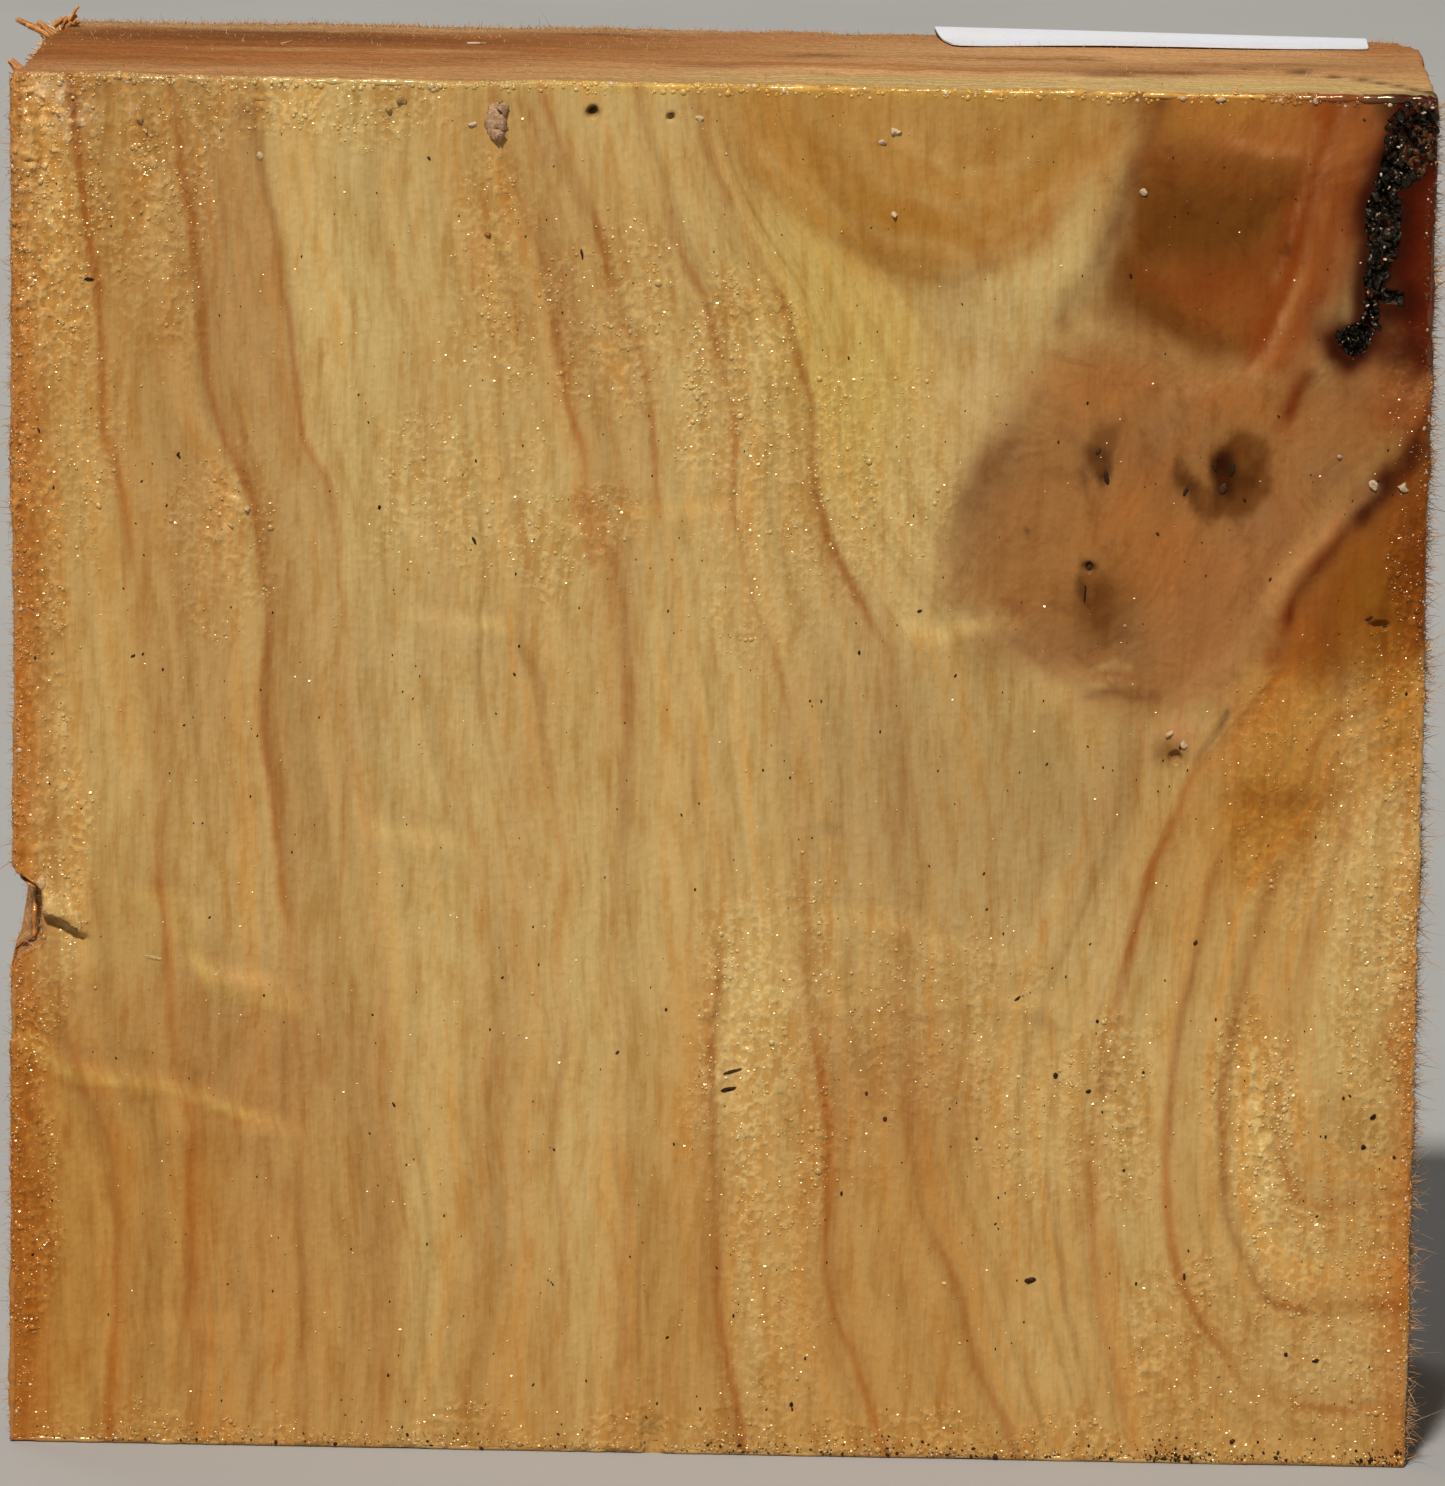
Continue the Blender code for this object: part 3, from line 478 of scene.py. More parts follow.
# Painted lines on the front face: colour, half width, strength, route (x, z)
STROKES = (
    ("amber", 1.6, 0.3, ((4, 187), (9, 177), (18, 169), (30, 167.5), (39, 171.5), (46, 180))),
    ("cream", 0.9, 0.25, ((0, 185), (6, 176.5), (14, 169.5), (23, 165.5), (33, 165), (41, 168.5),
                          (48, 176))),
    ("olive", 0.7, 0.18, ((-2, 183), (4, 174), (12, 167), (22, 163.3), (32, 162.6), (40, 165.5), (48, 172))),
    ("cream", 1.1, 0.2, ((10, 187), (15, 178), (22, 172.5), (31, 171), (38, 175), (43, 182))),
    ("amber", 1.0, 0.4, ((16, 187), (21, 179), (28, 175.5), (35, 178.5), (38, 184))),
    ("amber", 0.8, 0.35, ((48, 186), (45, 178), (40, 172))),
    ("plum", 1.0, 0.5, ((58, 187), (55.5, 178.6), (53.2, 174.3), (51, 166.6), (48, 161), (46.2, 156.5))),
    ("plum", 2.0, 0.2, ((53.5, 177), (51.5, 168), (48, 160))),
    ("red brown", 0.5, 0.75, ((69.4, 104), (67.4, 100), (65.0, 95.5))),
    ("rim", 0.7, 0.5, ((61.5, 88.5), (59, 81), (57, 75), (56, 70))),
    ("red brown", 0.9, 0.85, ((79, 149.5), (78.2, 147.5), (76.6, 143.4))),
    ("rust", 1.4, 0.6, ((79, 152), (77.5, 146), (76, 142))),
    ("rust", 1.5, 0.9, ((96, 146), (92, 138), (88, 132.5), (84, 127), (80, 122), (76.5, 116.5),
                        (74.6, 112))),
    ("red brown", 2.0, 0.9, ((97, 145), (93, 139.5), (89.5, 135), (86, 130))),
    ("red brown", 1.1, 0.55, ((95, 141), (88, 132), (80.5, 122), (76.5, 116))),
    ("pink cream", 0.8, 0.5, ((88, 134), (83, 129), (78, 123), (75, 119))),
    ("amber", 1.3, 0.5, ((5, 175), (9, 172), (13, 168), (19, 165))),
    ("amber", 1.6, 0.4, ((12, 180), (17, 175), (22, 168))),
    ("pale", 0.9, 0.25, ((22, 181), (30, 176), (40, 178))),
    ("pale", 1.2, 0.25, ((26, 172), (36, 169), (45, 174))),
    ("olive", 0.9, 0.3, ((16, 165), (22, 161.6), (30, 160.3), (36, 163))),
    ("rim", 1.2, 0.4, ((34, 166), (42, 170), (48, 176), (51, 181))),
    ("orange", 0.9, 0.6, ((85, 186), (82, 177), (79, 166), (76, 156), (73.5, 149))),
    ("pink cream", 0.7, 0.38, ((83, 186), (80, 176), (77.6, 164), (74.5, 152), (72.5, 149))),
    ("pink cream", 0.45, 0.6, ((75.6, 158.5), (74, 153), (72.6, 150))),
    ("pink cream", 0.6, 0.35, ((79, 183), (77, 173), (74, 163))),
    ("pink", 0.7, 0.4, ((84, 172), (82, 163), (80.5, 153))),
    ("orange", 1.0, 0.55, ((63, 185.5), (66, 182.2), (70, 180.2), (76, 180.0))),
    ("pink cream", 0.7, 0.5, ((67, 181.5), (71, 179.6), (76, 179.6))),
    ("brown", 1.4, 0.6, ((54, 178), (62, 177.5), (70, 175.5), (79, 176))),
    ("olive", 1.3, 0.45, ((52, 161), (58, 158.5), (64, 155.5), (70, 153.5))),
    ("rust", 1.2, 0.45, ((55, 163), (62, 161), (70, 164), (76, 170))),
    ("plum", 1.0, 0.3, ((34, 116), (40, 112), (50, 107), (60, 104.5))),
    ("plum", 1.2, 0.3, ((33, 130), (38, 138), (43, 146))),
    ("orange", 1.4, 0.4, ((50, 126), (55, 131), (60, 138), (66, 147))),
    ("pink", 1.0, 0.5, ((58, 112), (64, 120), (70, 127), (78, 131))),
    ("pink cream", 1.3, 0.3, ((64, 104), (70, 112), (76, 121), (84, 130))),
    ("pink cream", 0.8, 0.35, ((60, 148), (66, 148.5), (72, 150))),
    ("plum", 0.8, 0.35, ((46, 142), (49, 139), (49.5, 134))),
    ("cream", 0.5, 0.6, ((50, 110.5), (52.5, 111), (55, 109.5))),
    ("cream", 0.5, 0.5, ((49.5, 107.5), (52.5, 108.3), (55.5, 106.5))),
    ("plum", 0.7, 0.4, ((49, 106), (52.5, 106.8), (57, 104.5))),
    ("pink cream", 0.6, 0.6, ((56.5, 101), (58, 98.5), (58.8, 96))),
    ("rust", 0.5, 0.5, ((61.5, 88), (58.5, 79.5), (56.3, 71), (54.6, 64))),
    ("umber", 0.5, 0.6, ((54.8, 61.5), (54.2, 57), (52.6, 50))),
    ("umber", 0.8, 0.3, ((15.2, 61.8), (21, 62.2), (28, 60.8), (36, 61.6), (44, 60.8), (46.9, 59.4))),
    # Golden lines along the torn steps: painted highlight on their slopes that face up
    ("yellow cream", 0.9, 0.6, ((-93.5, 55.6), (-86.6, 52.0), (-78.0, 51.0), (-68.5, 48.2), (-61.4, 45.4))),
    ("yellow cream", 0.8, 0.5, ((-79.0, 75.8), (-74.0, 73.6), (-70.4, 68.0), (-66.0, 64.0), (-60.0, 62.0),
                                (-54.0, 60.0))),
    ("rim", 0.8, 0.45, ((-93.5, 54.0), (-86.6, 50.9), (-78.0, 49.9), (-68.5, 47.0), (-61.4, 44.2))),
    ("tan", 1.2, 0.5, ((-90, 56.6), (-80.0, 53.4), (-69, 50.6), (-60, 46.6))),
    ("tan", 0.9, 0.4, ((-76.0, 77.2), (-68.7, 74.6))),
    ("rust", 0.6, 0.5, ((-27.4, 184), (-25.5, 180), (-24, 176))),
    ("rust", 0.8, 0.45, ((-18.9, 130), (-18.2, 126), (-17.2, 122))),
    ("umber", 0.8, 0.5, ((90.5, 116.4), (88.7, 116.6), (87, 116))),
    ("honey", 0.8, 0.4, ((54, 30), (57, 24), (62, 20))),
    ("grey cream", 1.0, 0.5, ((88, 105), (87, 98), (89, 88))),
    ("amber", 1.2, 0.4, ((80, 112), (82, 100), (80, 88), (77, 76))),
    ("amber", 0.9, 0.4, ((89, 108), (88, 96), (86, 86))),
)

# Patches on the top: colour, x, y, half width, half depth, strength
TOP_PATCHES = (
    ("top tan", 45, -18, 80, 26, 0.95),
    ("top tan", 40, 12, 50, 22, 0.75),
    ("top tan", 85, 20, 30, 16, 0.6),
    ("top tan", -60, -30, 60, 9, 0.5),
    ("top plum", -65, 16, 46, 9, 0.7),
    ("top plum", -78, 24, 24, 5, 0.5),
    ("top red", -30, 4, 60, 8, 0.5),
    ("top grey", -60, 33, 60, 6, 0.85),
    ("top grey", 0, 36, 60, 3, 0.6),
    ("pale", 46, -32, 56, 9, 0.85),
    ("pale", 70, -26, 30, 8, 0.6),
    ("top red", 8, -8, 26, 4, 0.8),
    ("top red", 34, -12, 14, 3, 0.7),
    ("top plum", 57, -12, 12, 4, 0.75),
    ("top red", 56, -6, 26, 5, 0.5),
    ("top plum", 76, 0, 16, 4, 0.5),
    ("top red", 90, 24, 8, 14, 0.6),
    ("red brown", 94, -34, 5, 4, 0.7),
)
TOP_STROKES = (
    ("red brown", 0.9, 0.75, ((70, -4), (78, -8), (86, -17), (93, -29), (96, -34))),
    ("pale", 0.9, 0.7, ((78, -16), (86, -24), (95, -36))),
    ("top plum", 1.0, 0.6, ((-95, 25), (-60, 24), (-30, 27), (0, 30))),
    ("top plum", 0.8, 0.4, ((-95, -8), (-60, -4), (-20, -10), (10, -14))),
    ("top plum", 1.0, 0.6, ((0, 8), (20, 4), (45, 6), (66, 2))),
    ("top plum", 0.8, 0.6, ((44, -15), (52, -17), (62, -12))),
    ("pale", 1.1, 0.5, ((-28, -20), (-10, -18), (10, -24), (30, -26))),
    ("pale", 1.1, 0.4, ((-20, -30), (0, -28), (20, -32))),
    ("top tan", 1.2, 0.5, ((-90, 4), (-50, 0), (-20, 4))),
)

# Colours as seen, red, green and blue from 0 to 255, with what they are
COLOURS = (
    ("straw", (193, 160, 101), "Plain waxed sapwood"),
    ("cream", (199, 170, 111), "Pale bands between the growth rings"),
    ("pale", (201, 173, 113), "The palest bands and the raised wax"),
    ("yellow cream", (198, 168, 92), "Yellowish wood beside the amber figure"),
    ("grey cream", (192, 162, 108), "Dull pale wood"),
    ("olive cream", (170, 138, 84), "Dull wood below the burl"),
    ("grey tan", (172, 140, 90), "Greyish fibres in the middle of the face"),
    ("ochre", (177, 131, 68), "Darker sapwood"),
    ("honey", (176, 124, 54), "Honey-coloured wood and wax"),
    ("tan", (168, 122, 72), "Brownish bands"),
    ("rim", (166, 96, 30), "Orange-brown wood along the edges"),
    ("amber", (163, 109, 36), "The amber figure"),
    ("umber", (104, 46, 3), "Brown wood by the right edge"),
    ("brown", (130, 72, 24), "Brown figured wood"),
    ("olive", (102, 58, 14), "Dark olive-brown figured wood"),
    ("rust", (132, 57, 11), "Red-orange streaks"),
    ("orange", (166, 101, 47), "Orange glow in the burl"),
    ("burl", (152, 101, 52), "The burl's brownish pink"),
    ("pink", (158, 103, 58), "Pinkish wood in the burl"),
    ("pink cream", (190, 136, 86), "Pale pinkish streaks"),
    ("plum", (106, 64, 36), "Purple-brown lines"),
    ("plum grey", (144, 104, 64), "Greyish plum wood"),
    ("red brown", (46, 10, 2), "Dark red-brown wood beside the bark"),
    ("resin", (78, 14, 0), "Red resin in the wood beside the bark"),
    ("knot", (46, 12, 0), "The cores of the knots"),
    ("knot brown", (94, 49, 11), "The brown wood of the knots"),
    ("bark", (10, 6, 6), "Bark in the pocket"),
    ("ring", (152, 86, 30), "Lines of the growth rings"),
    ("sawn", (186, 140, 90), "Bare sawn wood of the back and the sides"),
    ("top tan", (206, 160, 108), "Light sawn wood of the top"),
    ("top red", (156, 94, 45), "Reddish sawn wood of the top"),
    ("top plum", (112, 68, 33), "Dull bands of the top"),
    ("top grey", (180, 144, 102), "Weathered fuzz along the back edge"),
    ("dirt", (40, 22, 10), "Specks of dirt"),
    ("crystal", (212, 186, 154), "Whitish crumbs of wax"),
    ("mauve", (172, 134, 112), "The pinkish-grey lump of wax near the top"),
    ("fuzz", (216, 168, 114), "Torn fibres"),
    ("splinter", (204, 142, 82), "Torn splinters"),
    ("label", (229, 232, 240), "The paper label"),
    ("floor", (168, 167, 165), "The studio floor"),
)


def linear(shade):
    """A screen colour from 0 to 255 as the linear colour that Blender works with."""
    return tuple(c / 3294.6 if c <= 10 else ((c / 255 + 0.055) / 1.055) ** 2.4 for c in shade)


def prop_name(colour):
    """The name of a colour's property."""
    return colour.replace(" ", "_")


PALETTE = {name: np.array(linear(shade)) for name, shade, _ in COLOURS}


# Numbers spread over the wood


def ease(value, low, high):
    """From 0 at low to 1 at high, easing in and out."""
    t = np.clip((value - low) / (high - low), 0.0, 1.0)
    return t * t * (3.0 - 2.0 * t)


def places_between(marks):
    """Places from the first mark to the last, as far apart as the step beside each mark says."""
    at, step = np.array(marks, float).T
    fine = np.linspace(at[0], at[-1], 6000)
    density = 1.0 / np.interp(fine, at, step)
    passed = np.concatenate(([0.0], np.cumsum((density[1:] + density[:-1]) / 2 * np.diff(fine))))
    count = int(round(passed[-1]))
    return np.interp(np.linspace(0.0, passed[-1], count + 1), passed, fine)


def lattice_value(cell, seed):
    """A seeded number from -1 to 1 for each cell of a lattice."""
    h = cell[:, 0] * 73856093 ^ cell[:, 1] * 19349663 ^ cell[:, 2] * 83492791 ^ seed * 2654435761
    h = (h ^ (h >> 13)) * 1274126177 & 0x7FFFFFFF
    h = (h ^ (h >> 11)) * 1103515245 & 0x7FFFFFFF
    h = h ^ (h >> 15)
    return h / 0x3FFFFFFF - 1.0


def lumpy(points, size, seed):
    """Smooth seeded noise between -1 and 1, with lumps of that size; size may be one number or three."""
    scaled = points / np.array(size, float) + 0.37 * seed
    cell = np.floor(scaled).astype(np.int64)
    t = scaled - cell
    t = t * t * (3.0 - 2.0 * t)
    total = np.zeros(len(points))
    for corner in np.ndindex(2, 2, 2):
        weight = np.prod(np.where(np.array(corner, bool), t, 1.0 - t), axis=1)
        total += weight * lattice_value(cell + np.array(corner), seed)
    return total


def to_route(x, z, route):
    """How far each point is from a route, and on which side: -1 right of its direction, 1 left."""
    nearest, side = np.full(x.shape, np.inf), np.ones(x.shape)
    for (ax, az), (bx, bz) in zip(route, route[1:]):
        dx, dz = bx - ax, bz - az
        along = np.clip(((x - ax) * dx + (z - az) * dz) / (dx * dx + dz * dz), 0.0, 1.0)
        px, pz = x - ax - along * dx, z - az - along * dz
        far = np.hypot(px, pz)
        closer = far < nearest
        nearest = np.where(closer, far, nearest)
        side = np.where(closer, np.sign(dx * pz - dz * px), side)
    return nearest, side


def depth_inside(x, z, outline):
    """How far each point is inside an outline; it is negative outside."""
    closed = outline + outline[:1]
    nearest, _ = to_route(x, z, closed)
    inside = np.zeros(x.shape, bool)
    for (ax, az), (bx, bz) in zip(closed, closed[1:]):
        if az != bz:
            crosses = (az > z) != (bz > z)
            inside ^= crosses & (x < ax + (z - az) * (bx - ax) / (bz - az))
    return np.where(inside, nearest, -nearest)


def on_plane(x, z):
    """Points of the face's plane, for the noise on it."""
    return np.column_stack((x, np.zeros(len(x)), z))


def off_resin(x, z):
    """Whether a point of the face is clear of the resin beside the bark."""
    return (x < 86.0) | (z < 148.0)


def patch(x, z, across, up, half_wide, half_high, lean=0.0):
    """A soft patch: 1 at its middle, fading past its half width and height; it may lean to the left."""
    turn = math.radians(lean)
    dx, dz = x - across, z - up
    a = dx * math.cos(turn) + dz * math.sin(turn)
    b = -dx * math.sin(turn) + dz * math.cos(turn)
    return np.exp(-((a / half_wide) ** 2 + (b / half_high) ** 2) ** 1.25)


# Growth rings


def plate_kernel(a, b):
    """The thin plate's kernel between two sets of points."""
    square = ((a[:, None, :] - b[None, :, :]) ** 2).sum(2)
    return 0.5 * square * np.log(square + 1e-12)


def fit_rings():
    """Fit a thin plate through the rings' points, so that the count of rings runs smoothly over the face."""
    at = np.array([p for _, _, route in RINGS for p in route], float) / PLATE_SIZE
    count = np.array([i for i, (_, _, route) in enumerate(RINGS) for _ in route], float)
    n = len(at)
    flat = np.column_stack((np.ones(n), at))
    system = np.zeros((n + 3, n + 3))
    system[:n, :n] = plate_kernel(at, at) + PLATE_GIVE * np.eye(n)
    system[:n, n:] = flat
    system[n:, :n] = flat.T
    return at, np.linalg.solve(system, np.concatenate((count, np.zeros(3))))


RING_AT, RING_WEIGHT = fit_rings()


RING_BATCH = 20000  # how many points are worked out at a time


def ring_count(x, z):
    """How many rings lie to the left of each point of the front face."""
    at = np.column_stack((x, z)) / PLATE_SIZE
    found = np.empty(len(at))
    for i in range(0, len(at), RING_BATCH):
        part = at[i : i + RING_BATCH]
        bent = plate_kernel(part, RING_AT) @ RING_WEIGHT[:-3]
        found[i : i + RING_BATCH] = bent + RING_WEIGHT[-3] + part @ RING_WEIGHT[-2:]
    return found


def ring_fields(p):
    """For points (x, y, z): grain place in mm, ring count and ring spacing; and each ring's strengths."""
    x, z = p[:, 0] + RING_LEAN * (p[:, 1] - FRONT), p[:, 2]
    count = ring_count(x, z)
    slope_x = (ring_count(x + 0.5, z) - count) / 0.5
    slope_z = (ring_count(x, z + 0.5) - count) / 0.5
    spacing = 1.0 / np.clip(np.hypot(slope_x, slope_z), 0.025, 2.0)
    last = len(RINGS) - 1
    means = np.array([mean for mean, _, _ in RINGS], float)
    grain = np.interp(count, np.arange(last + 1), means)
    grain += np.minimum(count, 0.0) * 10.0 + np.maximum(count - last, 0.0) * 10.0
    nearest = np.clip(np.round(count), 0, last).astype(int)
    strengths = np.zeros((len(p), 3))
    for i, (_, keys, _) in enumerate(RINGS):
        mine = nearest == i
        heights = np.array(keys, float)[::-1]
        for k in range(3):
            strengths[mine, k] = np.interp(z[mine], heights[:, 0], heights[:, k + 1])
    outside = (count < -0.5) | (count > last + 0.5)
    strengths[outside] = (0.35, 0.1, 0.15)
    return np.column_stack((grain, count, spacing)), strengths


# Colours laid over the wood


def laid_over(tone, colour, amount):
    """A tone with a colour laid over it, by an amount from 0 to 1 for each point."""
    return tone + (PALETTE[colour] - tone) * np.clip(amount, 0.0, 1.0)[:, None]


def face_tone(p):
    """The colour of the waxed face under its rings and fibres."""
    x, z = p[:, 0], p[:, 2]
    wander = on_plane(x, z)
    x = x + 1.3 * lumpy(wander, (9.0, 9.0, 22.0), 3) + 0.5 * lumpy(wander, (3.0, 9.0, 7.0), 4)
    z = z + 1.6 * lumpy(wander, 12.0, 5)
    tone = np.tile(PALETTE["straw"], (len(p), 1))
    tone = laid_over(tone, "ochre", 0.65 * ease(z, 80.0, 15.0))
    for colour, across, up, wide, high, strength, lean in FACE_PATCHES:
        tone = laid_over(tone, colour, strength * patch(x, z, across, up, wide, high, lean))
    loose_x = x + 2.0 * lumpy(wander, 8.0, 12) + 0.8 * lumpy(wander, 2.6, 14)
    loose_z = z + 2.0 * lumpy(wander, 8.0, 13) + 0.8 * lumpy(wander, 2.6, 15)
    for colour, strength, soft, outline in FIGURES:
        tone = laid_over(tone, colour, strength * ease(depth_inside(loose_x, loose_z, outline), -soft, soft))
    for colour, across, up, wide, high, strength, lean in FIGURE_PATCHES:
        tone = laid_over(tone, colour, strength * patch(x, z, across, up, wide, high, lean))
    for colour, half, strength, route in STROKES:
        far, _ = to_route(x, z, route)
        fading = 0.75 + 0.45 * lumpy(wander, (2.0, 9.0, 4.0), 10)
        tone = laid_over(tone, colour, strength * fading * np.exp(-((far / half) ** 2)))
    reach = 3.6 + 3.2 * ease(x, 86.0, 91.0) * ease(z, 150.0, 160.0)
    by_bark = ease(depth_inside(x, z, POCKET) / reach, -1.0, -0.1)
    tone = laid_over(tone, "resin", 0.85 * by_bark)
    tone = laid_over(tone, "red brown", 0.9 * ease(depth_inside(x, z, POCKET) / reach, -0.55, 0.0))
    x = p[:, 0] + 0.9 * lumpy(wander, (1.8, 9.0, 3.0), 6) + 0.35 * lumpy(wander, 0.9, 7)
    z = p[:, 2] + 1.0 * lumpy(wander, 3.0, 9)
    thick, crinkles = crusted(p[:, 0], p[:, 2])
    # The crust is made paler and bluer on its crinkles' ridges and darker in the creases, following the
    # relief: partly its whitish wax, partly painted highlight and painted shade
    light = 1.0 + thick[:, None] * ((crinkles - 0.2) * 1.4)[:, None] * (0.8, 1.05, 1.5)
    tone *= np.clip(light, 0.65, 1.6)
    grainy = 1.0 + 0.18 * lumpy(wander, (1.1, 9.0, 1.4), 16)
    for colour, strength, soft, outline in KNOT_SHAPES:
        tone = laid_over(tone, colour, strength * grainy * ease(depth_inside(x, z, outline), -soft, soft))
    for across, up, wide, high, strength, lean in KNOTS:
        tone = laid_over(tone, "knot", strength * grainy * patch(x, z, across, up, wide, high, lean))
    return tone


def sawn_tone(p):
    """The colour of the bare sawn faces: the top with its bands, and the rest."""
    x, y, z = p.T
    tone = np.tile(PALETTE["sawn"], (len(p), 1))
    tone = laid_over(tone, "top red", 0.35 * (lumpy(p, (30.0, 30.0, 90.0), 8) + 0.4))
    top = np.tile(PALETTE["top red"], (len(p), 1))
    for colour, across, back, wide, deep, strength in TOP_PATCHES:
        top = laid_over(top, colour, strength * patch(x, y, across, back, wide, deep))
    for colour, half, strength, route in TOP_STROKES:
        far, _ = to_route(x, y, route)
        top = laid_over(top, colour, strength * np.exp(-((far / half) ** 2)))
    tone += (top - tone) * ease(z, HEIGHT - 3.0, HEIGHT - 0.8)[:, None]
    # the dark wood and the resin around the pocket run back into the block
    reach = patch(y + 4.0 * lumpy(p, (9.0, 9.0, 22.0), 18), z, FRONT, 170.0, 13.0, 17.0)
    stained = reach * ease(x, 82.0, 94.0) * ease(z, HEIGHT + 2.0, HEIGHT - 2.0)
    tone = laid_over(tone, "red brown", 0.9 * stained)
    return tone


def wood_tone(p):
    """The colour at any point of the block."""
    ragged = 0.5 * lumpy(p, 2.5, 11)
    near = np.flatnonzero(p[:, 1] < FRONT + 8.0)
    behind = p[:, 1] - FRONT
    behind[near] -= 0.95 * cut_depth(p[near, 0], p[near, 2])
    front = ease(behind + ragged, 1.6, 0.7)[:, None]
    tone = sawn_tone(p) * (1.0 - front) + face_tone(p) * front
    in_pocket = depth_inside(p[:, 0], p[:, 2], POCKET)
    deep = ease(p[:, 1], FRONT + 0.25, FRONT + 0.9)
    bark = ease(in_pocket, -0.15, 0.25) * np.clip(deep * 1.3, 0.0, 1.0) * (p[:, 1] < -30)
    return laid_over(tone, "bark", bark)


# The shape of the block


def pebbliness(x, z):
    """From 0 to 1: how rough and pebbly the wax is."""
    flat = on_plane(x, z)
    x = x + 2.2 * lumpy(flat, 6.0, 21) + 1.0 * lumpy(flat, 2.4, 22)
    z = z + 6.0 * lumpy(flat, 9.0, 23) + 2.0 * lumpy(flat, 3.0, 24)
    most = np.zeros(x.shape)
    for x0, z0, x1, z1, rough in PEBBLY_ZONES:
        across = np.abs(x - (x0 + x1) / 2) / ((x1 - x0) / 2 + PEBBLE_FADE)
        up = np.abs(z - (z0 + z1) / 2) / ((z1 - z0) / 2 + PEBBLE_FADE)
        most = np.maximum(most, rough * ease(across**3 + up**3, 1.1, 0.25))
    streaky = 0.75 + 0.5 * lumpy(flat, (2.6, 9.0, 15.0), 25)
    return np.clip(most * streaky, 0.0, 1.0)


def crusted(x, z):
    """How thick the crust of wax is, from 0 to 1, and its crinkles, from 0 to about 0.8."""
    flat = on_plane(x, z)
    bent_x, bent_z = x + 0.8 * lumpy(flat, 3.0, 131), z + 1.6 * lumpy(flat, 3.0, 132)
    thick = np.zeros(x.shape)
    for across, up, wide, high, most in CRUSTS:
        thick = np.maximum(thick, most * patch(bent_x, bent_z, across, up, wide, high))
    loose = flat + np.column_stack((0.7 * lumpy(flat, 1.9, 135), 0 * x, 0.9 * lumpy(flat, 1.7, 136)))
    crinkles = 0.6 * np.abs(lumpy(loose, 1.3, 149)) + 0.4 * np.abs(lumpy(loose, 0.75, 157))
    return thick, crinkles


def front_relief(x, z):
    """How far the waxed face stands proud of its plane."""
    flat = on_plane(x, z)
    proud = SLOW_WAVE[0] * lumpy(flat, (SLOW_WAVE[1], 9.0, SLOW_WAVE[1] * 1.8), 31)
    proud += 0.08 * lumpy(flat, (5.0, 9.0, 26.0), 32) + 0.05 * lumpy(flat, (2.2, 9.0, 12.0), 33)
    for height, route in TORN_STEPS:
        ragged = 0.9 * lumpy(flat, 4.0, 34) + 0.6 * lumpy(flat, (1.2, 9.0, 3.0), 38)
        height = height * (0.65 + 0.7 * lumpy(flat, 5.0, 39))
        far, side = to_route(x, z, route)
        below = -far * side + ragged
        taper = ease(far, 12.0, 6.0)
        step = ease(below, -TEAR_RISE, 0.6) * np.exp(-np.maximum(below, 0.0) / TEAR_FADE)
        hollow = 0.35 * np.exp(-(((below + 2.2) / 1.6) ** 2))
        ends = ease(x, route[0][0] - 2.0, route[0][0] + 2.5) * ease(x, route[-1][0] + 3.0, route[-1][0] - 3.5)
        if route[0][0] < LEFT + 3.0:
            ends = ease(x, route[-1][0] + 3.0, route[-1][0] - 3.5)
        proud += height * (step - hollow) * taper * ends
    for route in LEDGES:
        far, side = to_route(x, z, route)
        right = far * side
        height = LEDGE_HEIGHT * (0.7 + 0.6 * lumpy(flat, 7.0, 35))
        edge = height * ease(right, 0.5, -0.3)
        proud += edge * np.exp(np.minimum(right, 0.0) / LEDGE_FADE) * ease(far, 9.0, 4.0)
    far, side = to_route(x, z, MOUND)
    above = far * side + 0.25 * lumpy(flat, 1.3, 40)
    bulge = 1.6 * ease(above, -0.6, 0.4) * np.exp(-((np.maximum(above, 0.0) / 3.2) ** 2))
    proud += bulge * ease(x, -92.8, -90.6) * ease(x, -83.8, -86.6)
    rough = pebbliness(x, z)
    for (height, size), seed in zip(PEBBLES, (36, 37)):
        proud += height * rough * lumpy(flat, size, seed)
    thick, crinkles = crusted(x, z)
    return proud + thick * (CRUST_RIDGES * crinkles - CRUST_SUNK)


def cut_depth(x, z):
    """How deep the pocket, the pits, the chip and the dent go at each point of the face."""
    flat = on_plane(x, z)
    inside = depth_inside(x, z, POCKET) + 0.2 * lumpy(flat, 1.1, 41)
    floor = POCKET_DEPTH * (0.72 + 0.3 * lumpy(flat, 2.4, 42) + 0.2 * lumpy(flat, 1.1, 43))
    depth = floor * ease(inside, -0.1, 1.1)
    for across, up, wide, high, deep in PITS:
        reach = np.hypot((x - across) / wide, (z - up) / high) + 0.18 * lumpy(flat, 0.9, 44)
        depth = np.maximum(depth, deep * ease(reach, 1.25, 0.4))
    chip = depth_inside(x, z, CHIP) + 0.35 * lumpy(flat, 1.6, 45)
    uneven = 0.9 * lumpy(flat, 2.4, 46) + 0.5 * lumpy(flat, 1.1, 48)
    slope = CHIP_SLOPE * np.maximum(CHIP_FOOT - x + uneven, 0.0)
    depth = np.maximum(depth, slope * ease(chip, -0.1, 0.5))
    across, half, high, deep = DENT
    reach = np.maximum(np.abs(x - across) / half, z / high) + 0.12 * lumpy(flat, 1.5, 47)
    return np.maximum(depth, deep * ease(reach, 1.15, 0.3))


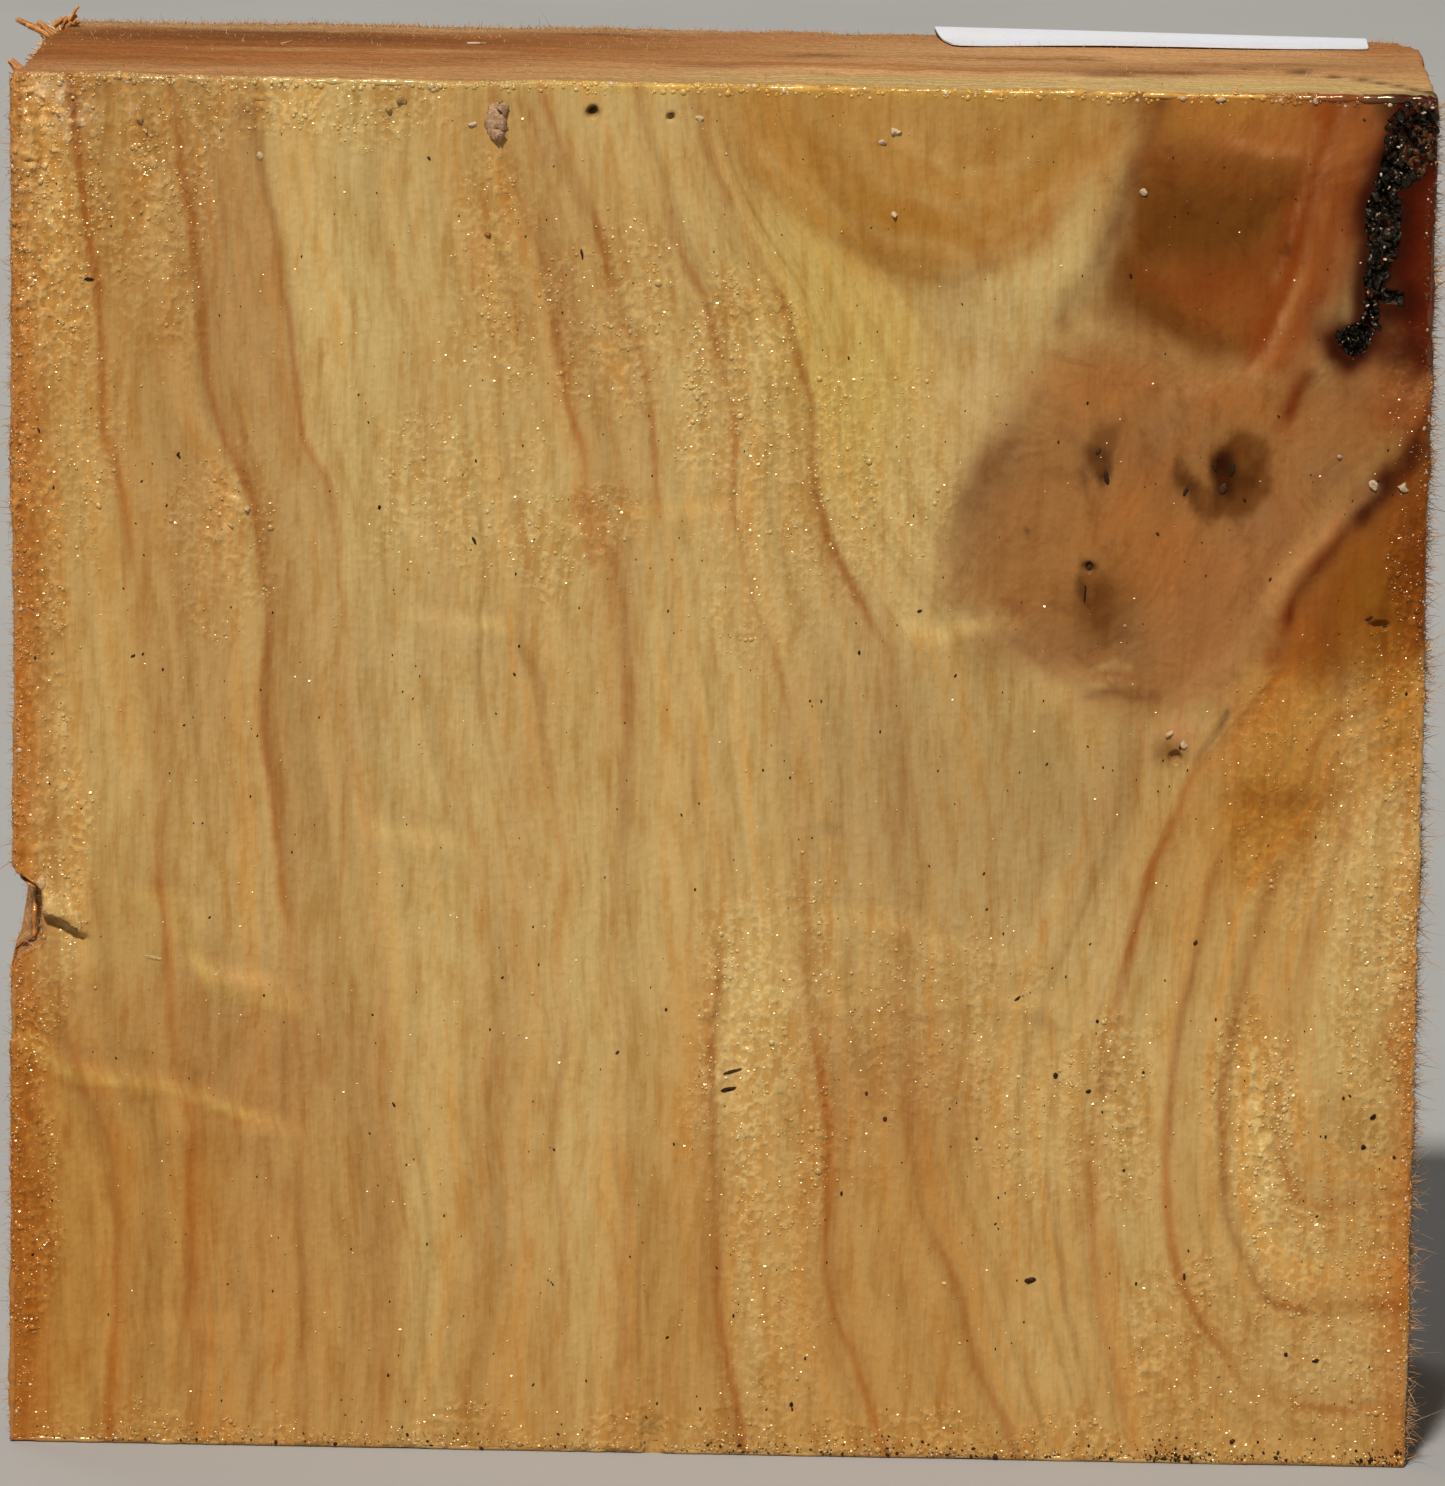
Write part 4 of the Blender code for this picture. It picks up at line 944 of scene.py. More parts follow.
def left_swell(p):
    """How far the wax at the front bulges past the left side, in its upper half."""
    upper_half = ease(p[:, 2], 116.0, 136.0)
    return LEFT_SWELL * (p[:, 0] < 0.0) * upper_half * ease(p[:, 1], FRONT + 14.0, FRONT + 4.0)


def side_hollow(p):
    """How far the left side is torn inwards behind the chip."""
    ragged = p[:, 2] + 0.9 * lumpy(p, (2.0, 6.0, 1.8), 137)
    taper = 4.0 * ease(p[:, 1], -32.0, -9.0)
    up = ease(ragged - taper, *HOLLOW_LOW) * ease(ragged + taper, *HOLLOW_HIGH)
    return HOLLOW_DEPTH * up * ease(p[:, 1], -8.0, -25.0) * ease(p[:, 0], -89.4, -95.0)


def shaped(p):
    """The points of a plain box of the block's size, moved to the block's worn and waxed surface."""
    low, high = np.array((LEFT, FRONT, 0.0)), np.array((RIGHT, BACK, HEIGHT))
    round_by = EDGE_ROUND * (1.0 + 0.45 * lumpy(p, 6.0, 51))[:, None]
    core = np.clip(p, low + round_by, high - round_by)
    out = p - core
    length = np.linalg.norm(out, axis=1, keepdims=True)
    normal = out / np.maximum(length, 1e-9)
    to_front, to_top = np.clip(-normal[:, 1], 0.0, 1.0), np.clip(normal[:, 2], 0.0, 1.0)
    to_side = np.abs(normal[:, 0])
    sawn = sum(height * lumpy(p, size, 52 + i) for i, (height, size) in enumerate(SAWN))
    torn = 0.16 * lumpy(p, (9.0, 1.4, 1.4), 55)
    sawn_side = sawn + 0.12 * lumpy(p, (1.0, 1.2, 9.0), 56) + left_swell(p)
    rise = to_front * front_relief(p[:, 0], p[:, 2])
    near_label = ease(p[:, 0], 24.0, 27.0) * ease(p[:, 0], 91.0, 88.5) * ease(p[:, 1], 15.0, 19.0)
    to_top *= 1.0 - 0.9 * near_label
    rise += to_side * sawn_side + to_top * (sawn + torn)
    rise += np.clip(normal[:, 1], 0.0, 1.0) * -0.04 * (1.0 + lumpy(p, 5.0, 57))
    moved = core + normal * (round_by + rise[:, None])
    near = np.flatnonzero(p[:, 1] < FRONT + 9.0)
    depth = cut_depth(p[near, 0], p[near, 2])
    sunk = moved[near, 1] + depth * to_front[near]
    moved[near, 1] = np.where(depth > 0.3, np.maximum(sunk, FRONT + depth - 0.3), sunk)
    for corner, facing in WORN_CORNERS:
        facing = np.array(facing) / np.linalg.norm(facing)
        over = np.maximum((moved - np.array(corner)) @ facing + 0.25 * lumpy(p, 2.0, 58), 0.0)
        moved -= over[:, None] * facing
    moved[:, 0] += side_hollow(moved)
    moved[:, 2] = np.maximum(moved[:, 2], 0.0)
    moved[:, 1] = np.minimum(moved[:, 1], BACK)
    return moved


# Meshes


def read_places(made):
    """A mesh's points in millimetres."""
    flat = np.empty(len(made.data.vertices) * 3)
    made.data.vertices.foreach_get("co", flat)
    return flat.reshape(-1, 3) / MM


def write_places(made, places):
    """Move a mesh's points to places in millimetres."""
    made.data.vertices.foreach_set("co", (places * MM).ravel())
    made.data.update()


def keep_numbers(made, name, kind, values):
    """Keep a number, vector or colour for each point of a mesh."""
    if kind == "FLOAT_COLOR":
        values = np.column_stack((values, np.ones(len(values))))
    field = {"FLOAT": "value", "FLOAT_VECTOR": "vector", "FLOAT_COLOR": "color"}[kind]
    kept = made.data.attributes.new(name, kind, "POINT")
    kept.data.foreach_set(field, np.ascontiguousarray(values, np.float32).ravel())


def new_mesh(name, places, triangles):
    """An object made of triangles, from places in millimetres."""
    mesh = bpy.data.meshes.new(name)
    mesh.vertices.add(len(places))
    mesh.vertices.foreach_set("co", (places * MM).ravel().astype(np.float32))
    mesh.loops.add(triangles.size)
    mesh.loops.foreach_set("vertex_index", triangles.ravel().astype(np.int32))
    mesh.polygons.add(len(triangles))
    mesh.polygons.foreach_set("loop_start", np.arange(0, triangles.size, 3, dtype=np.int32))
    mesh.polygons.foreach_set("use_smooth", np.ones(len(triangles), bool))
    mesh.update(calc_edges=True)
    made = bpy.data.objects.new(name, mesh)
    bpy.context.scene.collection.objects.link(made)
    return made


def only(made):
    """Make one object the only selected and the active one."""
    bpy.ops.object.select_all(action="DESELECT")
    made.select_set(True)
    bpy.context.view_layer.objects.active = made


def take_template(made):
    """The points and triangles of a modelled shape, which is then deleted; its units are kept."""
    only(made)
    bpy.ops.object.transform_apply(location=True, rotation=True, scale=True)
    bpy.ops.object.mode_set(mode="EDIT")
    bpy.ops.mesh.select_all(action="SELECT")
    bpy.ops.mesh.quads_convert_to_tris()
    bpy.ops.mesh.normals_make_consistent(inside=False)
    bpy.ops.object.mode_set(mode="OBJECT")
    places = read_places(made) * MM
    triangles = np.array([tuple(f.vertices) for f in made.data.polygons])
    bpy.data.objects.remove(made, do_unlink=True)
    return places, triangles


def upright_axes(outwards, turns):
    """Local axes (x, y, z) for copies whose z points outwards, turned about it."""
    z = outwards / np.linalg.norm(outwards, axis=1, keepdims=True)
    help_axis = np.where(np.abs(z[:, 2:3]) < 0.9, np.array([[0.0, 0.0, 1.0]]), np.array([[1.0, 0.0, 0.0]]))
    x = np.cross(help_axis, z)
    x /= np.linalg.norm(x, axis=1, keepdims=True)
    y = np.cross(z, x)
    cos, sin = np.cos(turns)[:, None], np.sin(turns)[:, None]
    return np.stack((x * cos + y * sin, y * cos - x * sin, z), axis=1)


def copies(name, template, places, axes, sizes, bends=None, uneven=0.0, lump=1.0, smooth=True):
    """One object that holds a copy of a template at each place; bends push a copy's far end aside."""
    points, triangles = template
    n, m = len(places), len(points)
    local = points[None, :, :] * sizes[:, None, :]
    co = places[:, None, :] + np.einsum("nmk,nkj->nmj", local, axes)
    if bends is not None:
        co += bends[:, None, :] * (points[:, 2] ** 2)[None, :, None]
    co = co.reshape(-1, 3)
    if uneven:
        shift = np.column_stack([lumpy(co, lump, seed) for seed in (61, 62, 63)])
        co += shift * uneven * np.repeat(sizes.min(1), m)[:, None]
    co[:, 2] = np.maximum(co[:, 2], 0.0)
    faces = (triangles[None, :, :] + (np.arange(n) * m)[:, None, None]).reshape(-1, 3)
    made = new_mesh(name, co, faces)
    made.data.polygons.foreach_set("use_smooth", np.full(len(faces), smooth))
    return made


def colour_copies(made, tones):
    """Keep one colour for each copy in an object."""
    each = len(made.data.vertices) // len(tones)
    keep_numbers(made, "tone", "FLOAT_COLOR", np.repeat(tones, each, axis=0))


def face_outwards(made):
    """Turn the faces of a closed mesh outwards."""
    only(made)
    bpy.ops.object.mode_set(mode="EDIT")
    bpy.ops.mesh.select_all(action="SELECT")
    bpy.ops.mesh.normals_make_consistent(inside=False)
    bpy.ops.object.mode_set(mode="OBJECT")


def joined(name, parts):
    """Several objects made one, under a new name."""
    only(parts[0])
    for part in parts[1:]:
        part.select_set(True)
    bpy.ops.object.join()
    made = bpy.context.view_layer.objects.active
    made.name = made.data.name = name
    return made


def finished(made, material, slot, *replaced):
    """Give a piece its material and its place in the part, and hide the parts it replaces; the slot is not
    used.
    """
    made.data.materials.clear()
    made.data.materials.append(material)
    if not len(made.data.polygons):
        raise RuntimeError(f"{made.name} has no faces")
    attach(made, "root")
    if replaced:
        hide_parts(*replaced)
    return made


# Materials


class Nodes:
    """Adds nodes to one tree and links them."""

    def __init__(self, tree):
        self.tree = tree
        self.count = 0

    def add(self, kind, **settings):
        """A new node, with its settings."""
        node = self.tree.nodes.new(kind)
        node.location = (220 * (self.count % 10), -280 * (self.count // 10))
        self.count += 1
        for name, value in settings.items():
            setattr(node, name, value)
        return node

    def feed(self, socket, value):
        """Link a socket to another one, or set its value."""
        if isinstance(value, bpy.types.NodeSocket):
            self.tree.links.new(value, socket)
        else:
            socket.default_value = value

    def sums(self, operation, *values):
        """A Math node's result."""
        node = self.add("ShaderNodeMath", operation=operation)
        for socket, value in zip(node.inputs, values):
            self.feed(socket, value)
        return node.outputs[0]

    def scaled(self, vector, factors):
        """A vector times three factors."""
        node = self.add("ShaderNodeVectorMath", operation="MULTIPLY")
        self.feed(node.inputs[0], vector)
        self.feed(node.inputs[1], factors)
        return node.outputs[0]

    def parts(self, vector):
        """A vector's three numbers."""
        node = self.add("ShaderNodeSeparateXYZ")
        self.feed(node.inputs[0], vector)
        return node.outputs[0], node.outputs[1], node.outputs[2]

    def whole(self, x, y, z):
        """A vector from three numbers."""
        node = self.add("ShaderNodeCombineXYZ")
        for socket, value in zip(node.inputs, (x, y, z)):
            self.feed(socket, value)
        return node.outputs[0]

    def noise(self, vector, size=1.0, detail=2.0, rough=0.5, output=0):
        """Noise from 0 to 1, with lumps of that size in the vector's unit; output 1 gives three numbers."""
        node = self.add("ShaderNodeTexNoise")
        self.feed(node.inputs["Vector"], vector)
        node.inputs["Scale"].default_value = 1.0 / size
        node.inputs["Detail"].default_value = detail
        node.inputs["Roughness"].default_value = rough
        return node.outputs[output]

    def eased(self, value, low, high, to_low=0.0, to_high=1.0):
        """A value mapped from one range to another, easing in and out."""
        node = self.add("ShaderNodeMapRange", interpolation_type="SMOOTHSTEP")
        for socket, given in zip(node.inputs, (value, low, high, to_low, to_high)):
            self.feed(socket, given)
        return node.outputs[0]

    def mixed(self, amount, a, b, blend="MIX"):
        """Two colours mixed."""
        node = self.add("ShaderNodeMix", data_type="RGBA", blend_type=blend)
        for index, value in ((0, amount), (6, a), (7, b)):
            self.feed(node.inputs[index], value)
        return node.outputs[2]

    def kept(self, name, output="Vector"):
        """A number, vector or colour kept on the mesh."""
        return self.add("ShaderNodeAttribute", attribute_name=name).outputs[output]

    def place(self):
        """The place on the object, in millimetres."""
        return self.scaled(self.add("ShaderNodeTexCoord").outputs["Object"], (1000.0, 1000.0, 1000.0))

    def brightened(self, colour, value):
        """A colour times a number."""
        return self.mixed(1.0, colour, self.whole(value, value, value), "MULTIPLY")

    def tinted(self, colour, *tint):
        """A colour times a tint's red, green and blue."""
        return self.mixed(1.0, colour, (*tint, 1.0), "MULTIPLY")

    def group(self, tree, **values):
        """One of the shader groups, with its inputs fed by name."""
        node = self.add("ShaderNodeGroup", node_tree=tree)
        for name, value in values.items():
            self.feed(node.inputs[name.replace("_", " ")], value)
        return node


def new_group(name, inputs, outputs):
    """An empty shader group with named sockets, and its input and output nodes."""
    tree = bpy.data.node_groups.new(name, "ShaderNodeTree")
    for label, kind in inputs:
        tree.interface.new_socket(name=label, in_out="INPUT", socket_type=kind)
    for label, kind in outputs:
        tree.interface.new_socket(name=label, in_out="OUTPUT", socket_type=kind)
    nodes = Nodes(tree)
    return tree, nodes, nodes.add("NodeGroupInput").outputs, nodes.add("NodeGroupOutput").inputs


FLOAT, VECTOR, COLOUR = "NodeSocketFloat", "NodeSocketVector", "NodeSocketColor"


def wood_figure():
    """Group: fibres, streaks, flecks and growth rings over a tone."""
    old = bpy.data.node_groups.get("Wood figure")
    if old:
        return old
    tree, n, given, result = new_group(
        "Wood figure",
        (("Place", VECTOR), ("Figure", VECTOR), ("Strengths", VECTOR), ("Waves", VECTOR), ("Bent", VECTOR),
         ("Tone", COLOUR), ("Ring", COLOUR), ("Contrast", FLOAT), ("Swirl", FLOAT)),
        (("Color", COLOUR),),
    )
    place = given["Place"]
    grain, count, spacing = n.parts(given["Figure"])
    line_strength, left_strength, right_strength = n.parts(given["Strengths"])
    wander, broken, patchy = n.parts(given["Waves"])
    x, y, z = n.parts(place)
    straight = n.sums("MULTIPLY_ADD", wander, 6.0, n.sums("MULTIPLY_ADD", y, RING_LEAN, x))
    fibre = n.whole(straight, y, z)
    band = n.whole(n.sums("MULTIPLY_ADD", wander, 3.0, grain), y, z)
    wide = n.noise(n.scaled(band, (1 / 3.0, 1 / 26, 1 / 60)), detail=2.0, rough=0.6)
    fine = n.noise(n.scaled(fibre, (1 / 0.8, 1 / 8, 1 / 15)), detail=2.0, rough=0.65)
    hair = n.noise(n.scaled(fibre, (1 / 0.22, 1 / 2.4, 1 / 4.5)), detail=1.0, rough=0.6)
    mottle = n.noise(n.scaled(fibre, (1 / 1.7, 1 / 9, 1 / 7)), detail=3.0, rough=0.62)
    total = n.sums("MULTIPLY_ADD", wide, 0.7, -0.35)
    for part, weight in ((fine, 0.28), (hair, 0.16), (mottle, 0.25)):
        total = n.sums("MULTIPLY_ADD", n.sums("SUBTRACT", part, 0.5), weight, total)
    light = n.sums("MULTIPLY_ADD", total, given["Contrast"], 1.0)
    warmth = n.whole(light, n.sums("POWER", light, 1.15), n.sums("POWER", light, 1.5))
    colour = n.mixed(1.0, given["Tone"], warmth, "MULTIPLY")
    warm = n.tinted(colour, 0.9, 0.73, 0.48)
    blotch = n.eased(mottle, 0.54, 0.34, 0.0, 0.5)
    colour = n.mixed(n.sums("MULTIPLY", blotch, given["Contrast"]), colour, warm)
    # brownish and mauve stains that run along the fibres
    stain = n.noise(n.scaled(fibre, (1 / 2.0, 1 / 12, 1 / 18)), detail=3.0, rough=0.7)
    stained = n.tinted(colour, 0.88, 0.74, 0.6)
    stains = n.sums("MULTIPLY", n.eased(stain, 0.48, 0.7, 0.0, 0.6), given["Contrast"])
    colour = n.mixed(stains, colour, stained)
    orange = n.tinted(colour, 0.92, 0.74, 0.48)
    streaks = n.eased(n.sums("MULTIPLY_ADD", fine, 0.45, wide), 0.74, 1.0, 0.0, 0.7)
    colour = n.mixed(n.sums("MULTIPLY", streaks, given["Contrast"]), colour, orange)
    # swirls where the wood is figured
    figured = given["Swirl"]
    swirl = n.noise(n.scaled(given["Bent"], (1 / 2.2, 1 / 8, 1 / 9)), detail=4.0, rough=0.7)
    cloud = n.noise(given["Bent"], size=7.0, detail=4.0, rough=0.7)
    darker = n.tinted(colour, 0.62, 0.46, 0.34)
    lighter = n.tinted(colour, 1.3, 1.2, 1.08)
    colour = n.mixed(n.sums("MULTIPLY", n.eased(swirl, 0.48, 0.68, 0.0, 0.3), figured), colour, darker)
    colour = n.mixed(n.sums("MULTIPLY", n.eased(cloud, 0.5, 0.34, 0.0, 0.5), figured), colour, darker)
    colour = n.mixed(n.sums("MULTIPLY", n.eased(swirl, 0.5, 0.32, 0.0, 0.35), figured), colour, lighter)
    # the rings
    sway = n.noise(n.scaled(place, (1 / 1.6, 1 / 1.6, 1 / 6)), detail=3.0, rough=0.65)
    part = n.sums("SUBTRACT", count, n.sums("ROUND", count))
    across = n.sums("MULTIPLY_ADD", part, spacing, n.sums("MULTIPLY_ADD", sway, 1.6, -0.8))
    away = n.sums("ABSOLUTE", across)
    line = n.sums("MULTIPLY", n.sums("MULTIPLY", n.eased(away, 0.0, 1.15, 1.0, 0.0), line_strength), broken)
    is_right = n.eased(across, -0.3, 0.3)
    is_left = n.sums("SUBTRACT", 1.0, is_right)
    near = n.eased(n.sums("ABSOLUTE", part), 0.0, 0.46, 1.0, 0.0)
    close = n.eased(away, 0.0, 5.0, 1.0, 0.3)
    shade = n.sums("MULTIPLY", is_right, right_strength)
    shade = n.sums("MULTIPLY_ADD", is_left, left_strength, shade)
    shade = n.sums("MULTIPLY", n.sums("MULTIPLY", shade, near), n.sums("MULTIPLY", close, 0.62))
    colour = n.mixed(shade, colour, n.brightened(given["Ring"], light))
    colour = n.mixed(n.sums("MULTIPLY", line, 0.72), colour, n.brightened(given["Ring"], light))
    # dark flecks along the fibres
    fleck = n.noise(n.scaled(fibre, (1 / 0.5, 1 / 2.0, 1 / 2.6)), detail=1.0)
    dark = n.sums("MULTIPLY", n.eased(fleck, 0.66, 0.78, 0.0, 0.22), patchy)
    colour = n.mixed(dark, colour, n.tinted(colour, 0.45, 0.28, 0.16))
    n.feed(result["Color"], colour)
    return tree


def wax_skin():
    """Group: the fine relief of the wax: rounded pebbles over a film that runs along the fibres."""
    old = bpy.data.node_groups.get("Wax skin")
    if old:
        return old
    tree, n, given, result = new_group(
        "Wax skin", (("Place", VECTOR), ("Rough", FLOAT)), (("Height", FLOAT), ("Tops", FLOAT))
    )
    lumps = n.noise(n.scaled(given["Place"], (1 / 0.9, 1 / 0.9, 1 / 1.15)), detail=1.0, rough=0.4)
    pebbles = n.eased(lumps, 0.38, 0.76, 0.0, 0.24)
    # Tops: where the pebbles stand highest; the material paints highlight on them and shade between them
    n.feed(result["Tops"], n.eased(lumps, 0.38, 0.6))
    film = n.noise(n.scaled(given["Place"], (1 / 0.45, 1 / 1.2, 1 / 4.5)), detail=1.0)
    amount = n.sums("MULTIPLY_ADD", given["Rough"], 0.8, 0.2)
    n.feed(result["Height"], n.sums("MULTIPLY_ADD", film, 0.05, n.sums("MULTIPLY", pebbles, amount)))
    return tree


def new_material(name):
    """A new material, its nodes, and its Principled BSDF."""
    made = bpy.data.materials.new(name)
    made.use_nodes = True
    nodes = Nodes(made.node_tree)
    return made, nodes, made.node_tree.nodes["Principled BSDF"].inputs


def colour_of(name):
    """A colour as the user set it, for a node's socket."""
    return (*getattr(bpy.context.scene.bowl_blank_colours, prop_name(name)), 1.0)


def add_bump(n, shader, height, strength=1.0):
    """Bump from a height in millimetres."""
    bump = n.add("ShaderNodeBump")
    bump.inputs["Strength"].default_value = strength
    bump.inputs["Distance"].default_value = MM
    n.feed(bump.inputs["Height"], height)
    n.feed(shader["Normal"], bump.outputs[0])


WARM_SHINE = (1.0, 0.82, 0.55, 1.0)
WAX_IOR = 1.44
BLOCK_SHINE = 0.16  # specular level of the block's surface


def block_material():
    """Waxed, sawn and bark-lined cottonwood."""
    made, n, shader = new_material("Waxed cottonwood")
    place = n.place()
    rough, wax, bark = n.parts(n.kept("masks"))
    contrast, swirl, dull = n.parts(n.kept("fibres"))
    figure = n.group(
        wood_figure(), Place=place, Figure=n.kept("figure"), Strengths=n.kept("strengths"),
        Waves=n.kept("waves"), Bent=n.kept("bent"), Tone=n.kept("tone", "Color"), Ring=colour_of("ring"),
        Contrast=contrast, Swirl=swirl,
    )
    skin = n.group(wax_skin(), Place=place, Rough=rough)
    streak = n.noise(n.scaled(place, (1 / 32, 1 / 1.5, 1 / 60)), detail=4.0, rough=0.65)
    streaked = n.brightened(figure.outputs["Color"], n.eased(streak, 0.3, 0.7, 0.8, 1.18))
    crumbs = n.noise(place, size=0.9, detail=3.0, rough=0.7)
    waxed = figure.outputs["Color"]
    # Where the wax is pebbly, the pebble tops are made paler and the hollows more orange-brown, following the
    # relief: painted highlight and painted shade
    shaded_hollows = n.tinted(waxed, 0.9, 0.72, 0.46)
    lit_tops = n.tinted(waxed, 1.14, 1.16, 1.2)
    waxed = n.mixed(rough, waxed, n.mixed(skin.outputs["Tops"], shaded_hollows, lit_tops))
    colour = n.mixed(wax, n.brightened(streaked, n.eased(crumbs, 0.25, 0.75, 0.78, 1.2)), waxed)
    bark_colour = n.mixed(n.eased(crumbs, 0.45, 0.7), colour_of("bark"), colour_of("red brown"))
    colour = n.mixed(bark, colour, bark_colour)
    n.feed(shader["Base Color"], colour)
    roughness = n.sums("MULTIPLY_ADD", n.sums("SUBTRACT", dull, 0.85), wax, 0.85)
    n.feed(shader["Roughness"], n.sums("MULTIPLY_ADD", n.sums("SUBTRACT", 0.3, roughness), bark, roughness))
    shader["Specular IOR Level"].default_value = BLOCK_SHINE
    shader["Specular Tint"].default_value = WARM_SHINE
    shader["IOR"].default_value = WAX_IOR
    bare = n.sums("MULTIPLY_ADD", wax, -0.55, n.sums("MULTIPLY_ADD", bark, 0.6, 0.55))
    height = n.sums("MULTIPLY_ADD", skin.outputs["Height"], wax, n.sums("MULTIPLY", crumbs, bare))
    add_bump(n, shader, height)
    return made


def tinted_material(name, roughness, shine, lump, low, high, relief):
    """A finish whose colour is kept on the mesh, made lighter and darker in lumps, with a fine relief."""
    made, n, shader = new_material(name)
    place = n.place()
    speckle = n.noise(place, size=lump, detail=3.0, rough=0.6)
    n.feed(shader["Base Color"], n.brightened(n.kept("tone", "Color"), n.eased(speckle, 0.3, 0.7, low, high)))
    uneven = n.eased(n.noise(place, size=3 * lump), 0.3, 0.7, roughness * 0.75, roughness * 1.25)
    n.feed(shader["Roughness"], uneven)
    shader["Specular IOR Level"].default_value = shine
    shader["Specular Tint"].default_value = WARM_SHINE
    shader["IOR"].default_value = WAX_IOR
    add_bump(n, shader, n.sums("MULTIPLY", speckle, relief))
    return made


def label_material():
    """Matt white paper with faint fibres, and a little wax soaked in, in faint cloudy patches."""
    made, n, shader = new_material("Label paper")
    place = n.place()
    fibres = n.noise(n.scaled(place, (1 / 0.9, 1 / 0.3, 1 / 0.3)), detail=3.0, rough=0.6)
    clouds = n.noise(place, size=9.0, detail=2.0)
    warm = n.mixed(n.eased(clouds, 0.45, 0.75, 0.0, 0.5), colour_of("label"), (0.78, 0.76, 0.72, 1.0))
    n.feed(shader["Base Color"], n.brightened(warm, n.eased(fibres, 0.25, 0.75, 0.95, 1.03)))
    n.feed(shader["Roughness"], n.eased(fibres, 0.3, 0.7, 0.5, 0.65))
    add_bump(n, shader, n.sums("MULTIPLY", fibres, 0.03))
    return made


# Pieces


def cut_along(made, axis, cuts):
    """Cut the edges that run along an axis, in edit mode, and go back to object mode."""
    bpy.ops.mesh.select_all(action="DESELECT")
    bpy.ops.mesh.select_mode(type="EDGE")
    shape = bmesh.from_edit_mesh(made.data)
    for edge in shape.edges:
        if abs(edge.verts[0].co[axis] - edge.verts[1].co[axis]) > 0.5:
            edge.select_set(True)
    bmesh.update_edit_mesh(made.data)
    bpy.ops.mesh.subdivide_edgering(number_cuts=cuts, interpolation="LINEAR", smoothness=0.0)
    bpy.ops.object.mode_set(mode="OBJECT")


def unit_box(columns, rows, depths):
    """A closed box of unit size, its front a grid and its sides cut along the depth."""
    bpy.ops.object.select_all(action="DESELECT")
    bpy.ops.mesh.primitive_grid_add(
        x_subdivisions=columns, y_subdivisions=rows, size=1.0, rotation=(math.radians(90), 0, 0)
    )
    made = bpy.context.object
    bpy.ops.object.transform_apply(location=True, rotation=True, scale=True)
    bpy.ops.object.mode_set(mode="EDIT")
    bpy.ops.mesh.select_all(action="SELECT")
    bpy.ops.mesh.extrude_region_move(TRANSFORM_OT_translate={"value": (0, 1, 0)})
    bpy.ops.mesh.select_all(action="SELECT")
    bpy.ops.mesh.normals_make_consistent(inside=False)
    cut_along(made, 1, depths - 1)
    return made


def subdivide_where(made, test):
    """Subdivide the front faces whose middles pass a test of (x, z) in millimetres."""
    middles = np.empty(len(made.data.polygons) * 3)
    made.data.polygons.foreach_get("center", middles)
    middles = middles.reshape(-1, 3) / MM
    chosen = np.flatnonzero(np.abs(middles[:, 1] - FRONT) < 0.01)
    chosen = chosen[test(middles[chosen, 0], middles[chosen, 2])]
    only(made)
    bpy.ops.object.mode_set(mode="EDIT")
    bpy.ops.mesh.select_mode(type="FACE")
    bpy.ops.mesh.select_all(action="DESELECT")
    shape = bmesh.from_edit_mesh(made.data)
    shape.faces.ensure_lookup_table()
    for index in chosen:
        shape.faces[index].select_set(True)
    bmesh.update_edit_mesh(made.data)
    bpy.ops.mesh.subdivide(number_cuts=1)
    bpy.ops.object.mode_set(mode="OBJECT")


def near_cuts(x, z, around):
    """Whether a point of the face is in or near a pit, the pocket's rim, the chip or the dent."""
    near = np.abs(depth_inside(x, z, POCKET)) < around
    near |= depth_inside(x, z, CHIP) > -around
    for across, up, wide, high, _ in PITS:
        near |= np.hypot((x - across) / (wide + around), (z - up) / (high + around)) < 1.0
    near |= (np.abs(x - DENT[0]) < DENT[1] + around) & (z < DENT[2] + around)
    return near


def is_detailed(x, z):
    """Whether a point of the face is near a cut, in the pocket or on the crust of wax."""
    return near_cuts(x, z, 1.5) | (depth_inside(x, z, POCKET) > -1.5) | (crusted(x, z)[0] > 0.16)


def lighten(made, spared, triangles):
    """Thin a mesh out to a number of triangles, apart from its spared points."""
    group = made.vertex_groups.new(name="thinned")
    group.add(np.flatnonzero(~spared).tolist(), 1.0, "REPLACE")
    now = sum(len(face.vertices) - 2 for face in made.data.polygons)
    thin = made.modifiers.new("thin out", "DECIMATE")
    thin.vertex_group = group.name
    thin.ratio = min(1.0, triangles / now)
    only(made)
    bpy.ops.object.modifier_apply(modifier=thin.name)
    made.vertex_groups.clear()


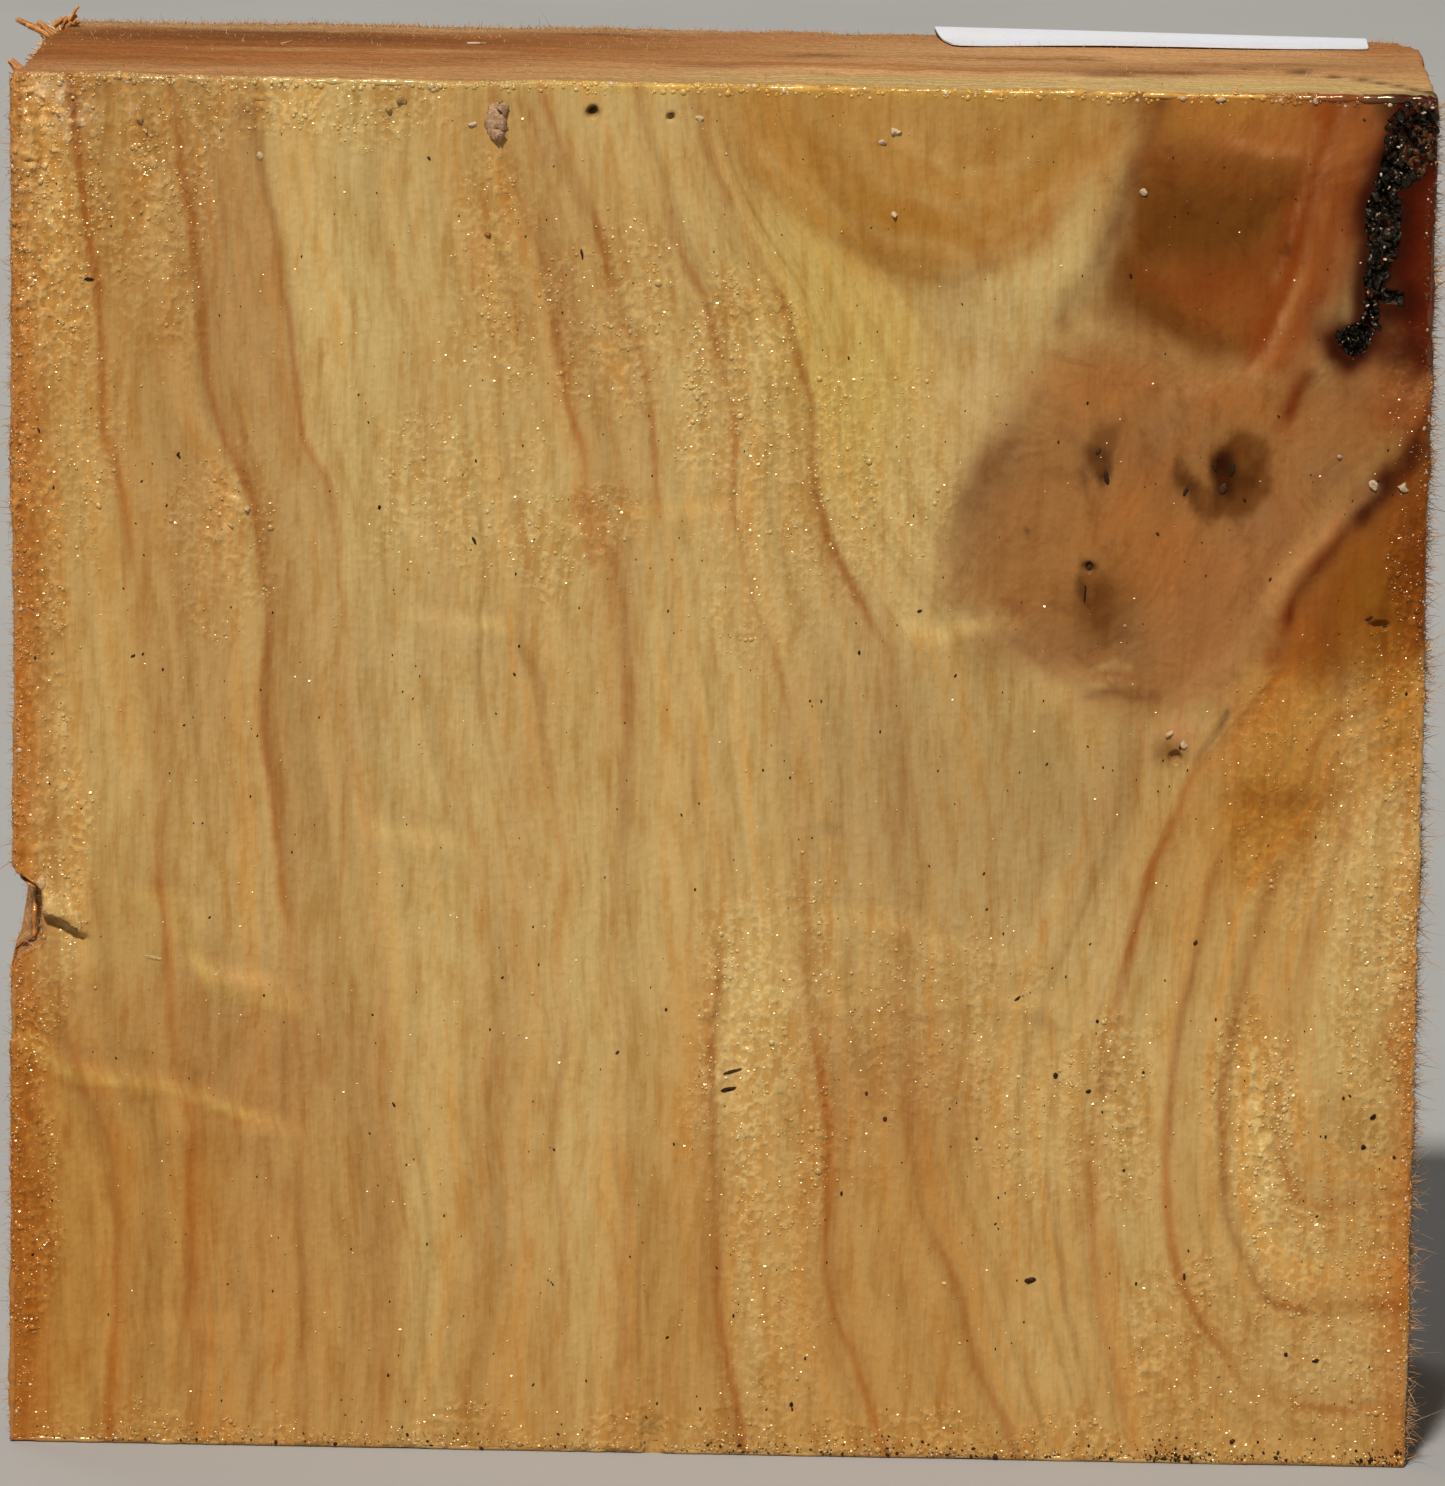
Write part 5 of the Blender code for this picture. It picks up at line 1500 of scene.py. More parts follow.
def model_block():
    """The block: a fine box, worn, waxed, torn and hollowed."""
    columns, rows, depths = (places_between(marks) for marks in (COLUMN_STEPS, ROW_STEPS, DEPTH_STEPS))
    made = unit_box(len(columns) - 1, len(rows) - 1, len(depths) - 1)
    made.name = made.data.name = "Waxed_block"
    unit = read_places(made) * MM
    across = np.round((unit[:, 0] + 0.5) * (len(columns) - 1)).astype(int)
    back = np.round(unit[:, 1] * (len(depths) - 1)).astype(int)
    up = np.round((unit[:, 2] + 0.5) * (len(rows) - 1)).astype(int)
    write_places(made, np.column_stack((columns[across], depths[back], rows[up])))
    subdivide_where(made, is_detailed)
    subdivide_where(made, lambda x, z: near_cuts(x, z, 0.5))
    plain = read_places(made)
    spared = (plain[:, 1] < FRONT + 2.0) | ((plain[:, 2] > HEIGHT - 0.5) & (plain[:, 1] < BACK - 0.5))
    write_places(made, shaped(plain))
    lighten(made, spared, BLOCK_TRIANGLES)
    only(made)
    bpy.ops.object.shade_smooth_by_angle(angle=math.radians(50))
    paint_block(made)
    return finished(made, block_material(), "waxed_wood", "blank")


def paint_block(made):
    """Keep the colours, masks and grain of the block on its points, for its material."""
    p = read_places(made)
    figure, strengths = ring_fields(p)
    ragged = lumpy(p, 1.8, 71)
    front = ease(p[:, 1] + 0.6 * ragged, FRONT + 2.2, FRONT + 1.0)
    in_burl = depth_inside(p[:, 0], p[:, 2], BURL)
    calm = 1.0 - 0.75 * ease(in_burl, -1.0, 2.0)
    rough = pebbliness(p[:, 0], p[:, 2]) * calm * front
    bark = ease(depth_inside(p[:, 0], p[:, 2], POCKET), -0.2, 0.3) * ease(p[:, 1], FRONT + 0.3, FRONT + 1.0)
    bark *= p[:, 1] < FRONT + 8.0
    no_rings = ease(in_burl, -3.0, 1.0) * front
    upper_right = ease(p[:, 0], 16.0, 30.0) * ease(p[:, 2], 118.0, 132.0) * front
    above_line = ease(p[:, 0] - 0.85 * (p[:, 2] - 95.0), 66.0, 50.0)
    strengths *= (1.0 - np.clip(no_rings + upper_right * np.clip(above_line, 0.0, 1.0), 0.0, 1.0))[:, None]
    strengths *= (1.0 - ease(p[:, 2], HEIGHT - 0.8, HEIGHT - 0.2) * (1.0 - front))[:, None]
    keep_numbers(made, "figure", "FLOAT_VECTOR", figure)
    keep_numbers(made, "strengths", "FLOAT_VECTOR", strengths)
    swirl = np.zeros(len(p))
    for outline, strength in ((AMBER, 0.3), (BURL, 0.85), (FIGURED, 0.75)):
        swirl = np.maximum(swirl, strength * ease(depth_inside(p[:, 0], p[:, 2], outline), -5.0, 3.0) * front)
    on_top = ease(p[:, 2], HEIGHT - 1.2, HEIGHT - 0.6) * (1.0 - front)
    on_sides = ease(np.abs(p[:, 0]), RIGHT - 1.2, RIGHT - 0.6) * (1.0 - front)
    contrast = (1.0 - 0.6 * swirl) * (1.0 - 0.7 * np.maximum(on_top, on_sides))
    dull = 0.3 + 0.09 * lumpy(p, 11.0, 72) + 0.04 * lumpy(p, 4.0, 74) - 0.12 * rough
    keep_numbers(made, "fibres", "FLOAT_VECTOR", np.column_stack((contrast, swirl, dull)))
    wander = 0.5 + 0.3 * lumpy(p, (24.0, 24.0, 45.0), 75) + 0.08 * lumpy(p, (9.0, 9.0, 17.0), 76)
    gaps = lumpy(p, (5.0, 5.0, 14.0), 77) + 0.4 * lumpy(p, (2.5, 2.5, 6.0), 78)
    broken = ease(gaps, -0.6, 0.5) * 0.85 + 0.15
    patchy = ease(lumpy(p, 17.0, 79), -0.3, 0.4)
    keep_numbers(made, "waves", "FLOAT_VECTOR", np.column_stack((wander, broken, patchy)))
    bent = np.column_stack((p[:, 0] - 0.5 * p[:, 2], p[:, 1], p[:, 2] + 0.5 * p[:, 0]))
    for height, size in ((7.0, 15.0), (2.4, 6.0)):
        bent += height * np.column_stack([lumpy(p, size, seed) for seed in (64, 65, 66)])
    keep_numbers(made, "bent", "FLOAT_VECTOR", bent)
    keep_numbers(made, "tone", "FLOAT_COLOR", wood_tone(p))
    keep_numbers(made, "masks", "FLOAT_VECTOR", np.column_stack((rough, front, bark)))


SURFACE = {}


def landing(origins, directions):
    """Where rays from outside meet the block: which rays do, and the places and normals, in millimetres."""
    if "tree" not in SURFACE:
        block = bpy.data.objects["Waxed_block"]
        SURFACE["tree"] = BVHTree.FromObject(block, bpy.context.evaluated_depsgraph_get())
    hits, places, normals = [], [], []
    for i, (origin, direction) in enumerate(zip(origins * MM, directions)):
        place, normal, _, _ = SURFACE["tree"].ray_cast(Vector(origin), Vector(direction), RAY_REACH)
        if place is not None:
            hits.append(i)
            places.append(place)
            normals.append(normal)
    return np.array(hits), np.array(places) / MM, np.array(normals)


def facing(count, direction):
    """The same direction for many points."""
    return np.tile(np.array(direction, float), (count, 1))


def onto_face(x, z):
    """Where rays from in front of the face meet the block at (x, z), as landing says it."""
    origins = np.column_stack((x, np.full(len(x), FRONT - RAY_START), z))
    return landing(origins, facing(len(x), (0, 1, 0)))


def bead_template():
    """A low dome of wax of unit radius, flat and sunk below."""
    bpy.ops.mesh.primitive_uv_sphere_add(segments=6, ring_count=3, radius=1.0)
    places, triangles = take_template(bpy.context.object)
    places[:, 2] = np.where(places[:, 2] < 0.0, places[:, 2] * 0.4, places[:, 2])
    return places, triangles


def crumb_template(steps=2):
    """A crumb: a ball of unit radius with a few faces."""
    bpy.ops.mesh.primitive_ico_sphere_add(subdivisions=steps, radius=1.0)
    return take_template(bpy.context.object)


def hair_template(sides=3, blunt=0.0):
    """A tapering fibre of unit length along z, whose foot is at the origin; it may end bluntly."""
    bpy.ops.mesh.primitive_cone_add(vertices=sides, radius1=1.0, radius2=0.0, depth=1.0, location=(0, 0, 0.5))
    made = bpy.context.object
    bpy.ops.object.transform_apply(location=True, rotation=True, scale=True)
    bpy.ops.object.mode_set(mode="EDIT")
    for height in (0.3, 0.6, 0.85) + ((0.96,) if blunt else ()):
        bpy.ops.mesh.select_all(action="SELECT")
        bpy.ops.mesh.bisect(plane_co=(0, 0, height), plane_no=(0, 0, 1))
    bpy.ops.object.mode_set(mode="OBJECT")
    places, triangles = take_template(made)
    width = np.maximum(np.sqrt(np.clip(1.0 - places[:, 2], 0.0, 1.0)), blunt)
    far = np.maximum(np.hypot(places[:, 0], places[:, 1]), 1e-9)
    is_ring = places[:, 2] < 0.99
    places[is_ring, :2] *= (width[is_ring] / far[is_ring])[:, None]
    return places, triangles


def model_beads(name, places, normals, radii, tones, rng):
    """Domes of wax on the block's surface."""
    count = len(places)
    sizes = np.column_stack(
        (radii, radii * rng.uniform(0.75, 1.3, count), radii * rng.uniform(0.2, 0.38, count))
    )
    axes = upright_axes(normals, rng.uniform(0, 6.3, count))
    made = copies(name, bead_template(), places, axes, sizes, uneven=0.3, lump=0.4)
    colour_copies(made, tones)
    return made


def model_face_beads(wax):
    """Beads of wax over the face: many in the rough zones, and a few everywhere."""
    rng = np.random.default_rng(11)
    tries = wax.face_beads * 12
    x, z = rng.uniform(LEFT + 0.6, RIGHT - 0.6, tries), rng.uniform(0.6, HEIGHT - 0.6, tries)
    rough = pebbliness(x, z)
    clumped = ease(lumpy(on_plane(x, z), 3.2, 73), -0.4, 0.6)
    outside = (depth_inside(x, z, POCKET) < -0.5) & (cut_depth(x, z) < 0.05) & off_resin(x, z)
    calm = 1.0 - 0.9 * ease(depth_inside(x, z, BURL), -2.0, 1.0)
    chance = (0.008 + rough**1.2 * clumped) * calm
    kept = np.flatnonzero((rng.uniform(0, 1, tries) < chance) & outside)[: wax.face_beads]
    x, z = x[kept], z[kept]
    hits, places, normals = onto_face(x, z)
    radii = wax.bead_radius / MM * rng.lognormal(0.0, 0.35, len(hits)) * (0.75 + 0.45 * rough[kept][hits])
    tones = wood_tone(places) * rng.uniform(0.98, 1.2, (len(hits), 1)) * (1.0, 1.0, 0.97)
    made = model_beads("Wax_beads_face", places, normals, radii, tones, rng)
    return finished(made, tinted_material("Wax beads", 0.18, 0.9, 0.6, 0.94, 1.1, 0.03), "waxed_wood")


def model_glints(wax):
    """Small flat grains of wax whose faces look outwards and up, so that some catch the light."""
    rng = np.random.default_rng(18)
    tries = wax.glints * 6
    x, z = rng.uniform(LEFT + 0.6, RIGHT - 0.6, tries), rng.uniform(0.8, HEIGHT - 0.8, tries)
    near_edge = np.minimum(np.minimum(x - LEFT, RIGHT - x), z) < 4.0
    wanted = (0.02 + pebbliness(x, z) ** 1.3 + 0.3 * near_edge) * off_resin(x, z)
    kept = np.flatnonzero((rng.uniform(0, 1, tries) < wanted) & (cut_depth(x, z) < 0.3))[: wax.glints]
    x, z = x[kept], z[kept]
    hits, places, _ = onto_face(x, z)
    tilt = np.radians(rng.normal(*GRAIN_TILT, len(hits)))
    turn = np.radians(rng.normal(*GRAIN_TURN, len(hits)))
    normals = np.column_stack((np.sin(turn) * np.cos(tilt), -np.cos(turn) * np.cos(tilt), np.sin(tilt)))
    radii = GRAIN_RADIUS * rng.lognormal(0.0, 0.4, len(hits))
    sizes = np.column_stack((radii, radii * rng.uniform(0.7, 1.4, len(hits)), radii * 0.45))
    template = bead_template()
    template[0][:, 2] = np.minimum(template[0][:, 2], 0.55)
    axes = upright_axes(normals, rng.uniform(0, 6.3, len(hits)))
    made = copies("Wax_grains", template, places, axes, sizes, smooth=False)
    # The grains are made a quarter lighter than the wood under them so that they read as glints: a painted
    # highlight
    colour_copies(made, wood_tone(places) * 1.25)
    return finished(made, tinted_material("Wax grains", 0.28, 1.0, 0.6, 0.95, 1.1, 0.0), "waxed_wood")


RIM_STEP = 0.42  # length of a face along the roll of wax
GRAIN_RADIUS = 0.088  # of a flat grain of wax
# Golden tint of the wax along the edges: partly the wax's own gold, partly a painted glow of light shining
# through it
WAX_GOLD_AND_GLOW = np.array((1.3, 1.0, 0.5))  # what the palest wax is multiplied by where it is golden

# Degrees that the flat grains lean up and turn to the right, towards the light, and the spread of each
GRAIN_TILT, GRAIN_TURN = (29.5, 6.0), (-4.0, 5.0)

# Front edges: start, end, direction out of the side face, share of the beads, size, how golden
FRONT_EDGES = (
    ((LEFT, FRONT, HEIGHT), (RIGHT, FRONT, HEIGHT), (0, 0, 1), 0.28, 1.1, 0.8),
    ((LEFT, FRONT, 0.0), (LEFT, FRONT, HEIGHT), (-1, 0, 0), 0.24, 0.95, 0.25),
    ((RIGHT, FRONT, 0.0), (RIGHT, FRONT, HEIGHT), (1, 0, 0), 0.24, 0.9, 0.35),
    ((LEFT, FRONT, 0.0), (RIGHT, FRONT, 0.0), (0, 0, -1), 0.18, 0.9, 0.1),
)


def model_edge_beads(wax):
    """Beads of wax along the four edges of the face."""
    rng = np.random.default_rng(12)
    origins, directions, scale, gold_and_glow_amount = [], [], [], []
    for start, end, out, share, size, gold_and_glow in FRONT_EDGES:
        count = int(wax.edge_beads * share)
        along = rng.uniform(0.002, 0.998, (count, 1))
        core = np.array(start) + (np.array(end) - np.array(start)) * along
        turn = np.radians(rng.uniform(5.0, 78.0, (count, 1)))
        if out[2] < 0:
            turn *= 0.6
        outwards = np.array((0.0, -1.0, 0.0)) * np.cos(turn) + np.array(out, float) * np.sin(turn)
        inset = rng.uniform(0.3, 1.6, (count, 1)) * (np.cos(turn) > 0.75)
        inset = np.maximum(inset, 0.25)
        core = core - np.array(out, float) * inset + np.array((0.0, 0.5, 0.0))
        origins.append(core + outwards * 5.0)
        directions.append(-outwards)
        scale.append(np.full(count, size))
        gold_and_glow_amount.append(np.full(count, gold_and_glow))
    origins, directions = np.concatenate(origins), np.concatenate(directions)
    hits, places, normals = landing(origins, directions)
    allowed = (cut_depth(places[:, 0], places[:, 2]) < 0.05) & (places[:, 2] > 0.5)
    hits, places, normals = hits[allowed], places[allowed], normals[allowed]
    scale, gold_and_glow_amount = np.concatenate(scale)[hits], np.concatenate(gold_and_glow_amount)[hits]
    radii = wax.bead_radius / MM * 1.1 * scale * rng.lognormal(0.0, 0.35, len(hits))
    at_face = places.copy()
    at_face[:, 1] = FRONT
    tones = face_tone(at_face) * rng.uniform(0.85, 1.25, (len(hits), 1))
    # Pale gold along the upper edge: the wax's own gold and a painted glow of light shining through it
    gold_and_glow = gold_and_glow_amount * (places[:, 0] < 70.0) * (places[:, 0] > -25.0) * rng.uniform(0.3, 1.0, len(hits))
    tones += (PALETTE["pale"] * WAX_GOLD_AND_GLOW - tones) * gold_and_glow[:, None]
    lower_right = (places[:, 0] > 91.0) & (places[:, 2] < 140.0)
    tones *= np.where(lower_right, 1.0, 0.0)[:, None] * (0.16, 0.06, -0.12) + 1.0
    whitish = (rng.uniform(0, 1, len(hits)) < 0.12) * rng.uniform(0.3, 0.9, len(hits))
    tones += (PALETTE["crystal"] - tones) * whitish[:, None]
    made = model_beads("Wax_beads_edges", places, normals, radii, tones, rng)
    return finished(made, tinted_material("Edge wax", 0.18, 1.0, 0.6, 0.9, 1.12, 0.03), "waxed_wood")


def model_rim(wax):
    """The uneven roll of wax along each edge of the face."""
    parts = []
    for k, (start, end, out, _, size, gold_and_glow) in enumerate(FRONT_EDGES):
        start, end, out = np.array(start), np.array(end), np.array(out, float)
        length = np.linalg.norm(end - start)
        bpy.ops.mesh.primitive_cylinder_add(vertices=8, radius=1.0, depth=1.0, end_fill_type="NGON")
        roll = bpy.context.object
        bpy.ops.object.mode_set(mode="EDIT")
        cut_along(roll, 2, int(length / RIM_STEP))
        unit = read_places(roll) * MM
        axis = start + (end - start) * (unit[:, 2:] * 0.997 + 0.5)
        axis[:, 0] += side_hollow(axis) - left_swell(axis) * (axis[:, 0] < LEFT + 0.1)
        around = np.array((0.0, -1.0, 0.0)) * unit[:, :1] + out * unit[:, 1:2]
        swell = 0.5 + 0.42 * lumpy(axis, 2.1, 81 + k) + 0.35 * lumpy(axis, 0.95, 85 + k)
        patchy = ease(lumpy(axis, 11.0, 89 + k), -0.5, 0.3)
        radius = wax.rim_radius / MM * size * (0.3 + swell * (0.35 + 0.65 * patchy))
        sunk = np.array((0.0, 0.42, 0.0)) - out * 0.42
        places = axis + sunk + around * np.maximum(radius, 0.1)[:, None]
        places += around * (0.1 * lumpy(places, 0.7, 93 + k))[:, None]
        places[:, 1] += cut_depth(axis[:, 0], axis[:, 2]) * 1.02
        places[:, 2] = np.maximum(places[:, 2], 0.0)
        write_places(roll, places)
        at_face = axis.copy()
        at_face[:, 1] = FRONT
        tones = face_tone(at_face)
        # Pale gold along the roll: the wax's own gold and a painted glow of light shining through it
        gold_and_glow_amount = gold_and_glow * ease(lumpy(axis, 6.0, 97 + k), -0.6, 0.4)
        gold_and_glow_amount = gold_and_glow_amount * ease(axis[:, 0], -40.0, 0.0) * (axis[:, 0] < 72.0)
        tones = tones + (PALETTE["pale"] * WAX_GOLD_AND_GLOW - tones) * gold_and_glow_amount[:, None]
        keep_numbers(roll, "tone", "FLOAT_COLOR", tones)
        for face in roll.data.polygons:
            face.use_smooth = True
        parts.append(roll)
    made = joined("Wax_rim", parts)
    face_outwards(made)
    return finished(made, tinted_material("Rim wax", 0.2, 1.0, 0.7, 0.88, 1.15, 0.05), "waxed_wood")


# Lumps of wax and crumbs stuck to the face: x, z, width, height, proud, lean, colour and how much of it
LUMPS = (
    (-30.6, 182.0, 4.0, 6.2, 0.9, 0, "mauve", 0.7),
    (-29.9, 183.4, 2.2, 2.4, 1.5, 0, "mauve", 0.7),
    (-30.4, 180.0, 2.4, 2.0, 1.5, 0, "mauve", 0.8),
    (-33.8, 181.2, 2.0, 0.7, 0.4, 15, "crystal", 0.9),
    (22.6, 181.2, 2.0, 1.3, 0.8, 0, "crystal", 0.8),
    (21.0, 179.7, 1.5, 0.9, 0.6, 0, "crystal", 0.75),
    (22.7, 170.0, 1.3, 1.1, 0.6, 0, "crystal", 0.75),
    (-3.5, 182.5, 1.7, 1.2, 0.4, -20, "crystal", 0.5),
    (56.0, 173.5, 1.3, 1.2, 0.6, 0, "crystal", 0.8),
    (87.6, 134.8, 1.4, 1.7, 0.7, 0, "crystal", 0.75),
    (91.5, 134.5, 1.7, 1.5, 0.7, 0, "crystal", 0.75),
    (83.0, 138.5, 0.9, 0.9, 0.5, 0, "crystal", 0.6),
    (-78.2, 181.0, 1.2, 1.4, 0.5, 0, "plum", 0.4),
    (-77.5, 179.4, 0.8, 0.7, 0.6, 0, "crystal", 0.9),
    (-63.5, 128.8, 1.3, 1.1, 0.6, 0, "crystal", 0.35),
    (-65.8, 126.6, 1.0, 0.9, 0.5, 0, "pale", 0.5),
    (-91.0, 77.4, 1.6, 2.4, 0.4, 0, "crystal", 0.3),
    (-75.8, 67.3, 3.2, 0.8, 0.22, -6, "pale", 0.4),
    (63.0, 99.0, 1.6, 1.4, 0.4, 0, "crystal", 0.5),
    (60.9, 100.4, 1.8, 1.0, 0.4, 40, "crystal", 0.4),
    (78.6, 186.2, 0.9, 1.1, 0.45, 0, "crystal", 0.6),
    (66.0, 186.1, 2.0, 0.9, 0.5, 0, "crystal", 0.6),
    (61.0, 186.2, 1.1, 0.7, 0.45, 0, "crystal", 0.6),
    (-31.6, 166.5, 1.1, 0.8, 0.5, 0, "brown", 0.8),
    (-43.5, 184.3, 1.6, 1.4, 0.7, 0, "brown", 0.5),
    (-45.0, 183.0, 1.2, 1.2, 0.6, 0, "brown", 0.5),
    (-62.2, 176.5, 1.4, 1.6, 0.4, 0, "crystal", 0.4),
    (41.8, 64.4, 0.5, 0.8, 0.4, 0, "crystal", 0.6),
)


def model_lumps():
    """Lumps of wax stuck to the face, each with its own colour."""
    rng = np.random.default_rng(13)
    bpy.ops.mesh.primitive_ico_sphere_add(subdivisions=3, radius=1.0)
    template = take_template(bpy.context.object)
    wide = np.array([(x, z, w, h, proud, lean) for x, z, w, h, proud, lean, _, _ in LUMPS])
    hits, places, _ = onto_face(wide[:, 0], wide[:, 1])
    if len(hits) != len(LUMPS):
        raise RuntimeError("a lump of wax misses the face")
    lean = np.radians(wide[:, 5])
    turned = np.stack(
        (
            np.column_stack((np.cos(lean), 0 * lean, np.sin(lean))),
            np.column_stack((-np.sin(lean), 0 * lean, np.cos(lean))),
            facing(len(wide), (0, -1, 0)),
        ),
        axis=1,
    )
    sizes = np.column_stack((wide[:, 2] * 0.39, wide[:, 3] * 0.39, wide[:, 4] * 0.75))
    made = copies("Wax_lumps", template, places, turned, sizes, uneven=0.65, lump=0.6)
    each = len(made.data.vertices) // len(LUMPS)
    tones = wood_tone(places)
    for i, (*_, colour, amount) in enumerate(LUMPS):
        tones[i] += (PALETTE[colour] - tones[i]) * amount
    tones = np.repeat(tones, each, axis=0) * rng.uniform(0.9, 1.1, (len(made.data.vertices), 1))
    keep_numbers(made, "tone", "FLOAT_COLOR", tones)
    return finished(made, tinted_material("Wax lumps", 0.32, 0.5, 0.5, 0.8, 1.15, 0.3), "waxed_wood")


BARK_TRIES, BARK_CRUMBS = 5200, 1300
BARK_RADIUS = (0.2, 0.75)


def model_bark():
    """Crumbs of bark in the pocket, black and glossy, with a few reddish ones and a few small pale painted
    glints.
    """
    rng = np.random.default_rng(14)
    x, z = rng.uniform(80.5, 95.0, BARK_TRIES), rng.uniform(150.5, 186.6, BARK_TRIES)
    inside = depth_inside(x, z, POCKET)
    stray = (inside > -1.2) & (z > 176.0) & (x > 88.0) & (rng.uniform(size=BARK_TRIES) < 0.35)
    kept = np.flatnonzero((inside > 0.1) | stray)[:BARK_CRUMBS]
    x, z = x[kept], z[kept]
    hits, places, normals = onto_face(x, z)
    radii = rng.lognormal(-0.92, 0.45, len(hits)) * np.where(inside[kept][hits] > 0.6, 1.1, 0.75)
    radii = np.clip(radii, *BARK_RADIUS)
    sizes = radii[:, None] * rng.uniform(0.5, 1.4, (len(hits), 3))
    # A few small crumbs coloured like pale wax stand in for glints: painted highlights
    glint_crumbs = rng.uniform(0, 1, len(hits)) < 0.08
    sizes[glint_crumbs] *= (0.25, 0.55, 0.3)
    tilted = normals + rng.normal(0.0, 0.8, (len(hits), 3))
    places[:, 1] -= rng.uniform(0.0, 0.9, len(hits)) * (inside[kept][hits] > 0.5) + 0.35 * glint_crumbs
    axes = upright_axes(tilted, rng.uniform(0, 6.3, len(hits)))
    made = copies("Bark_crumbs", crumb_template(), places, axes, sizes, uneven=0.9, lump=0.6)
    tones = np.tile(PALETTE["bark"], (len(hits), 1)) * rng.uniform(0.4, 1.2, (len(hits), 1))
    pick = rng.uniform(0, 1, len(hits))
    crust = 0.12 + 0.24 * (places[:, 2] > 178.0)
    tones[pick < crust] = PALETTE["red brown"]
    tones[pick < 0.012] = PALETTE["plum"] * 0.5
    edge = (places[:, 2] > 176.0) & (places[:, 0] > 91.5)
    tones[edge & (pick < 0.35)] = PALETTE["plum"] * 0.5
    tones[glint_crumbs] = PALETTE["crystal"]
    colour_copies(made, tones)
    return finished(made, tinted_material("Bark", 0.1, 0.6, 0.5, 0.8, 1.2, 0.3), "waxed_wood")


def model_hairs(name, origins, directions, lengths, thick, curl, tones, rng):
    """Torn fibres that stand on the block where rays meet it."""
    hits, places, normals = landing(origins, directions)
    lengths, tones = lengths[hits], tones[hits]
    leaning = normals + rng.normal(0.0, 0.55, (len(hits), 3))
    axes = upright_axes(leaning, rng.uniform(0, 6.3, len(hits)))
    width = thick * rng.uniform(0.6, 1.5, len(hits))
    sizes = np.column_stack((width, width * 0.7, lengths))
    bends = rng.normal(0.0, curl, (len(hits), 3)) * lengths[:, None]
    made = copies(name, hair_template(), places - axes[:, 2] * 0.08, axes, sizes, bends)
    co = read_places(made)
    co[:, 2] = np.maximum(co[:, 2], 0.02)
    co[:, 1] = np.minimum(co[:, 1], BACK + 1.2)
    write_places(made, co)
    colour_copies(made, tones)
    return made


def fuzz_tones(rng, count, low=0.7, high=1.2):
    """Colours of torn fibres, some whitish and some brown."""
    tones = PALETTE["fuzz"] * rng.uniform(low, high, (count, 1))
    pick = rng.uniform(0, 1, count)
    tones[pick < 0.2] = PALETTE["crystal"] * 0.9
    tones[pick > 0.8] = PALETTE["splinter"] * 0.9
    return tones


def model_fuzz(fibres):
    """Torn fibres on the right side, the left side, the top and the back edge."""
    rng = np.random.default_rng(15)
    material = tinted_material("Torn fibres", 0.75, 0.2, 0.8, 0.85, 1.15, 0.02)
    length, thick = fibres.length / MM, fibres.thickness / MM

    def stand(name, origins, way, lengths, *shades):
        """Stand fibres where rays that go one way meet the block."""
        count = len(origins)
        tones = fuzz_tones(rng, count, *shades)
        made = model_hairs(name, origins, facing(count, way), lengths, thick, 0.5, tones, rng)
        finished(made, material, "waxed_wood")

    count = fibres.right_count
    back = FRONT + 0.8 + rng.exponential(7.0, count)
    z = rng.uniform(0.5, HEIGHT - 1.0, count)
    dense = lumpy(np.column_stack((back, back * 0, z)), 4.0, 101)
    kept = (rng.uniform(0, 1, count) < 0.55 + 0.6 * dense) & (back < BACK - 0.5)
    back, z = back[kept], z[kept]
    origins = np.column_stack((np.full(len(z), RIGHT + 6.0), back, z))
    clump = 1.0 + 0.9 * np.exp(-(((z - 108.5) / 3.0) ** 2)) * (back < FRONT + 6.0)
    lengths = length * rng.lognormal(-0.1, 0.4, len(z)) * clump
    stand("Fibres_right", origins, (-1, 0, 0), lengths)
    count = fibres.left_count
    back = FRONT + 0.6 + rng.exponential(9.0, count)
    z = rng.uniform(0.5, HEIGHT - 1.0, count)
    kept = back < BACK - 0.5
    origins = np.column_stack((np.full(count, LEFT - 6.0), back, z))[kept]
    lengths = length * 0.6 * rng.lognormal(0.0, 0.4, len(origins))
    stand("Fibres_left", origins, (1, 0, 0), lengths, 0.5, 1.0)
    count = fibres.top_count
    x = rng.uniform(LEFT + 0.5, RIGHT - 0.5, count)
    by_edge = rng.uniform(0, 1, count) < 0.6
    at_edge = BACK - 0.2 - rng.exponential(1.8, count)
    y = np.where(by_edge, at_edge, rng.uniform(FRONT + 4, BACK, count))
    fuzzy = np.where(x < -10.0, 0.9, 0.35) * ease(y, -5.0, 30.0) + 0.12
    under_label = (x > 26.5) & (x < 88.5) & (y > 23.5)
    kept = (rng.uniform(0, 1, count) < fuzzy) & ~under_label & (y > FRONT + 3.0)
    origins = np.column_stack((x, y, np.full(count, HEIGHT + 6.0)))[kept]
    lengths = length * 0.3 * rng.lognormal(0.0, 0.4, len(origins))
    stand("Fibres_top", origins, (0, 0, -1), lengths, 0.7, 1.15)
    count = fibres.bottom_count
    x = rng.uniform(LEFT + 1.0, RIGHT - 1.0, count)
    origins = np.column_stack((x, np.full(count, FRONT - RAY_START), rng.uniform(0.8, 2.6, count)))
    lengths = length * 0.45 * rng.lognormal(0.0, 0.4, count)
    stand("Fibres_bottom", origins, (0, 1, 0), lengths, 0.4, 0.9)


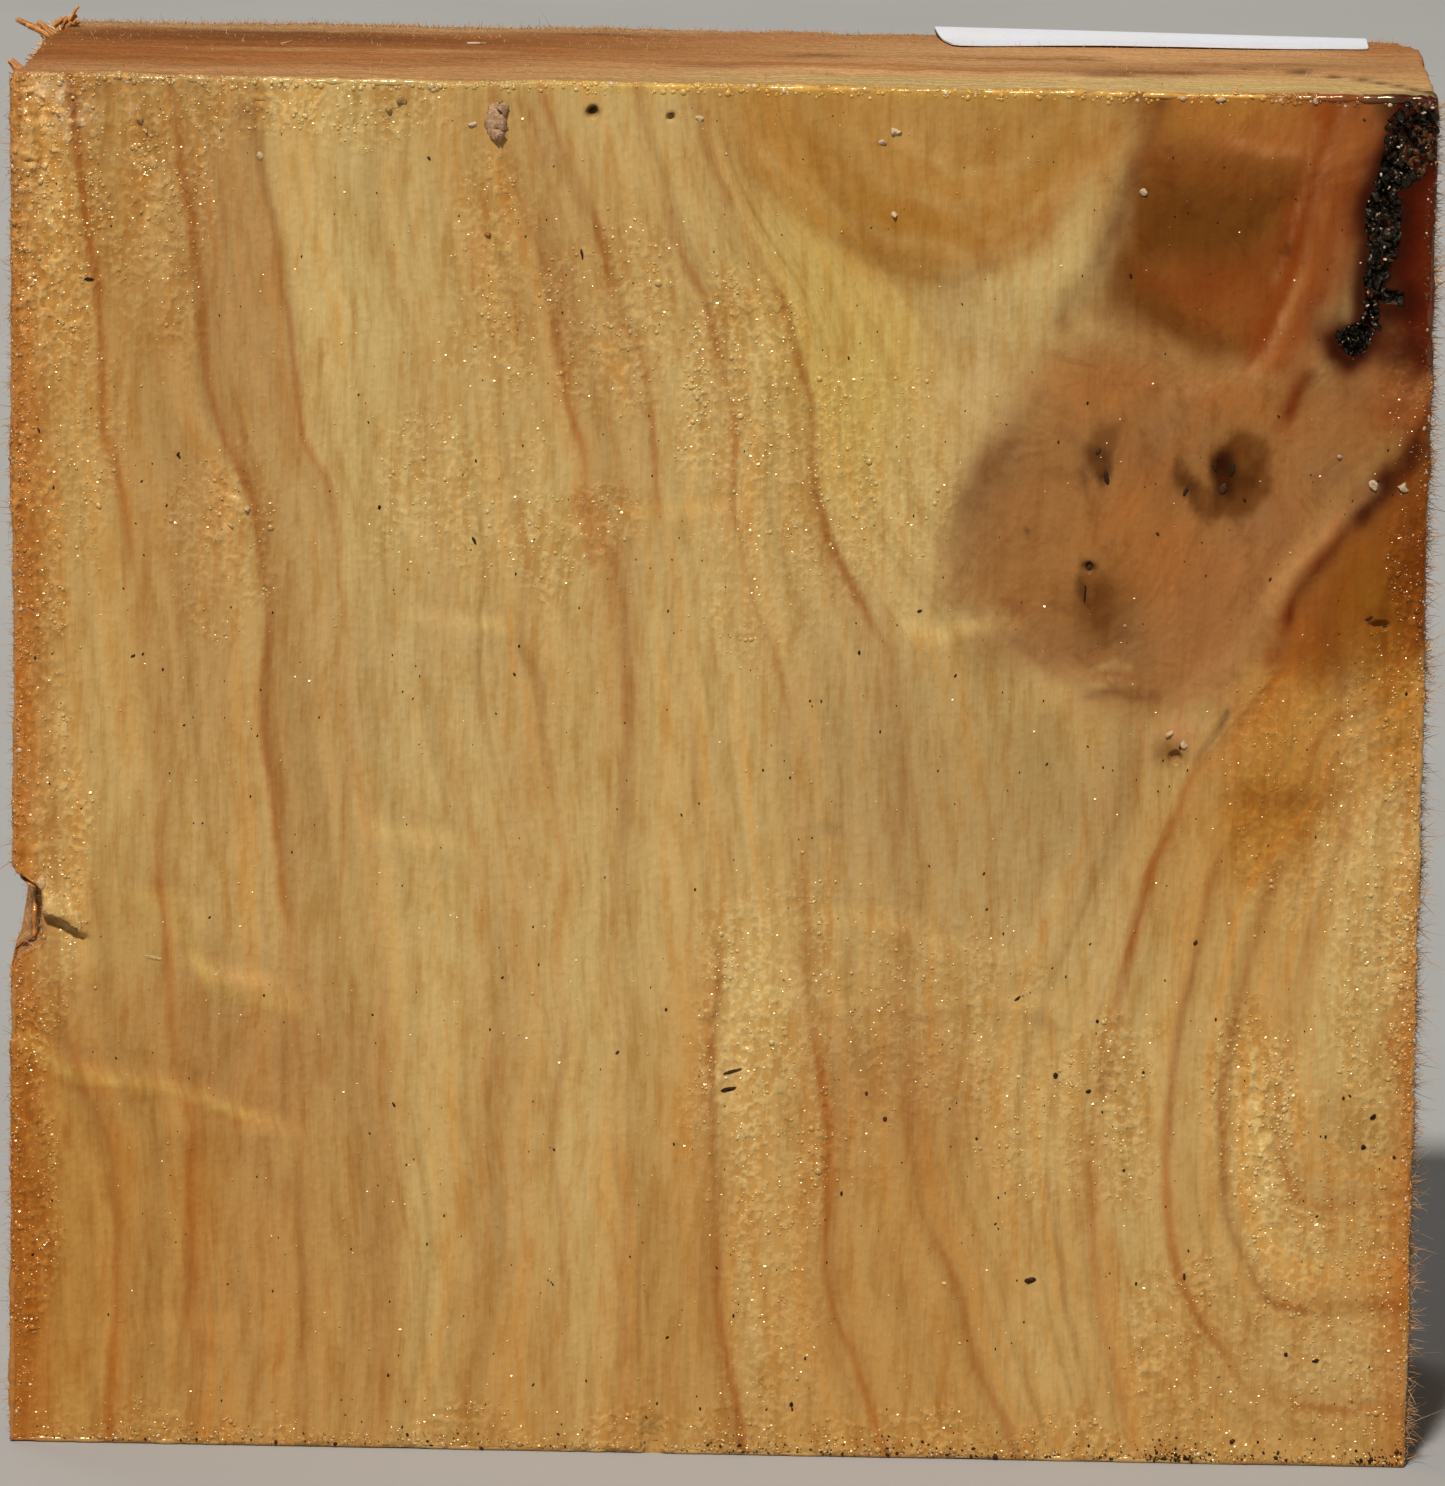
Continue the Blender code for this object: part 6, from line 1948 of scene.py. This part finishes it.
# Torn splinters: foot (x, y, z), direction, length, width, thickness, how many strands, spread, colour
SPLINTERS = (
    ((-94.8, 19.0, 186.3), (-0.86, 0.0, 0.5), 5.6, 0.65, 0.4, 6, 0.06, "splinter"),
    ((-95.0, 28.0, 186.0), (0.66, 0.1, 0.7), 4.2, 0.9, 0.42, 11, 0.14, "splinter"),
    ((-93.0, 30.0, 186.2), (0.3, 0.2, 0.9), 2.4, 0.4, 0.2, 6, 0.3, "fuzz"),
    ((-93.8, 22.0, 186.2), (-0.45, 0.1, 0.85), 2.8, 0.3, 0.16, 3, 0.2, "crystal"),
    ((-95.0, -27.0, 185.6), (-0.68, 0.0, 0.73), 3.8, 0.55, 0.32, 6, 0.14, "splinter"),
    ((-94.4, -26.0, 185.0), (-0.8, 0.0, 0.5), 2.0, 0.34, 0.18, 4, 0.25, "splinter"),
    ((-94.7, -8.0, 186.0), (-0.85, 0.0, 0.5), 1.5, 0.5, 0.1, 9, 0.5, "fuzz"),
    ((-94.7, 2.0, 186.0), (-0.85, 0.0, 0.5), 1.8, 0.6, 0.1, 12, 0.5, "crystal"),
    ((-94.7, 11.0, 186.0), (-0.85, 0.0, 0.5), 1.9, 0.6, 0.1, 12, 0.5, "fuzz"),
    ((-94.7, 20.0, 186.0), (-0.85, 0.0, 0.5), 2.0, 0.6, 0.1, 12, 0.5, "crystal"),
    ((-94.4, 30.0, 186.2), (-0.7, 0.0, 0.7), 1.9, 0.6, 0.1, 12, 0.5, "fuzz"),
    ((94.4, -35.4, 163.0), (0.9, -0.1, -0.3), 1.8, 0.3, 0.18, 4, 0.3, "fuzz"),
    ((94.4, -35.6, 112.0), (0.9, -0.1, 0.3), 1.9, 0.3, 0.18, 5, 0.35, "fuzz"),
    ((94.4, -35.4, 106.0), (0.9, -0.1, 0.1), 1.9, 0.3, 0.2, 6, 0.4, "fuzz"),
    ((94.4, -35.4, 61.0), (0.9, -0.1, -0.4), 1.8, 0.3, 0.18, 4, 0.3, "fuzz"),
    ((68.2, -37.0, 186.6), (0.1, 0.3, 0.95), 1.5, 0.14, 0.12, 1, 0.1, "splinter"),
    ((68.3, -36.6, 187.6), (0.45, 0.5, 0.6), 1.2, 0.12, 0.1, 1, 0.1, "splinter"),
    ((-61.6, 8.0, 187.0), (0.95, 0.2, 0.05), 1.8, 0.22, 0.1, 2, 0.08, "crystal"),
    ((-36.0, 14.0, 187.0), (0.95, -0.2, 0.05), 2.2, 0.26, 0.14, 2, 0.08, "crystal"),
)


def model_splinters():
    """Bundles of torn splinters, most of them at the top's left corner."""
    rng = np.random.default_rng(16)
    feet, ways, sizes, bends, tones = [], [], [], [], []
    for foot, direction, length, wide, thick, strands, spread, colour in SPLINTERS:
        way = np.array(direction) / np.linalg.norm(direction)
        for _ in range(strands):
            strewn = (1.0, 1.0 if colour == "splinter" else 4.0, 0.4)
            feet.append(np.array(foot) - way * 0.7 + rng.normal(0.0, wide * 0.7, 3) * strewn)
            ways.append(way + rng.normal(0.0, spread, 3))
            reach = (length + 0.7) * rng.uniform(0.6, 1.0)
            broad = min(wide, 3.2 * thick) * rng.uniform(0.6, 1.3)
            sizes.append((broad, thick * rng.uniform(0.7, 1.3), reach))
            bends.append(rng.normal(0.0, 0.09, 3) * reach)
            tones.append(PALETTE[colour] * rng.uniform(0.7, 1.25))
    count = len(feet)
    axes = upright_axes(np.array(ways), rng.uniform(0, 6.3, count))
    feet, sizes, bends = np.array(feet), np.array(sizes), np.array(bends)
    made = copies("Torn_splinters", hair_template(5, 0.5), feet, axes, sizes, bends, uneven=0.5, lump=0.6)
    colour_copies(made, np.array(tones))
    return finished(made, tinted_material("Splinters", 0.6, 0.25, 0.35, 0.75, 1.2, 0.08), "waxed_wood")


# Dark slivers and specks on the face: x, z, length, width, lean (0 upright, 90 flat, towards the right)
SPECKS = (
    (67.4, 133.8, 1.7, 1.1, 20), (68.6, 136.4, 2.0, 0.8, 10), (66.3, 136.6, 1.6, 0.5, -15),
    (51.8, 135.0, 2.2, 0.6, -10), (50.6, 138.6, 1.3, 0.5, 30), (62.4, 133.4, 1.6, 0.5, 25),
    (49.7, 122.7, 1.9, 1.1, 14), (49.2, 119.2, 2.6, 0.3, 4), (2.8, 53.2, 2.7, 0.45, 72),
    (2.3, 50.7, 2.3, 0.6, 78), (43.6, 25.1, 1.6, 0.8, 80), (46.5, 53.4, 0.8, 0.7, 0),
    (51.0, 51.4, 0.9, 0.6, 60), (41.2, 63.9, 1.2, 0.4, 50), (64.5, 26.0, 1.0, 0.4, 0),
    (65.0, 72.0, 0.9, 0.5, 30), (89.5, 48.5, 0.9, 0.7, 60), (88.3, 44.3, 0.8, 0.7, 0),
    (23.5, 47.0, 0.7, 0.6, 0), (36.0, 44.5, 0.5, 0.4, 0), (21.0, 50.5, 0.7, 0.4, 0),
    (11.5, 7.3, 0.7, 0.5, 0), (78.5, 15.5, 0.7, 0.5, 0), (82.5, 14.7, 1.1, 0.6, 70),
    (-19.0, 164.0, 1.6, 0.35, -12), (-33.0, 125.0, 1.3, 0.4, -25), (-85.0, 159.5, 1.4, 0.5, 90),
    (-78.8, 108.5, 0.7, 0.4, 60), (-12.8, 55.5, 0.6, 0.4, 45), (-43.0, 47.7, 0.8, 0.35, -35),
    (-5.0, 43.0, 0.5, 0.3, 0), (-6.3, 61.5, 0.5, 0.35, 0), (27.0, 116.5, 0.8, 0.4, 60),
    (19.0, 110.7, 0.6, 0.4, 0), (32.0, 107.8, 0.6, 0.3, 30), (22.0, 100.0, 0.6, 0.25, 0),
    (12.5, 104.0, 0.5, 0.3, 0), (14.0, 104.0, 0.5, 0.3, 0), (87.4, 116.6, 1.2, 0.5, 60),
    (89.6, 115.4, 1.0, 0.4, 100), (-26.8, 110.8, 0.5, 0.3, 20), (-2.6, 78.0, 0.5, 0.3, 0),
    (-28.5, 65.5, 0.5, 0.3, 45), (58.4, 54.0, 0.6, 0.4, 0), (36.8, 76.0, 0.5, 0.3, 20),
    (-46.0, 60.0, 0.4, 0.3, 0), (52.0, 61.0, 0.5, 0.4, 0), (85.5, 51.0, 0.5, 0.4, 0),
    (92.5, 43.0, 0.6, 0.5, 0), (-36.0, 32.5, 0.4, 0.3, 0), (-5.5, 16.2, 0.6, 0.35, 60),
    (3.4, 19.4, 0.6, 0.3, 0), (68.0, 61.5, 0.5, 0.3, 0), (11.6, 6.6, 0.5, 0.4, 0),
    (6.3, 94.5, 0.4, 0.3, 0), (-60.7, 62.5, 0.4, 0.3, 0), (-92.0, 108.0, 0.5, 0.4, 0),
    (44.5, 96.0, 0.5, 0.3, 30), (56.0, 40.5, 0.5, 0.4, 0),
)


def model_dirt(count):
    """Dark slivers and specks on the face, and dirt along its lower edge."""
    rng = np.random.default_rng(17)
    held = np.array(SPECKS)
    x_low = rng.uniform(-92.0, 94.5, count)
    x_low = np.where(rng.uniform(0, 1, count) < 0.6, rng.uniform(0.0, 94.5, count), x_low)
    x_low = np.where(rng.uniform(0, 1, count) < 0.25, rng.normal(63.0, 3.0, count), x_low)
    x_low = np.where(rng.uniform(0, 1, count) < 0.12, rng.normal(92.0, 2.0, count), x_low)
    x_low = np.clip(x_low, -92.0, 94.4)
    z_low = 0.35 + rng.exponential(0.9, count)
    size = rng.lognormal(-1.95, 0.45, count)
    strewn = np.column_stack((x_low, z_low, size * 2, size * 1.4, rng.uniform(0, 180, count)))
    at = np.column_stack((rng.uniform(-92, 93, count), rng.uniform(3, 184, count)))
    spot = rng.lognormal(-2.1, 0.35, count)
    small = np.column_stack((at, spot * 2.6, spot * 1.5, rng.normal(0, 25, count)))
    every = np.concatenate((held, strewn, small))
    hits, places, normals = onto_face(every[:, 0], every[:, 1])
    every = every[hits]
    lean = np.radians(every[:, 4])
    along = np.column_stack((np.sin(lean), np.zeros(len(lean)), np.cos(lean)))
    across = np.cross(along, normals)
    across /= np.linalg.norm(across, axis=1, keepdims=True)
    along = np.cross(normals, across)
    axes = np.stack((across, along, normals), axis=1)
    sizes = np.column_stack((every[:, 3] / 2, every[:, 2] / 2, np.minimum(every[:, 3] * 0.35, 0.22)))
    tones = PALETTE["dirt"] * rng.uniform(0.6, 2.6, (len(hits), 1))
    parts = []
    for steps, chosen in ((2, hits < len(held)), (1, hits >= len(held))):
        bits = crumb_template(steps), places[chosen], axes[chosen], sizes[chosen]
        part = copies("Dirt_specks", *bits, uneven=0.5, lump=0.35)
        colour_copies(part, tones[chosen])
        parts.append(part)
    made = joined("Dirt_specks", parts)
    return finished(made, tinted_material("Dirt", 0.6, 0.25, 0.3, 0.6, 1.5, 0.1), "waxed_wood")


def model_label(label):
    """The paper label: a bent sheet over the back edge, its front edge lifted and its corners round."""
    bpy.ops.object.select_all(action="DESELECT")
    bpy.ops.mesh.primitive_grid_add(x_subdivisions=96, y_subdivisions=56, size=1.0)
    made = bpy.context.object
    made.name = made.data.name = "Paper_label"
    unit = read_places(made) * MM
    u, v = unit[:, 0] + 0.5, unit[:, 1] + 0.5
    lengths = (label.left, label.right, label.on_top, label.down_back)
    left, right, on_top, down = (length / MM for length in lengths)
    x = left + (right - left) * u
    bend, back_gap = 1.0, 0.14
    flat = on_top - bend
    turned = bend * math.pi / 2
    total = flat + turned + down - bend
    s = v * total
    lift = label.lift_left / MM * (1.0 - u) + label.lift_right / MM * u
    raised = 0.1 + (label.bulge_left / MM * (1.0 - u) + label.bulge_right / MM * u) * ease(s, 4.0, flat)
    bent = np.clip((s - flat) / turned, 0.0, 1.0) * math.pi / 2
    fall = np.maximum(s - flat - turned, 0.0)
    y = np.minimum(s, flat)
    sheet = np.column_stack((x, np.zeros(len(x)), s))
    waves = 0.12 * lumpy(sheet, (13.0, 9.0, 9.0), 111) + 0.05 * lumpy(sheet, (5.0, 9.0, 6.0), 112)
    front_lift = lift * (1.0 - np.clip(s / (0.75 * flat), 0.0, 1.0)) ** 2
    top_z = HEIGHT + raised + front_lift + (waves + 0.08) * ease(s, flat + 1.0, flat * 0.5)
    y_front = BACK - on_top - 5.0 + 4.8 * u + 0.7 * lumpy(np.column_stack((x, 0 * x, 0 * x)), 15.0, 114)
    z = top_z - bend * (1.0 - np.cos(bent)) - fall
    y = y_front + y * (BACK - bend - y_front) / flat + back_gap + bend * np.sin(bent)
    x = x + 2.8 * (1.0 - u) ** 8 * np.clip(1.0 - s / flat, 0.0, 1.0) ** 1.6
    y = y + 0.03 * lumpy(sheet, (11.0, 9.0, 9.0), 113) * (fall > 0)
    for corner in (0.0, 1.0):
        for end in (0.0, total):
            away = np.maximum(1.0 - np.abs(s - end), 0.0)
            inset = 1.0 - np.sqrt(1.0 - away**2)
            x = x + inset * np.clip(1.0 - np.abs(u - corner) * 6.0, 0.0, 1.0) * (1.0 - 2.0 * corner)
    write_places(made, np.column_stack((x, y, np.maximum(z, HEIGHT - down))))
    only(made)
    paper = made.modifiers.new("paper", "SOLIDIFY")
    paper.thickness = label.thickness
    paper.offset = 1.0
    bpy.ops.object.modifier_apply(modifier=paper.name)
    face_outwards(made)
    bpy.ops.object.shade_smooth_by_angle(angle=math.radians(40))
    return finished(made, label_material(), "label_paper", "label")


# The stage

CAMERA_PLACE = (0.030841, -1.554647, 0.339676)
CAMERA_TURN = (80.9507, -0.8403, 1.2690)  # degrees
CAMERA_SENSOR = 36.0
AIM = Vector((0.0, -0.038, 0.095))


def floor_material():
    """A pale, matt studio floor."""
    made, n, shader = new_material("Studio floor")
    faint = n.noise(n.place(), size=140.0, detail=2.0)
    n.feed(shader["Base Color"], n.brightened(colour_of("floor"), n.eased(faint, 0.3, 0.7, 0.97, 1.02)))
    shader["Roughness"].default_value = 0.8
    return made


def add_light(name, kind, place, power, colour):
    """A light that shines on the block from a place; its data."""
    data = bpy.data.lights.new(name, kind)
    data.energy = power
    data.color = colour
    made = bpy.data.objects.new(name, data)
    bpy.context.scene.collection.objects.link(made)
    made.location = place
    made.rotation_euler = (AIM - made.location).to_track_quat("-Z", "Y").to_euler()
    return data


def around_aim(azimuth, elevation, distance):
    """A place seen from the block: azimuth 0 is in front, positive to the right, in degrees."""
    a, e = math.radians(azimuth), math.radians(elevation)
    away = Vector((math.sin(a) * math.cos(e), -math.cos(a) * math.cos(e), math.sin(e)))
    return AIM + away * distance


def set_stage(stage):
    """The floor, the lights, the pale surroundings and the camera."""
    bpy.ops.object.select_all(action="DESELECT")
    bpy.ops.mesh.primitive_plane_add(size=stage.floor_size, location=(0, 0, 0))
    floor = bpy.context.object
    floor.name = floor.data.name = "Floor"
    floor.data.materials.append(floor_material())
    sun = around_aim(stage.key_azimuth, stage.key_elevation, 2.0)
    add_light("Key", "SUN", sun, stage.key_strength, (1.0, 0.965, 0.91)).angle = stage.key_angle
    add_light("Fill", "AREA", around_aim(35.0, 20.0, 2.6), stage.fill_power, (1.0, 0.97, 0.93)).size = 1.6
    add_light("Rim", "AREA", around_aim(-150.0, 45.0, 2.4), stage.rim_power, (1.0, 0.98, 0.95)).size = 1.2
    world = bpy.data.worlds.new("Studio")
    world.use_nodes = True
    background = world.node_tree.nodes["Background"].inputs
    background["Color"].default_value = (1.0, 0.97, 0.93, 1.0)
    background["Strength"].default_value = stage.surroundings
    bpy.context.scene.world = world
    set_camera(stage.lens)


def set_camera(lens):
    """The camera, at the photograph's viewing angle."""
    scene = bpy.context.scene
    camera = bpy.data.cameras.new("Camera")
    camera.lens = lens
    camera.sensor_width = CAMERA_SENSOR
    camera.clip_start, camera.clip_end = 0.05, 50.0
    eye = bpy.data.objects.new("Camera", camera)
    scene.collection.objects.link(eye)
    eye.location = CAMERA_PLACE
    eye.rotation_euler = [math.radians(turn) for turn in CAMERA_TURN]
    scene.camera = eye
    scene.view_settings.view_transform = "Standard"


# The add-on: what a user may change, the operators and the panel


def length_of(name, about, millimetres, **limits):
    """A length that a user may change."""
    return FloatProperty(name=name, description=about, default=millimetres * MM, unit="LENGTH", **limits)


def number_of(name, about, number):
    """How many of something, which a user may change."""
    return IntProperty(name=name, description=about, default=number, min=0)


class BowlBlankColours(bpy.types.PropertyGroup):
    """The colours of the wood, the wax, the bark, the label and the floor."""

    __annotations__ = {
        prop_name(name): FloatVectorProperty(
            name=name.capitalize(), description=about, default=linear(shade),
            subtype="COLOR", size=3, min=0.0, max=1.0,
        )
        for name, shade, about in COLOURS
    }


class BowlBlankWax(bpy.types.PropertyGroup):
    """Sizes and numbers of the wax beads."""

    bead_radius: length_of("Bead radius", "Middling radius of a bead of wax", 0.2, min=0.0)
    rim_radius: length_of("Rim radius", "Radius of the roll along the edges", 0.52, min=0.0)
    face_beads: number_of("Beads on the face", "At most this many", 5500)
    glints: number_of("Flat grains", "At most this many", 4800)
    edge_beads: number_of("Beads on the edges", "About this many", 3600)


class BowlBlankFibres(bpy.types.PropertyGroup):
    """Sizes and numbers of the torn fibres, and of the specks of dirt."""

    length: length_of("Length", "Middling length of a torn fibre", 1.35, min=0.0)
    thickness: length_of("Thickness", "Half thickness of a fibre's foot", 0.055, min=0.0)
    right_count: number_of("Right side", "Fibres tried on the right side", 6500)
    left_count: number_of("Left side", "Fibres tried on the left side", 2600)
    top_count: number_of("Top", "Fibres tried on the top", 9000)
    bottom_count: number_of("Lower edge", "Fibres along the lower edge", 260)
    dirt: number_of("Dirt", "Specks of each kind of dirt", 620)


class BowlBlankLabel(bpy.types.PropertyGroup):
    """The place and size of the paper label."""

    left: length_of("Left", "Its left edge", 27.5)
    right: length_of("Right", "Its right edge", 87.8)
    on_top: length_of("On top", "Its length on the top", 13)
    down_back: length_of("Down the back", "Its length there", 14)
    thickness: length_of("Thickness", "The paper's", 0.2)
    lift_left: length_of("Lift, left", "How far the front edge is up on the left", 0.1)
    lift_right: length_of("Lift, right", "How far the front edge is up on the right", 0.05)
    bulge_left: length_of("Bulge, left", "How far it stands off the back edge there", 0.9)
    bulge_right: length_of("Bulge, right", "How far it stands off the back edge there", 0.22)


class BowlBlankStage(bpy.types.PropertyGroup):
    """The studio."""

    floor_size: FloatProperty(name="Floor", description="Width of the floor", default=9.0, unit="LENGTH")
    key_strength: FloatProperty(name="Key", description="Strength of the key light, in W/m2", default=3.45)
    key_angle: FloatProperty(
        name="Key angle", description="How wide the key light looks", default=math.radians(5), subtype="ANGLE"
    )
    key_azimuth: FloatProperty(
        name="Key azimuth", description="Degrees to the right of the front", default=-12.0
    )
    key_elevation: FloatProperty(name="Key elevation", description="Degrees above the level", default=50.0)
    fill_power: FloatProperty(name="Fill", description="Power of the fill light", default=2.5, unit="POWER")
    rim_power: FloatProperty(
        name="Back light", description="Power of the light behind", default=9.0, unit="POWER"
    )
    surroundings: FloatProperty(
        name="Surroundings", description="Strength of the pale surroundings", default=0.1
    )
    lens: FloatProperty(name="Lens", description="The camera's focal length", default=276.27, unit="CAMERA")


def take_colours(context):
    """Take the colours as the user set them."""
    for name, _, _ in COLOURS:
        PALETTE[name] = np.array(getattr(context.scene.bowl_blank_colours, prop_name(name)))


class BOWLBLANK_OT_block(bpy.types.Operator):
    """Model the waxed block with its worn corners, bark pocket, pits and chip"""

    bl_idname = "bowl_blank.block"
    bl_label = "Waxed block"

    def execute(self, context):
        take_colours(context)
        model_block()
        return {"FINISHED"}


class BOWLBLANK_OT_wax(bpy.types.Operator):
    """Model the beads, the rolls and the lumps of wax on the block"""

    bl_idname = "bowl_blank.wax"
    bl_label = "Wax beads"

    def execute(self, context):
        take_colours(context)
        model_face_beads(context.scene.bowl_blank_wax)
        model_edge_beads(context.scene.bowl_blank_wax)
        model_rim(context.scene.bowl_blank_wax)
        model_glints(context.scene.bowl_blank_wax)
        model_lumps()
        return {"FINISHED"}


class BOWLBLANK_OT_bark(bpy.types.Operator):
    """Model the crumbs of bark in the pocket"""

    bl_idname = "bowl_blank.bark"
    bl_label = "Bark crumbs"

    def execute(self, context):
        take_colours(context)
        model_bark()
        return {"FINISHED"}


class BOWLBLANK_OT_fibres(bpy.types.Operator):
    """Model the torn fibres and the splinters along the edges"""

    bl_idname = "bowl_blank.fibres"
    bl_label = "Torn fibres"

    def execute(self, context):
        take_colours(context)
        model_fuzz(context.scene.bowl_blank_fibres)
        model_splinters()
        return {"FINISHED"}


class BOWLBLANK_OT_dirt(bpy.types.Operator):
    """Model the dark specks on the face and the dirt along its lower edge"""

    bl_idname = "bowl_blank.dirt"
    bl_label = "Specks of dirt"

    def execute(self, context):
        take_colours(context)
        model_dirt(context.scene.bowl_blank_fibres.dirt)
        return {"FINISHED"}


class BOWLBLANK_OT_label(bpy.types.Operator):
    """Model the paper label over the back edge"""

    bl_idname = "bowl_blank.label"
    bl_label = "Paper label"

    def execute(self, context):
        take_colours(context)
        model_label(context.scene.bowl_blank_label)
        return {"FINISHED"}


class BOWLBLANK_OT_stage(bpy.types.Operator):
    """Set up the floor, the lights and the camera"""

    bl_idname = "bowl_blank.stage"
    bl_label = "Studio"

    def execute(self, context):
        take_colours(context)
        set_stage(context.scene.bowl_blank_stage)
        return {"FINISHED"}


class BOWLBLANK_PT_panel(bpy.types.Panel):
    """Lists the operators that model the bowl blank"""

    bl_label = "Bowl blank"
    bl_idname = "BOWLBLANK_PT_panel"
    bl_space_type = "VIEW_3D"
    bl_region_type = "UI"
    bl_category = "Bowl blank"

    def draw(self, context):
        for operator in OPERATORS:
            self.layout.operator(operator.bl_idname)


GROUPS = {
    "bowl_blank_colours": BowlBlankColours,
    "bowl_blank_wax": BowlBlankWax,
    "bowl_blank_fibres": BowlBlankFibres,
    "bowl_blank_label": BowlBlankLabel,
    "bowl_blank_stage": BowlBlankStage,
}
OPERATORS = (
    BOWLBLANK_OT_block,
    BOWLBLANK_OT_wax,
    BOWLBLANK_OT_bark,
    BOWLBLANK_OT_fibres,
    BOWLBLANK_OT_dirt,
    BOWLBLANK_OT_label,
    BOWLBLANK_OT_stage,
)


def register():
    """Make the property groups, the operators and the panel known."""
    for name, group in GROUPS.items():
        bpy.utils.register_class(group)
        setattr(bpy.types.Scene, name, PointerProperty(type=group))
    for operator in OPERATORS:
        bpy.utils.register_class(operator)
    bpy.utils.register_class(BOWLBLANK_PT_panel)


def unregister():
    """Undo what register does."""
    bpy.utils.unregister_class(BOWLBLANK_PT_panel)
    for operator in reversed(OPERATORS):
        bpy.utils.unregister_class(operator)
    for name, group in reversed(GROUPS.items()):
        delattr(bpy.types.Scene, name)
        bpy.utils.unregister_class(group)


def main():
    """Model the whole bowl blank and set its stage."""
    register()
    bpy.ops.bowl_blank.block()
    bpy.ops.bowl_blank.wax()
    bpy.ops.bowl_blank.bark()
    bpy.ops.bowl_blank.fibres()
    bpy.ops.bowl_blank.dirt()
    bpy.ops.bowl_blank.label()
    bpy.ops.bowl_blank.stage()


if __name__ == "__main__":
    main()
